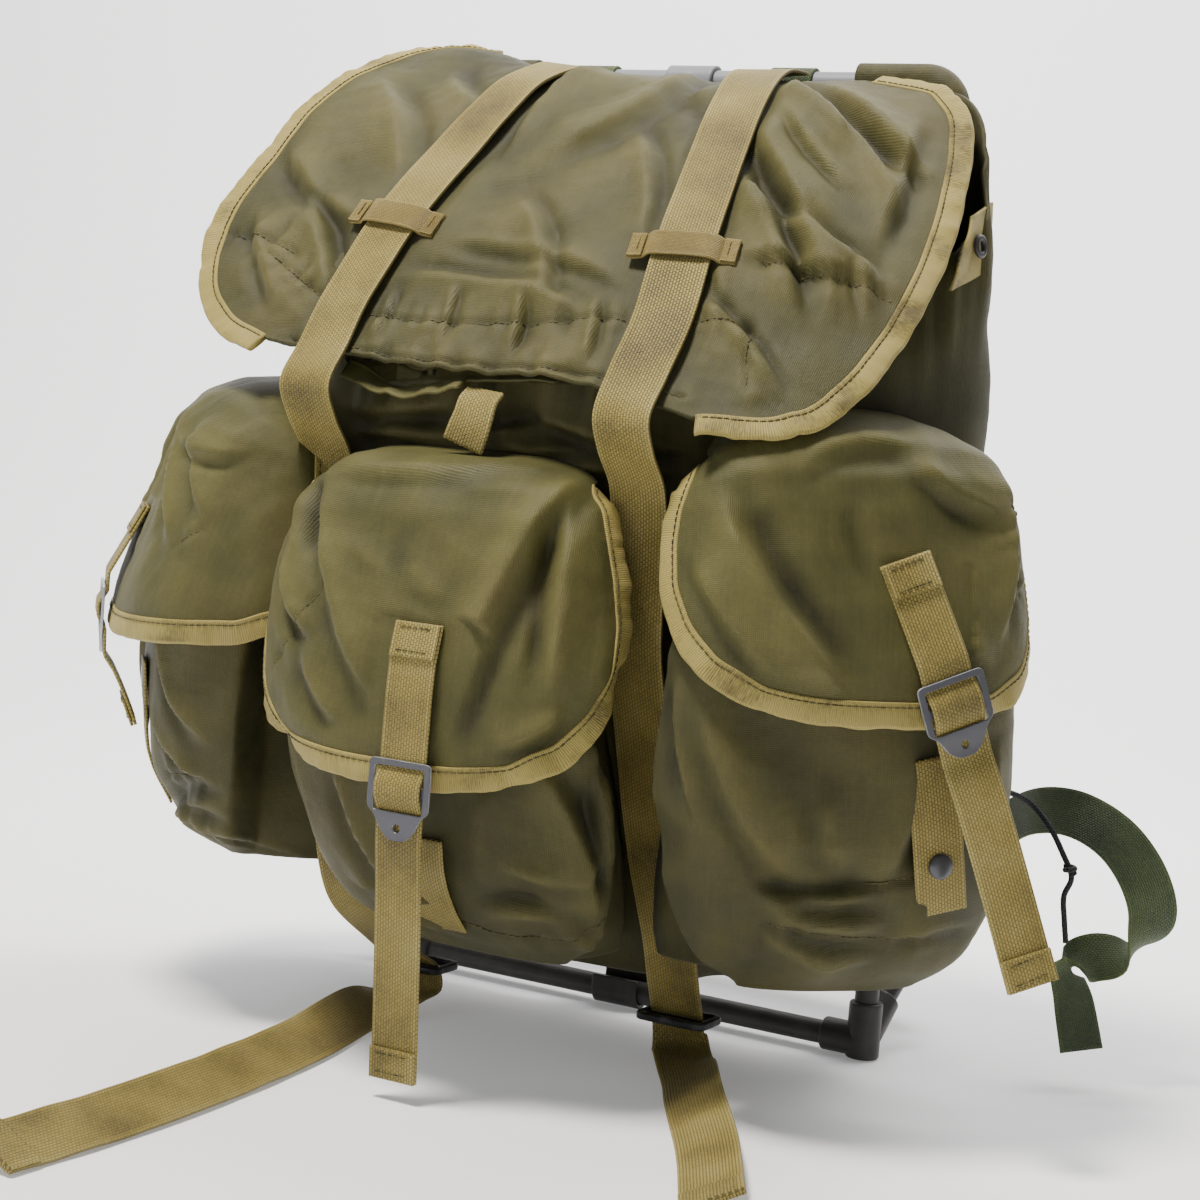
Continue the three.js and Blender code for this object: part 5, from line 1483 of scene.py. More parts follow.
    def build_flap(self, seed: int) -> tuple[Panel, list]:
        """Builds the flap's cloth and its tape.

        Args:
            seed: which cloth.

        Returns:
            The panel, and the lines of thread on it.
        """
        bench = self.bench
        plain = self.flap()
        u, v = plain.u, plain.v
        rows, cols = u.shape
        relief = relief_of(self.flap_folds, u, v)
        relief = 1.15 * relief + 0.9 * ripple(u, v, 60, seed) + 1.2 * crumple(u, v, 80, seed + 1) + 0.5 * crumple(
            u, v, 34, seed + 2) + 0.08 * ripple(u, v, 8, seed + 3)
        for k, line in enumerate(self.flap_seams):
            relief = relief + seam_relief(u, v, line, 1.0, 1.7, 0.9, 12, seed + 5 + k)
        near = bump((u - self.web[0]) / 16) * ramp(-v, -self.strap_top - 6, -self.strap_top + 6)
        relief = np.where(near > 0.02, np.minimum(relief, 1.2 * (1 - near)), relief)
        fade = ramp(np.linspace(0, 1, rows)[:, None], 0.0, 0.1)
        edges = np.clip(np.minimum(np.arange(cols), cols - 1 - np.arange(cols))[None] / 6, 0, 1)
        foot = np.clip((rows - 1 - np.arange(rows))[:, None] / 6, 0, 1)
        # Through raised, valleys get painted shade and ridges are marked worn.
        panel = plain.raised(np.clip(relief, -8.5, 7.5) * fade * (0.3 + 0.7 * np.minimum(edges, foot)))
        name = f"pocket_flap_{self.seat.value}"
        piece = bench.site.mesh(name + "_cloth", [panel.grid()], closed=False)
        solidify(piece, self.cloth)
        bench.dress(piece, bench.wardrobe.flap, "olive_flap", [name])
        first, last = (int(rows * k) for k in self.tape_starts)
        marks = [(i, 0) for i in range(first, rows, 3)] + [(rows - 1, j) for j in range(2, cols - 2, 3)]
        marks += [(i, cols - 1) for i in range(rows - 1, last, -3)]
        index = np.array(marks)
        normals = panel.normals()
        border, up = panel.points[index[:, 0], index[:, 1]], normals[index[:, 0], index[:, 1]]
        grid, stitch, rise = tape_grid(border, up, panel.points.reshape(-1, 3).mean(0), 11.0, 3.0, seed + 9)
        tape = f"pocket_binding_{self.seat.value}"
        bench.make(tape + "_tape", [grid], bench.wardrobe.tape, "tan_tape", [tape])
        return panel, [(stitch, rise)] + [panel.lay(line, lift=0.8) for line in self.flap_seams]

    def front_face(self, a: float, z: float) -> float:
        """How far out the plain body stands at a place."""
        w, d = self.body_at(np.array(z))
        s = min(abs(a - float(self.skew_at(np.array(z)))) / float(w), 0.98)
        return float(d) * math.cos(math.asin(s**self.arc)) ** (1 / self.arc) + float(self.lean(z))

    def flap_face(self, a: float, z: float) -> float:
        """How far out the plain flap stands at a place."""
        share = (self.hinge - z) / self.drop
        w, d = self.body_at(np.array(min(z, self.mouth - 8)))
        s = min(abs(a) / (float(w) * float(table(FLAP_DROP, share, 1))), 0.98)
        front = (float(d) * float(table(FLAP_DROP, share, 2)) + self.ease) * math.cos(math.asin(
            s**self.arc)) ** (1 / self.arc)
        flare = self.flare * min(1, max(0, (share - 0.35) / 0.65)) ** 1.5
        fold = 1.2 * abs(math.sin(a / 15 + share * 4)) * min(1, max(0, share - 0.1) * 3)
        return front + float(self.lean(z)) + 2.6 + fold + flare

    def buckle_out(self) -> float:
        """How far out the buckle's middle stands: its clearance off the flap at the hem and just above itself."""
        web = self.web[1]
        return max(self.flap_face(web, self.hinge - self.drop), self.flap_face(web, self.buckle + 20)) + self.clear

    def build_strap(self, seed: int) -> list:
        """Builds the strap through the buckle and the anchor webbing behind it.

        Args:
            seed: which strap.

        Returns:
            Thread lines on the webbing.
        """
        bench, z = self.bench, self.buckle
        web_top, web, web_end = self.web
        d = self.buckle_out()
        top_d = self.flap_face(web_top, self.strap_top) + self.top_out
        slope = (web - web_top) / (self.strap_top - z)
        tail_d = self.front_face(web, 120) + self.tail_out
        back = 0.8 + 0.8 + 0.5
        stops = []
        for t in (0, 0.3, 0.6):
            at = self.strap_top + (z + 20 - self.strap_top) * t
            along = web_top + (web - 20 * slope - web_top) * t
            out = top_d if t == 0 else max(self.flap_face(along, at) + 3.2, top_d + (d - back - top_d) * t)
            stops.append((along, out, at))
        for up, way in ((20, -1), (13.5, -1), (10.6, -1), (3.4, 1), (-2.9, 1), (-10.2, -1), (-14, -1), (-24, -1.2)):
            stops.append((web - up * slope, d + way * back, z + up))
        for t in (0.2, 0.4, 0.6, 0.8, 1):
            out = d - back * 1.2 + (tail_d - d + back * 1.2) * t**0.8
            stops.append((web + 24 * slope + (web_end - web - 24 * slope) * t, out, z - 24 + (self.tail - z + 24) * t))
        t = math.radians(self.turn)
        side = np.array([math.cos(t), math.sin(t), slope])
        name = self.seat.value
        p = self.place(*np.array(stops).T)
        line = np.hstack([p, np.broadcast_to(side, p.shape)])
        grid = strap_grid(line, WEB, 1.7, 0.0, seed, smooth=False)
        end = p[-1]
        run = unit(p[-1] - p[-2])
        folded = np.array([end - run * k + np.cross(run, side) * 1.9 for k in (0.0, 7.0, 15.0)])
        hem = strap_grid(np.hstack([folded, np.broadcast_to(side, folded.shape)]), WEB, 1.5, 0.0, seed + 2, False)
        first, drop = p[0], unit(p[1] - p[0])
        out = np.cross(side, drop)
        out = out * np.sign((out * self.place(0, 1.0, 0) - out * self.place(0, 0.0, 0)).sum())
        turned = np.array([first + drop * k + out * 1.75 for k in (0.5, 9.0, 17.0)])
        patch = strap_grid(np.hstack([turned, np.broadcast_to(side, turned.shape)]), WEB - 0.6, 1.3, 0.0, seed, False)
        bench.make(f"pocket_strap_{name}_web", [grid, hem, patch], bench.wardrobe.webbing, "tan_webbing",
                   [f"pocket_strap_{name}"])
        stops = []
        for t_ in (0, 0.35, 0.7, 1):
            at = z - 26 + (self.anchor_low - z + 26) * t_
            along = self.anchor[0] + (self.anchor[1] - self.anchor[0]) * t_
            near = max(self.front_face(along + k, at) for k in (-12, 0, 12))
            stops.append((along, near + self.anchor_out, at))
        flat_side = np.array([math.cos(t), math.sin(t), 0])
        q = self.place(*np.array(stops).T)
        anchor = strap_grid(np.hstack([q, np.broadcast_to(flat_side, q.shape)]), WEB, 1.4, 0.0, seed + 4)
        bench.make(f"pocket_anchor_{name}_web", [anchor], bench.wardrobe.webbing, "tan_webbing",
                   [f"pocket_anchor_{name}"])
        lines = []
        wide = unit(side) * WEB / 2

        def row(at: Array, rise: Array, half: Array) -> tuple[Array, Array]:
            """A short seam across the strap at a place."""
            path = at + np.linspace(-0.86, 0.86, 12)[:, None] * half
            return path, np.broadcast_to(rise, path.shape)

        for k in (3.0, 14.0):
            lines.append(row(first + drop * k + out * 2.5, out, wide))
        rise = np.cross(run, side)
        lift = unit(rise)
        for k in (3.5, 12.5):
            lines.append(row(end - run * k + lift * 2.8, lift, wide))
        return lines

    def build(self, seed: int) -> None:
        """Builds the whole pocket in order: body, flap, strap, thread."""
        bench = self.bench
        _, seams = self.build_body(seed)
        _, lines = self.build_flap(seed + 30)
        lines += self.build_strap(seed + 60)
        bench.stitches(f"pocket_thread_{self.seat.value}", seams + lines, bench.wardrobe.thread, "olive_cloth")


# ---- straps


@dataclass
class LongStraps:
    """The two long straps over the flap, their keepers and their lower buckles."""

    bench: Bench
    flap: TopFlap
    lift: float = 4.2
    keeper_y: float = -152.0
    routes: tuple = (
        (Side.LEFT, ((-89, -215, 334), (-89, -207, 317), (-89, -192, 299), (-89, -187, 268), (-90, -184, 222),
                     (-89.5, -174, 170), (-89.5, -162, 118), (-88, -144, 66), (-82, -108, 36), (-79, -90, 24),
                     (-79, -86, 12), (-80, -100, 8.4)),
         ((-82, -128, 8), (-64, -214, 8), (-54, -307, 8), (-52, -380, 8), (-55, -448, 8)), (0.9, 0.1, -0.42)),
        (Side.RIGHT, ((89, -215, 330), (89, -208, 315), (89, -193, 298), (88, -186, 268), (87, -180, 222),
                      (85, -158, 170), (82, -134, 118), (80, -106, 70), (79, -92, 40), (79, -85, 24),
                      (80, -83, 12), (88, -94, 8)),
         ((104, -118, 7.2), (127, -157, 7), (167, -222, 7), (205, -292, 7)), (0.72, 0.4, 0.36)))
    buckles: tuple = ((Side.LEFT, -79.0, -88.0), (Side.RIGHT, 79.6, -85.0))

    def over(self, side: Side, y: float) -> tuple[Array, Array, Array]:
        """Place, run and normal of a long strap over the flap at a place along Y."""
        def at(back: float) -> Array:
            """Point on the strap's middle line."""
            x = side.value * float(np.interp(-back, [40, 180], [60, 88]))
            up = self.flap.normal(np.array(x), np.array(back))
            return np.array([x, back, float(self.flap.height(np.array(x), np.array(back)))]) + up * self.lift

        here = at(y)
        return here, unit(at(y - 3) - here), self.flap.normal(np.array(here[0]), np.array(y))

    def build_strap(self, side: Side, route: Sequence, tail: Sequence, tilt: Sequence[float]) -> None:
        """Builds one strap from the back of the flap to its folded end on the floor."""
        stops = []
        for y in (-14, -40, -70, -110, -150, -180, -198):
            here, run, up = self.over(side, y)
            across = np.cross(run, up)
            stops.append([*here, *(across * np.sign(across[0]))])
        stops += [[*p, 1, 0, 0] for p in route]
        stops += [[*p, *tilt] for p in tail]
        strap = strap_grid(stops, MAIN_WEB, 1.7, 0.25, 40 + side.value)
        end = np.array([s[:3] for s in stops[-2:]], float)
        run = unit(end[1] - end[0])
        up = unit(np.cross(np.array(tilt), run))
        up = up * np.sign(up[2])
        folded = [[*(end[1] - run * k + up * 1.8), *tilt] for k in (0.0, 8.0, 18.0)]
        hem = strap_grid(folded, MAIN_WEB - 0.8, 1.5, smooth=False)
        name = f"main_strap_{side.name.lower()}"
        self.bench.make(name + "_web", [strap, hem], self.bench.wardrobe.webbing, "tan_webbing", [name])

    def build_keeper(self, side: Side) -> list:
        """Builds a keeper: flat tape bridging over the strap, its ends folded under and sewn down."""
        here, run, up = self.over(side, self.keeper_y)
        across = unit(np.cross(run, up))
        spans = ((-27, -0.9), (-23, -0.7), (-19, -0.2), (-16.5, 2.2), (-12, 3.5), (-5, 3.9), (5, 3.7), (12, 3.5),
                 (16.5, 2.3), (19, -0.2), (23, -0.7), (27, -0.9))
        stops = [[*(here + across * s + up * h), *run] for s, h in spans]
        name = f"keeper_{side.name.lower()}"
        grids = [strap_grid(stops, 15, 1.2, 0.1, 71)]
        lines = []
        for way in (-1, 1):
            ends = [[*(here + across * way * s + up * h), *run] for s, h in ((27, 0.4), (23.5, 0.6), (19.6, 1.0))]
            grids.append(strap_grid(ends, 14.4, 1.1, 0.1, 73))
            row = here + across * way * 22.5 + up * 1.3 + np.linspace(-6.4, 6.4, 8)[:, None] * run
            lines.append((row, np.broadcast_to(up, row.shape)))
        self.bench.make(name + "_tape", grids, self.bench.wardrobe.keeper, "tan_webbing", [name])
        return lines

    def build(self) -> None:
        """Builds both straps, both keepers and both lower buckles."""
        lines = []
        for side, route, tail, tilt in self.routes:
            self.build_strap(side, route, tail, tilt)
            lines += self.build_keeper(side)
        self.bench.stitches("keeper_thread", lines, self.bench.wardrobe.pale_thread, "tan_webbing", 2.8)
        for side, x, y in self.buckles:
            name = f"bottom_buckle_{side.name.lower()}"
            ring = rounded_outline([(-17.9, -11), (17.9, -11), (17.9, 11), (-17.9, 11)], 4.0, 8)
            grid = ring_grid(ring, np.array([x, y, 24.0]), np.eye(3), 2.1, 2.0)
            bar = np.array([[-16.0, 0, 0.2], [0, 0, 0.2], [16.0, 0, 0.2]]) + np.array([x, y - 4, 24.0])
            grids = [grid, round_tube(resample(bar, 12), 1.5, 16)]
            self.bench.make(name + "_ring", grids, self.bench.wardrobe.plastic, "black_plastic", [name])


# ---- hardware


def rounded_outline(corners: Sequence[tuple[float, float]], radius: float, steps: int = 6) -> Array:
    """Closed outline with its corners cut by parabolas whose ends lie radius along each side.

    Args:
        corners: x, y places.
        radius: how far each corner is cut, at most 0.45 of the shorter side.
        steps: points for each corner.

    Returns:
        Points of the outline, not repeated at the end.
    """
    p = np.asarray(corners, float)
    before, after = np.roll(p, 1, 0) - p, np.roll(p, -1, 0) - p
    cut = np.minimum(radius, 0.45 * np.minimum(np.linalg.norm(before, axis=1), np.linalg.norm(after, axis=1)))
    a, b = p + unit(before) * cut[:, None], p + unit(after) * cut[:, None]
    t = np.linspace(0, 1, steps)[None, :, None]
    return (a[:, None] * (1 - t) ** 2 + 2 * p[:, None] * t * (1 - t) + b[:, None] * t**2).reshape(-1, 2)


def ring_grid(outline: Array, centre: Array, axes: Array, half: float, rise: float) -> Grid:
    """Closed ring: a soft-cornered section carried round a closed outline.

    The section is a super-ellipse of power four, half wide in the outline's plane and rise high square to it.

    Args:
        outline: x, y places of its middle line.
        centre: where its own nought lies.
        axes: rows are the directions of its own x, y and z.
        half: half width of the section.
        rise: half height of the section.

    Returns:
        A grid whose last row repeats the first; welding closes it.
    """
    run = unit(np.roll(outline, -1, 0) - np.roll(outline, 1, 0))
    out = np.stack([run[:, 1], -run[:, 0]], 1)
    a = np.linspace(0, 2 * np.pi, 20, endpoint=False)
    c, s = np.sign(np.cos(a)) * np.abs(np.cos(a)) ** 0.5, np.sign(np.sin(a)) * np.abs(np.sin(a)) ** 0.5
    flat = outline[:, None] + out[:, None] * (c * half)[None, :, None]
    local = np.concatenate([flat, np.broadcast_to((s * rise)[None, :, None], (*flat.shape[:2], 1))], 2)
    points = centre + local @ axes
    points = np.concatenate([points, points[:1]])
    wear = np.broadcast_to((np.abs(c * s) * 1.6)[None], points.shape[:2])
    return Grid(points, flat_pattern(points, True), wear, wrap=True)


def turned_grid(profile: Sequence[tuple[float, float]], centre: Array, axis: Array, wear: Sequence[float],
                sides: int = 40) -> Grid:
    """Turned piece: a profile of radius and height swept round an axis.

    Args:
        profile: radius and height from end to end; a closed one repeats its first place.
        centre: where the height is nought.
        axis: the direction of the height.
        wear: wear at each place of the profile.
        sides: points round.

    Returns:
        The grid; poles close it where the profile is open.
    """
    shape = np.asarray(profile, float)
    up = unit(np.asarray(axis, float))
    side = unit(np.cross(up, [0.0, 0.0, 1.0] if abs(up[2]) < 0.9 else [0.0, 1.0, 0.0]))
    over = np.cross(up, side)
    a = np.linspace(0, 2 * np.pi, sides, endpoint=False)[None, :, None]
    points = centre + shape[:, :1, None] * (side * np.cos(a) + over * np.sin(a)) + up * shape[:, 1:, None]
    closed = bool(np.allclose(shape[0], shape[-1]))
    marks = np.broadcast_to(np.asarray(wear, float)[:, None], points.shape[:2])
    return Grid(points, flat_pattern(points, True), marks, wrap=True, poles=not closed)


SNAP = ((5.4, -1.2), (6, -0.6), (6, 0.4), (5.5, 1.0), (4.8, 1.35), (4.0, 1.6), (3.0, 1.85), (1.6, 2.0), (0.4, 2.05))
EYELET = ((3.4, -1.0), (3.4, 0.6), (3.9, 1.3), (4.9, 1.6), (6, 1.4), (6.8, 0.7), (7, 0), (6.4, -0.4), (4, -1.0),
          (3.4, -1.0))


@dataclass
class Hardware:
    """Small metal: the three pocket buckles, the snap and the eyelets."""

    bench: Bench
    pockets: dict[Seat, Pocket]

    def buckle(self, pocket: Pocket) -> None:
        """Builds a pressed plate with two strap slots and a rounded lobe with an eye, its edges rolled and worn."""
        z, (web_top, web, _), d = pocket.buckle, pocket.web, pocket.buckle_out()
        roll = math.atan((web - web_top) / (pocket.strap_top - z))
        outer = [(-17, 14), (-17, -9), (-13, -12), (-9, -20), (-4, -24), (4, -24), (9, -20), (13, -12), (17, -9),
                 (17, 14)]
        slots = [[(-13.7, low), (13.7, low), (13.7, high), (-13.7, high)] for low, high in ((2, 11), (-10.5, -1.5))]
        eye = [(2.2 * math.cos(k * math.pi / 4), -18 + 2.2 * math.sin(k * math.pi / 4)) for k in range(8)]
        shape = bpy.data.curves.new("plate", "CURVE")
        shape.dimensions = "2D"
        shape.fill_mode = "BOTH"
        shape.extrude, shape.bevel_depth, shape.bevel_resolution = 0.45, 0.35, 3
        shape.offset = -0.35
        for corners, radius in ((outer, 3.0), (slots[0], 1.6), (slots[1], 1.6), (eye, 1.0)):
            line = rounded_outline(corners, radius, 6)
            spline = shape.splines.new("POLY")
            spline.points.add(len(line) - 1)
            flat = np.hstack([line, np.zeros((len(line), 1)), np.ones((len(line), 1))])
            spline.points.foreach_set("co", flat.astype(np.float32).ravel())
            spline.use_cyclic_u = True
        holder = bpy.data.objects.new("plate", shape)
        bpy.context.scene.collection.objects.link(holder)
        graph = bpy.context.evaluated_depsgraph_get()
        data = bpy.data.meshes.new_from_object(holder.evaluated_get(graph))
        bpy.data.objects.remove(holder)
        bpy.data.curves.remove(shape)
        local = np.zeros(len(data.vertices) * 3, np.float32)
        data.vertices.foreach_get("co", local)
        local = local.reshape(-1, 3).astype(float)
        dish = 0.9 * ramp(-local[:, 1], 10, 22)
        c, s = math.cos(roll), math.sin(roll)
        x, up = c * local[:, 0] - s * local[:, 1], s * local[:, 0] + c * local[:, 1]
        place = self.bench.site.put(pocket.place(web + x, d + local[:, 2] - dish, z + up))
        data.vertices.foreach_set("co", place.astype(np.float32).ravel())
        mark = data.attributes.new("wear", "FLOAT", "POINT")
        wear_and_shade_level = 1.0 - np.clip((np.abs(local[:, 2]) - 0.5) / 0.28, 0, 1)
        mark.data.foreach_set("value", wear_and_shade_level.astype(np.float32))
        while data.uv_layers:
            data.uv_layers.remove(data.uv_layers[0])
        name = f"pocket_buckle_{pocket.seat.value}"
        data.name = name + "_plate"
        shell = bmesh.new()
        shell.from_mesh(data)
        bmesh.ops.remove_doubles(shell, verts=shell.verts, dist=1e-6)
        bmesh.ops.recalc_face_normals(shell, faces=shell.faces)
        shell.to_mesh(data)
        shell.free()
        piece = bpy.data.objects.new(name + "_plate", data)
        bpy.context.scene.collection.objects.link(piece)
        self.bench.dress(piece, self.bench.wardrobe.enamel, "gunmetal", [name])

    def stud(self, node: str, pocket: Pocket, a: float, out: float, z: float, snap: bool) -> None:
        """Builds a snap's cap, or an eyelet with a black disc in its hole as painted shade, on a pocket."""
        centre = pocket.place(np.array(a), np.array(out), np.array(z))
        axis = pocket.place(np.array(a), np.array(out + 1.0), np.array(z)) - centre
        profile = SNAP if snap else EYELET
        marks = [0.6 if 3.5 < r < 6.9 and h > 0.9 and not snap else 0.1 for r, h in profile]
        finish = self.bench.wardrobe.enamel if snap else self.bench.wardrobe.nickel
        self.bench.make(node + "_metal", [turned_grid(profile, centre, axis, marks)], finish, "gunmetal", [node])
        if not snap:
            # Painted shade: a black disc fills the eyelet's hole, where the pocket's dark inside would show.
            disc = turned_grid(((3.5, -0.5), (3.0, -0.5), (1.0, -0.5)), centre, axis, (0, 0, 0))
            self.bench.make(node + "_hole_shade", [disc], self.bench.wardrobe.plastic, "gunmetal")

    def build(self) -> None:
        """Builds every small metal piece."""
        for pocket in self.pockets.values():
            self.buckle(pocket)
        right, left = self.pockets[Seat.RIGHT], self.pockets[Seat.LEFT]
        self.stud("pocket_snap", right, 42, right.front_face(30, 135) + 3.6, 135, True)
        for node, z in (("pocket_eyelet_upper", 168.0), ("pocket_eyelet_lower", 144.0)):
            self.stud(node, left, -30, left.front_face(-30, z) + 1.3, z, False)


@dataclass
class FrameTubes:
    """The aluminium loop, its bars, strips, clamps and rivet."""

    bench: Bench
    half: float = 147.65
    top: float = 511.05
    corner: float = 45.0
    bar_z: float = 9.0
    bow: tuple = ((147.65, 12, 20), (150, 30, 36), (151, 55, 52), (142, 78, 62), (112, 96, 68), (60, 103, 70),
                  (0, 105, 70))

    def loop_path(self) -> Array:
        """Middle line of the loop: two uprights, two quarter circles and the top bar."""
        a = np.linspace(0, np.pi / 2, 30)
        x, z = self.half - self.corner, self.top - self.corner
        left = np.stack([-x - self.corner * np.cos(a), a * 0, z + self.corner * np.sin(a)], 1)
        right = left[::-1] * [-1, 1, 1]
        ends = np.array([[-self.half, 0, 15.0]]), np.array([[self.half, 0, 15.0]])
        return resample(np.vstack([ends[0], left, right, ends[1]]), 420)

    def bow_path(self) -> Array:
        """Middle line of the bow behind the pack."""
        stops = [*self.bow, *[(-x, y, z) for x, y, z in self.bow[-2::-1]]]
        return smooth_line(stops, 220)

    def wrap(self, low: float, high: float, reach: float) -> Array:
        """Route of a strip round two tubes, as out and along."""
        r = TUBE_R + FIT + 1.1
        a = np.linspace(0, np.pi, 24)
        over = np.stack([-r * np.cos(a), high + r * np.sin(a)], 1)
        under = np.stack([r * np.cos(a), low - r * np.sin(a)], 1)
        return np.vstack([[[-r, high - reach]], over, under, [[-r, low + reach]]])

    def rod(self, a: Sequence[float], b: Sequence[float], radius: float) -> Grid:
        """Rod with eased ends."""
        a, b = np.asarray(a, float), np.asarray(b, float)
        length = float(np.linalg.norm(b - a))
        at = np.concatenate([[0, 0.2, 0.6, 1.2], np.linspace(2, length - 2, 12), length - np.array([1.2, 0.6, 0.2, 0])])
        ease = np.minimum(at, length - at)
        radii = radius - 1.2 * (1 - np.sqrt(1 - (1 - np.clip(ease / 1.2, 0, 1)) ** 2 * 0.999))
        return round_tube(a + (b - a) * (at / length)[:, None], radii, 32)

    def build(self) -> None:
        """Builds the metal of the frame."""
        bench = self.bench
        grey, black = bench.wardrobe.grey, bench.wardrobe.black
        bench.make("frame_tube", [round_tube(self.loop_path(), TUBE_R, 36)], grey, "frame_grey", ["frame_loop"])
        end = self.half - TUBE_R - FIT
        bench.make("frame_bar", [self.rod((-end, 0, self.bar_z), (end, 0, self.bar_z), TUBE_R)], black,
                   "frame_black", ["frame_bottom_bar"])
        bench.make("frame_bow", [round_tube(self.bow_path(), TUBE_R, 28)], black, "frame_black", ["frame_lumbar_bow"])
        route = self.wrap(self.bar_z, self.top, 8.0)
        line = resample(np.stack([route[:, 0] * 0, route[:, 0], route[:, 1]], 1), 700)
        lower = np.flatnonzero(line[:, 2] < 200)
        gaps = np.flatnonzero(np.diff(lower) > 1)
        cut = int(lower[gaps[0]] if len(gaps) else lower[0])
        # The strip's lower part takes black paint: painted shade over the lower frame.
        for word, part, paint, slot, nodes in (("strip", line[:cut + 2], grey, "frame_grey", ["frame_centre_strip"]),
                                               ("strip_lower", line[cut:], black, "frame_black", [])):
            strip = webbing_grid(part, np.broadcast_to([1.0, 0, 0], part.shape), 28.0, 2.2)
            bench.make("frame_" + word, [strip], paint, slot, nodes)
        route = self.wrap(-self.half, self.half, 12.0)
        line = resample(np.stack([route[:, 1], route[:, 0], route[:, 0] * 0 + 300.0], 1), 420)
        step = TUBE_R + FIT + 1.1 + 2.5
        line[:, 1] = np.where(line[:, 1] > 0, np.maximum(line[:, 1], step * ramp(-np.abs(line[:, 0]), -24, -17)),
                              line[:, 1])
        strip = webbing_grid(line, np.broadcast_to([0.0, 0, 1.0], line.shape), 28.0, 2.2)
        bench.make("frame_cross", [strip], grey, "frame_grey", ["frame_cross_strip"])
        rivet_y = -(TUBE_R + 2 * FIT + 2.2)
        dome = ((4.5, -0.2), (4.5, 0.5), (4.2, 1.0), (3.4, 1.5), (2.0, 1.75), (0.4, 1.8))
        head = turned_grid(dome, np.array([0, rivet_y, self.top]), np.array([0, -1.0, 0]), (0, 0.3, 0.6, 0.3, 0.1, 0))
        bench.make("frame_rivet_head", [head], grey, "frame_grey", ["frame_rivet"])
        for side in Side:
            x = side.value * self.half
            start = np.array([x, 2.0, 12.0])
            b0, b1 = (np.array([side.value * p[0], p[1], p[2]], float) for p in self.bow[:2])
            grids = [self.rod((x, 0, 0), (x, 0, 30), 9.0),
                     self.rod((x, 0, self.bar_z), (side.value * (end - 16), 0, self.bar_z), 8.9),
                     self.rod(start, b0 + unit(b1 - b0) * 12, 8.9)]
            name = f"frame_clamp_{side.name.lower()}"
            bench.make(name + "_cast", grids, black, "frame_black", [name])
            # Black paint over the lower uprights: painted shade, where the lower frame lies in shadow.
            sleeve = self.rod((x, 0, 28), (x, 0, 190), TUBE_R + 0.15)
            bench.make(f"frame_lower_{side.name.lower()}", [sleeve], black, "frame_black")


@dataclass
class Envelopes:
    """Cloth sleeves that hold the bag on the frame's two upper corners."""

    bench: Bench
    inner: float = 98.0
    outer: float = 159.5
    low: float = 440.0
    top: float = 521.5
    corner: float = 24.0
    half: float = 7.6

    def build_one(self, side: Side) -> None:
        """Builds one sleeve: a pillow round the tube, fanned from its open inner corner to its outer edge.

        From front to back the column runs out to the border and back; the thickness at a distance e from the
        border is the half thickness times the square root of 1 - (1 - e/R)^2, with R the half thickness.
        """
        edge = [(self.outer, self.low), (self.outer, self.top - self.corner)]
        a = np.linspace(0, np.pi / 2, 14)
        edge += list(zip(self.outer - self.corner + self.corner * np.cos(a),
                         self.top - self.corner + self.corner * np.sin(a)))
        edge += [(self.inner, self.top)]
        border = resample(np.hstack([np.array(edge, float), np.zeros((len(edge), 1))]), 90)[:, :2]
        q = np.concatenate([np.linspace(0, 0.8, 26), 0.8 + 0.2 * np.sin(np.linspace(0.05, np.pi / 2, 16))])
        front = np.concatenate([q, q[-2::-1]])
        sign = np.concatenate([-np.ones(len(q) - 1), [0.0], np.ones(len(q) - 1)])
        spine = np.array([self.inner, self.low])
        flat = spine + (border - spine)[:, None] * front[None, :, None]
        away = np.linalg.norm(border - spine, axis=1)[:, None] * (1 - front)[None]
        swell = self.half * np.sqrt(np.clip(1 - (1 - np.clip(away / self.half, 0, 1)) ** 2, 0, 1))
        points = np.stack([side.value * flat[..., 0], sign[None] * swell, flat[..., 1]], -1)
        u, v = flat[..., 0], flat[..., 1]
        crease = 0.5 * ripple(u, v, 30, 61 + side.value) + 0.3 * ripple(u, v, 12, 62)
        points[..., 1] += np.minimum(crease, 0.3) * -sign[None] * np.clip(away / 8, 0, 1) * 0.5
        name = f"envelope_{side.name.lower()}"
        piece = self.bench.site.mesh(name + "_cloth", [Grid(points, np.stack([u, v + 60 * sign[None]], -1),
                                                            crease * 0.3)], closed=False)
        solidify(piece, 1.2)
        self.bench.dress(piece, self.bench.wardrobe.olive, "olive_cloth", [name])

    def build(self) -> None:
        """Builds both sleeves."""
        for side in Side:
            self.build_one(side)


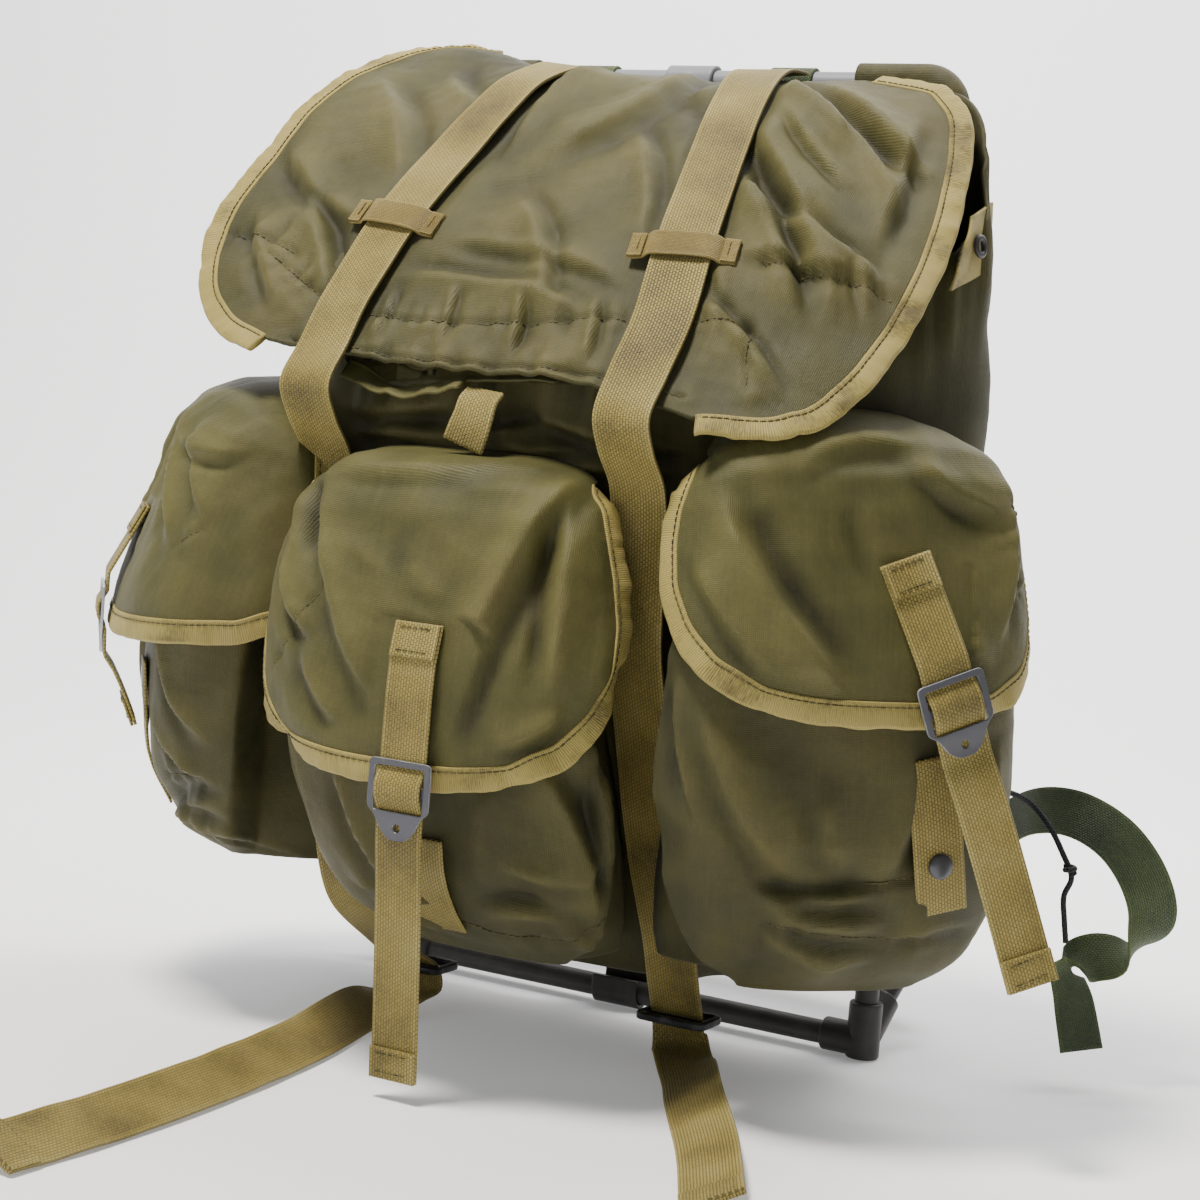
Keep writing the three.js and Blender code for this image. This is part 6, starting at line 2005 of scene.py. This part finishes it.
@dataclass
class MapPocket:
    """The thin sheet under the flap's front, its taped mouth and its pull tab; with the tan tab at the side."""

    bench: Bench
    panel: Panel

    def build(self) -> None:
        """Builds the sheet, its tape, the pull tab, and the side tab with its ring eyelet."""
        bench = self.bench
        rows, cols = self.panel.u.shape
        first, left, right = int(rows * 7 / 11), int(cols * 3 / 16), int(cols * 11 / 16)
        cut = (slice(first, rows - 1), slice(left, right))
        n = self.panel.normals()[cut]
        down = np.linspace(0, 1, n.shape[0])[:, None]
        sag = np.linspace(-1, 1, n.shape[1])[None]
        drop = 2.4 + down**2 * (2.4 + 12 * bump((sag + 0.5) / 0.55))
        points = self.panel.points[cut] - n * drop[..., None]
        kernel = np.ones(15) / 15
        for k in range(3):
            points[..., k] = np.stack([np.convolve(np.pad(row, 7, mode="reflect", reflect_type="odd"), kernel, "valid")
                                       for row in points[..., k]])
        # The sheet's wear of -0.1 darkens it under the flap's hem: painted shade.
        sheet = Grid(points, np.stack([self.panel.u[cut], self.panel.v[cut]], -1), drop * 0 - 0.1)
        piece = bench.site.mesh("map_pocket_cloth", [sheet], closed=False)
        solidify(piece, 1.2)
        bench.dress(piece, bench.wardrobe.crown, "olive_flap", ["map_pocket_sheet"])
        edge = points[-1, :int(n.shape[1] * 0.62)]
        tape, _, _ = tape_grid(edge[::3], n[-1, :len(edge)][::3], np.array([0, -100, 440.0]), 8.0, 2.0, 83, 3.0, 0.05)
        # The tape is drawn in the darker olive flap finish rather than tan: painted shade under the hem.
        bench.make("map_pocket_tape", [tape], bench.wardrobe.flap, "olive_flap")
        tab = [[7, -201, 337, 1, 0, 0], [6, -206, 332, 1, 0, 0], [5, -208, 324, 1, 0, 0], [0, -207, 310, 1, 0.1, 0]]
        bench.make("map_pocket_tab_web", [strap_grid(tab, 22, 2.2, 0.2, 5)], bench.wardrobe.webbing, "tan_webbing",
                   ["map_pocket_tab"])
        corner = [np.array(p, float) for p in ((188, -30, 450), (193, -38, 416), (192, -64, 440), (195, -92, 402))]
        v, u = np.linspace(0, 1, 40)[:, None, None], np.linspace(0, 1, 36)[None, :, None]
        patch = (corner[0] * (1 - v) + corner[1] * v) * (1 - u) + (corner[2] * (1 - v) + corner[3] * v) * u
        out = normals_of(patch)
        out = out * np.sign(out[..., :1])
        pattern = flat_pattern(patch)
        crease = 0.5 * ripple(pattern[..., 0], pattern[..., 1], 22, 91)
        patch = patch + out * crease[..., None]
        # Creases set the tab's wear: raised ridges paler, dips with painted shade.
        piece = bench.site.mesh("side_tab_cloth", [Grid(patch, pattern, crease * 0.5)], closed=False)
        solidify(piece, 1.6)
        bench.dress(piece, bench.wardrobe.tape, "tan_tape", ["side_tab"])
        ring = ((2.6, -0.6), (2.6, 0.8), (3.4, 1.5), (4.6, 1.6), (5.7, 1.0), (6, 0), (5.5, -0.6), (2.6, -0.6))
        marks = [0.1] * len(ring)
        eye = turned_grid(ring, np.array([194.9, -58, 426.0]), np.array([1.0, -0.12, 0.1]), marks)
        bench.make("side_eyelet_ring", [eye], bench.wardrobe.black, "black_metal", ["side_eyelet"])


# ---- harness


SIM_FRAMES = 20
SIM_STIFFNESS = 25.0
PAD_VOXEL = 4.5
PAD_PRESSURE = 4.0
PAD_CAP = 6.0


def stuffed(piece: bpy.types.Object, voxel: float, pressure: float, cap: float) -> None:
    """Fills a closed pad by a cloth simulation: even mesh, pressure without weight, 20 frames, movement capped.

    Args:
        piece: a closed mesh, a little smaller than the pad is to be.
        voxel: size of the even mesh, millimetres.
        pressure: the simulation's pressure.
        cap: how far a point may move, millimetres.
    """
    def replace(made: bpy.types.Object) -> bpy.types.Mesh:
        """The piece's evaluated mesh as a new mesh."""
        graph = bpy.context.evaluated_depsgraph_get()
        return bpy.data.meshes.new_from_object(made.evaluated_get(graph))

    even = piece.modifiers.new("even", "REMESH")
    even.mode, even.voxel_size, even.use_smooth_shade = "VOXEL", voxel * 0.001, True
    data = replace(piece)
    piece.modifiers.remove(even)
    piece.data = data
    count = len(data.vertices)
    start = np.zeros(count * 3)
    data.vertices.foreach_get("co", start)
    cloth = piece.modifiers.new("fill", "CLOTH")
    cloth.settings.use_pressure = True
    cloth.settings.uniform_pressure_force = pressure
    cloth.settings.effector_weights.gravity = 0.0
    cloth.settings.quality = 5
    cloth.settings.tension_stiffness = SIM_STIFFNESS
    cloth.settings.compression_stiffness = SIM_STIFFNESS
    cloth.settings.bending_stiffness = 0.3
    cloth.point_cache.frame_start, cloth.point_cache.frame_end = 1, SIM_FRAMES
    scene = bpy.context.scene
    for frame in range(1, SIM_FRAMES + 1):
        scene.frame_set(frame)
    filled = replace(piece)
    piece.modifiers.remove(cloth)
    moved = np.zeros(count * 3)
    filled.vertices.foreach_get("co", moved)
    scene.frame_set(1)
    step = (moved - start).reshape(-1, 3)
    size = np.linalg.norm(step, axis=1, keepdims=True)
    step = step * np.minimum(1, cap * 0.001 / np.maximum(size, 1e-9))
    data.vertices.foreach_set("co", (start.reshape(-1, 3) + step).astype(np.float32).ravel())
    bpy.data.meshes.remove(filled)
    data.polygons.foreach_set("use_smooth", np.ones(len(data.polygons), bool))


def box_pattern(piece: bpy.types.Object) -> None:
    """Pattern map of a remeshed pad: its X and Z as they lie, and a wear of nought."""
    data = piece.data
    co = np.zeros(len(data.vertices) * 3)
    data.vertices.foreach_get("co", co)
    co = co.reshape(-1, 3)
    corner = np.zeros(len(data.loops), np.int32)
    data.loops.foreach_get("vertex_index", corner)
    layer = data.uv_layers.new(name="cloth")
    layer.data.foreach_set("uv", co[corner][:, [0, 2]].astype(np.float32).ravel())
    mark = data.attributes.new("wear", "FLOAT", "POINT")
    mark.data.foreach_set("value", np.zeros(len(data.vertices), np.float32))


@dataclass
class Harness:
    """Shoulder pads, kidney pad, their webbing and the waist straps."""

    bench: Bench
    tubes: FrameTubes

    def pad(self, name: str, line: Array, sides: Array, width: float, thickness: float, node: str) -> None:
        grid = webbing_grid(line, sides, width, thickness)
        piece = self.bench.site.mesh(name, [grid])
        stuffed(piece, PAD_VOXEL, PAD_PRESSURE, PAD_CAP)
        box_pattern(piece)
        subdivide(piece)
        self.bench.dress(piece, self.bench.wardrobe.pad, "olive_pad", [node])

    def build_shoulder(self, side: Side) -> None:
        """Builds one shoulder strap: pad, loop round the top bar, webbing down to the clamp."""
        k, word = side.value, side.name.lower()
        pad = [(62, 16, 480, 1, 0, 0), (66, 34, 440, 1, 0, 0), (74, 56, 390, 1, 0, 0), (84, 68, 330, 1, 0, 0),
               (96, 64, 270, 1, -0.1, 0), (108, 50, 215, 1, -0.2, 0)]
        line = smooth_line([(k * x, y, z, a, k * b, c) for x, y, z, a, b, c in pad], 90)
        self.pad(f"shoulder_pad_{word}_foam", line[3:-3, :3], line[3:-3, 3:], 51, 7, f"shoulder_pad_{word}")
        r = TUBE_R + FIT + 0.8
        a = np.linspace(math.pi * 1.25, 0, 26)
        stops = [[k * 60, r * math.cos(t), self.tubes.top + r * math.sin(t), 1, 0, 0] for t in a]
        stops += [[k * x, r + y, self.tubes.top + z, 1, 0, 0] for x, y, z in
                  ((60.4, 0.6, -10), (61.4, 0.8, -26), (61.6, 2, -33), (62.4, 7.5, -46))]
        low = [(108.6, 49.4, 212.4, 1, -0.2, 0), (120, 38, 165, 1, -0.2, 0), (136, 20, 108, 1, -0.1, 0),
               (145, 8.6, 74, 1, 0, 0), (146, 7.7, 50, 1, 0, 0)]
        low = [[k * x, y, z, p, k * q, s] for x, y, z, p, q, s in low]
        for word2, grid in (("loop", strap_grid(stops, WEB, 1.6, smooth=False)), ("lower", strap_grid(low, WEB, 1.6))):
            node = f"shoulder_{word2}_{word}"
            self.bench.make(node + "_web", [grid], self.bench.wardrobe.green, "green_webbing", [node])

    def build(self) -> None:
        """Builds the harness."""
        bench = self.bench
        for side in Side:
            self.build_shoulder(side)
        path = self.tubes.bow_path()
        path = resample(path, 400)[60:340:3]
        run = unit(np.gradient(path, axis=0))
        out = unit(np.stack([run[:, 1], -run[:, 0], run[:, 0] * 0], 1))
        way = np.where(out[:, 0] * path[:, 0] + out[:, 1] * (path[:, 1] - 30) < 0, -1.0, 1.0)
        line = path + out * (way * (TUBE_R + FIT + 4))[:, None]
        line[:, 2] = 70
        self.pad("kidney_pad_foam", line[2:-2], np.broadcast_to([0, 0, 1.0], line[2:-2].shape), 79, 5, "kidney_pad")
        right = [[165.9, 78, 92, 0, 0, 1], [190, 66, 122, 0, 0.1, 1], [216, 48, 138, 0, 0.4, 1],
                 [241, 40, 140, 0.1, 0.6, 1], [263, 40, 130, 0.5, 0.6, 0.8], [279, 42, 110, 0.8, 0.5, 0.4],
                 [283, 46, 90, 0.8, 0.6, 0.2], [272, 48, 70, 0.2, 0.9, 0.6], [254, 44, 66, 0, 0.5, 1],
                 [244, 36, 60, 0.2, 0.9, 0.2], [250, 32, 44, 0.5, 0.8, 0], [258, 28, 20, 0.6, 0.8, 0.1]]
        left = [[-162.2, 62, 96, 0, 1, 0], [-162.6, 61, 70, 0, 1, 0], [-168, 64, 40, 0, 1, 0],
                [-173, 66, 4, 0, 1, 0]]
        for word, stops in (("right", right), ("left", left)):
            node = f"waist_strap_{word}"
            bench.make(node + "_web", [strap_grid(stops, 26, 1.6)], bench.wardrobe.green, "green_webbing", [node])


@dataclass
class ReleaseCord:
    """Thin black cord at the right side, knotted near its end."""

    bench: Bench
    radius: float = 1.5
    stops: tuple = ((196.9, -40, 160), (212, -20, 157), (226, 2, 149), (238, 2, 138), (246, 2, 126), (252, 2, 114),
                    (249, 2, 104), (250, 3, 92), (252, 3, 80))

    def build(self) -> None:
        path = smooth_line(self.stops, 160)
        piece = self.bench.site.mesh("release_cord_braid", [round_tube(path, self.radius, 16)])
        t = np.linspace(0, 2 * np.pi * 1.5, 60)
        middle = path[112]
        coil = middle + np.stack([2.4 * np.cos(t), 2.4 * np.sin(t), 3.2 * (t / t[-1] - 0.5)], 1)
        knot = self.bench.site.mesh("release_cord_knot", [round_tube(coil, 1.4, 14)])
        braid = self.bench.wardrobe.braid
        self.bench.dress(piece, braid, "black_cord", ["release_cord"])
        self.bench.dress(knot, braid, "black_cord")
        route = self.bench.site.put(path)


# ---- studio


@dataclass
class Studio:
    """Plain pale floor and sweep, soft light and the camera of the photograph."""

    site: Site
    eye: tuple[float, float, float] = (646.327, -1231.717, 346.633)
    azimuth: float = 28.87
    elevation: float = 4.964
    roll: float = 4.557
    lens: float = 75.83
    world_strength: float = 0.33
    lamps: tuple = (
        ("key", (-350, -800, 2300), 480, 92, "fff8ee", (0, -100, 260)),
        ("fill", (-1500, -1600, 1000), 1200, 9, "f4f6ff", (0, -100, 260)),
        ("rim", (500, 1000, 1700), 1200, 20, "fffaf2", (0, -100, 260)),
        ("wall", (200, 500, 1500), 900, 40, "ffffff", (-700, 1750, 700)))

    def axes(self) -> tuple[Array, Array, Array]:
        """Right, up and forward of the camera: azimuth and elevation, then a turn by the roll."""
        a, e, r = (math.radians(k) for k in (self.azimuth, self.elevation, self.roll))
        forward = -np.array([math.sin(a) * math.cos(e), -math.cos(a) * math.cos(e), math.sin(e)])
        right = unit(np.cross(forward, [0, 0, 1.0]))
        up = np.cross(right, forward)
        return (right * math.cos(r) + up * math.sin(r), -right * math.sin(r) + up * math.cos(r), forward)

    def camera(self) -> None:
        """Makes the camera."""
        right, up, forward = self.axes()
        data = bpy.data.cameras.new("camera")
        data.lens, data.sensor_width = self.lens, 36.0
        data.clip_start, data.clip_end = 0.05, 30.0
        camera = bpy.data.objects.new("camera", data)
        place = self.site.put(np.array(self.eye))
        camera.matrix_world = Matrix([[right[k], up[k], -forward[k], place[k]] for k in range(3)] + [[0, 0, 0, 1]])
        bpy.context.scene.collection.objects.link(camera)
        bpy.context.scene.camera = camera

    def sweep(self) -> bpy.types.Object:
        """Floor that curves up into a back wall: a quarter circle between two planes."""
        a = np.linspace(0, np.pi / 2, 24)
        run = np.concatenate([[-4000], 900 + 900 * np.sin(a), [1800]])
        rise = np.concatenate([[0], 900 - 900 * np.cos(a), [4200]]) - 0.4
        x = np.linspace(-4200, 4200, 8)
        points = np.stack(np.broadcast_arrays(x[None, :], run[:, None], rise[:, None]), -1)
        away = np.radians(self.azimuth)
        turned = points.copy()
        turned[..., 0] = points[..., 0] * math.cos(away) - points[..., 1] * math.sin(away)
        turned[..., 1] = points[..., 0] * math.sin(away) + points[..., 1] * math.cos(away)
        return self.site.mesh("studio_sweep", [Grid(turned, flat_pattern(turned))], closed=False)

    def lamp(self, name: str, place: Sequence[float], size: float, power: float, colour: str,
             target: Sequence[float]) -> None:
        """Square area lamp aimed at a place, millimetres."""
        data = bpy.data.lights.new(name, "AREA")
        data.size, data.energy, data.color = size * 0.001, power, linear(colour)[:3]
        lamp = bpy.data.objects.new(name, data)
        back = unit(np.array(place, float) - np.array(target, float))
        side = unit(np.cross([0, 0, 1.0], back))
        up = np.cross(back, side)
        at = self.site.put(np.array(place, float))
        lamp.matrix_world = Matrix([[side[k], up[k], back[k], at[k]] for k in range(3)] + [[0, 0, 0, 1]])
        bpy.context.scene.collection.objects.link(lamp)

    def light(self, wardrobe: "Wardrobe") -> None:
        """Sweep, soft lamps on the pack, one on the wall, and a pale world."""
        floor = self.sweep()
        floor.data.materials.append(wardrobe.get(Plaster("studio_plaster", "f4f4f6", 0.9)))
        for row in self.lamps:
            self.lamp(*row)
        world = bpy.data.worlds.new("studio")
        world.use_nodes = True
        ground = next(n for n in world.node_tree.nodes if n.type == "BACKGROUND")
        ground.inputs["Color"].default_value = linear("dfe3e8")
        ground.inputs["Strength"].default_value = self.world_strength
        bpy.context.scene.world = world


def pocket_set(bench: Bench, bag: MainBag) -> dict[Seat, Pocket]:
    """The three pockets with their measures, folds and seams, by seat."""
    centre = Pocket(
        bench, bag, Seat.CENTRE, x=-3, y=-186, turn=0, half=98, depth=58, low=62, mouth=272, hinge=308, drop=142,
        crown=10, recede=28, swell=1.57, sewn=0.68, gap=1.4, hem=0.9, skew=14, strap_top=228, buckle=150, tail=10,
        web=(14, 14, 14), flare=4, ease=4, tail_out=16, top_out=2.9, anchor=(10, 10), anchor_low=76, anchor_out=2,
        body_folds=(Fold((-52, 160), (-20, 92), 10, 4.4, 5), Fold((-92, 176), (-80, 110), 9, 3.6, -4),
                    Fold((80, 100), (62, 168), 10, 5.0, 6), Fold((100, 168), (94, 108), 9, 4.2, 4),
                    Fold((40, 116), (92, 124), 7, 3.6, 6), Fold((-54, 94), (10, 84), 6, 3.6, -3),
                    Fold((16, 92), (60, 98), 6, -5.2, -4), Fold((-44, 84), (24, 72), 7, 3.0, 3),
                    Fold((84, 80), (100, 96), 5, -4.0, 0), Fold((34, 150), (26, 104), 8, 3.4, 3)),
        flap_folds=(Fold((28, 178), (68, 304), 12, 6.6, -4), Fold((70, 284), (77, 204), 9, 6.2, 0),
                    Fold((-68, 290), (-8, 186), 10, 5.0, 6), Fold((-80, 286), (-68, 252), 9, -5.5, 0),
                    Fold((-84, 250), (-58, 216), 8, 4.2, 3), Fold((98, 196), (108, 268), 8, 4.0, 3),
                    Fold((52, 176), (84, 196), 7, 4.0, 3), Fold((-58, 206), (-30, 178), 8, 3.4, 3),
                    Fold((-8, 262), (16, 238), 9, 2.6, 3), Fold((-60, 296), (30, 303), 7, 2.4, 3)),
        body_seams=(((-40, 92), (-6, 84), (22, 78), (56, 76), (78, 88), (96, 104)),),
        flap_seams=(((-52, 240), (-66, 216), (-84, 196)),), tape_starts=(0.12, 0.02))
    right = Pocket(
        bench, bag, Seat.RIGHT, x=154, y=-122, turn=47.9, half=93, depth=74, low=65, mouth=292, hinge=342, drop=126,
        crown=26, recede=14, swell=1, sewn=0.68, gap=1.4, hem=2.1, skew=15, strap_top=277, buckle=212, tail=88,
        web=(9, 34, 74), flare=2, ease=4, tail_out=44, top_out=3.7, anchor=(30, 48), anchor_low=112, anchor_out=1.2,
        body_folds=(Fold((0, 128), (10, 200), 12, 4.6, 8), Fold((-84, 196), (-44, 128), 10, 4.4, 4),
                    Fold((-100, 214), (-88, 150), 8, 4.0, 3), Fold((66, 190), (58, 124), 9, 3.8, 4),
                    Fold((-58, 124), (-2, 127), 6, -4.4, 3), Fold((-50, 104), (2, 90), 6, -4.6, 4),
                    Fold((0, 106), (-54, 115), 7, 4.6, -3), Fold((10, 100), (60, 104), 7, 3.0, -3),
                    Fold((-30, 170), (-18, 132), 9, 3.0, 3), Fold((84, 150), (88, 110), 7, -3.4, 3)),
        flap_folds=(Fold((-26, 218), (-80, 296), 12, 6.8, -6), Fold((-92, 266), (-56, 224), 8, 3.2, 3),
                    Fold((58, 246), (65, 314), 9, 5.4, 3), Fold((10, 322), (58, 300), 9, 3.0, 3),
                    Fold((-40, 318), (14, 328), 8, 2.8, -4), Fold((22, 262), (52, 232), 8, 3.0, 4),
                    Fold((-14, 300), (2, 262), 9, 2.4, 3)),
        body_seams=(((-12, 125), (10, 128), (44, 129)), ((-54, 104), (-10, 98), (30, 96))),
        flap_seams=(((64, 305), (70, 280), (80, 262)),))
    left = Pocket(
        bench, bag, Seat.LEFT, x=-154, y=-125, turn=-47.9, half=97, depth=76, low=84, mouth=284, hinge=336, drop=124,
        crown=24, recede=12, swell=0, sewn=0.58, gap=0.5, hem=1.8, skew=0, strap_top=262, buckle=206, tail=146,
        web=(0, -2, -6), flare=9, ease=5.5, tail_out=14, top_out=2.9, anchor=(-4, -5), anchor_low=104, anchor_out=2,
        body_folds=(Fold((40, 206), (84, 150), 9, 4.2, 5), Fold((30, 160), (80, 128), 8, 4.2, 4),
                    Fold((-60, 130), (-50, 204), 10, 4.0, 4), Fold((4, 170), (10, 116), 8, 3.4, -3),
                    Fold((80, 118), (20, 100), 7, 4.0, 3), Fold((34, 112), (76, 108), 6, -4.0, 2)),
        flap_folds=(Fold((28, 318), (64, 250), 9, 5.2, 5), Fold((56, 306), (84, 262), 8, 4.4, 4),
                    Fold((-60, 240), (-40, 312), 10, 4.2, 4), Fold((8, 306), (18, 236), 8, 3.6, 3),
                    Fold((40, 300), (90, 296), 7, 3.0, 3)),
        body_seams=(((30, 124), (52, 126), (74, 128)), ((20, 104), (50, 96), (70, 92))),
        flap_seams=(((70, 246), (84, 256)),), spread=((0.0, 0.2), (0.1, 0.5)))
    return {p.seat: p for p in (centre, right, left)}


def main() -> None:
    """Builds the pack in order, from the camera and the cord to the pockets."""
    logging.basicConfig(level=logging.INFO, format="%(name)s %(message)s")
    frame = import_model()
    site = Site.from_loop()
    wardrobe = Wardrobe()
    LOG.info("%d CAD nodes", len(frame["nodes"]))
    bench = Bench(site, wardrobe)
    studio = Studio(site)
    studio.camera()
    ReleaseCord(bench).build()
    tubes = FrameTubes(bench)
    tubes.build()
    flap = TopFlap(bench)
    bag = MainBag(bench, flap)
    bag.build()
    panel = flap.build()
    MapPocket(bench, panel).build()
    Envelopes(bench).build()
    LongStraps(bench, flap).build()
    pockets = pocket_set(bench, bag)
    for k, pocket in enumerate(pockets.values()):
        pocket.build(100 + 100 * k)
    Hardware(bench, pockets).build()
    Harness(bench, tubes).build()
    studio.light(wardrobe)


if __name__ == "__main__":
    main()
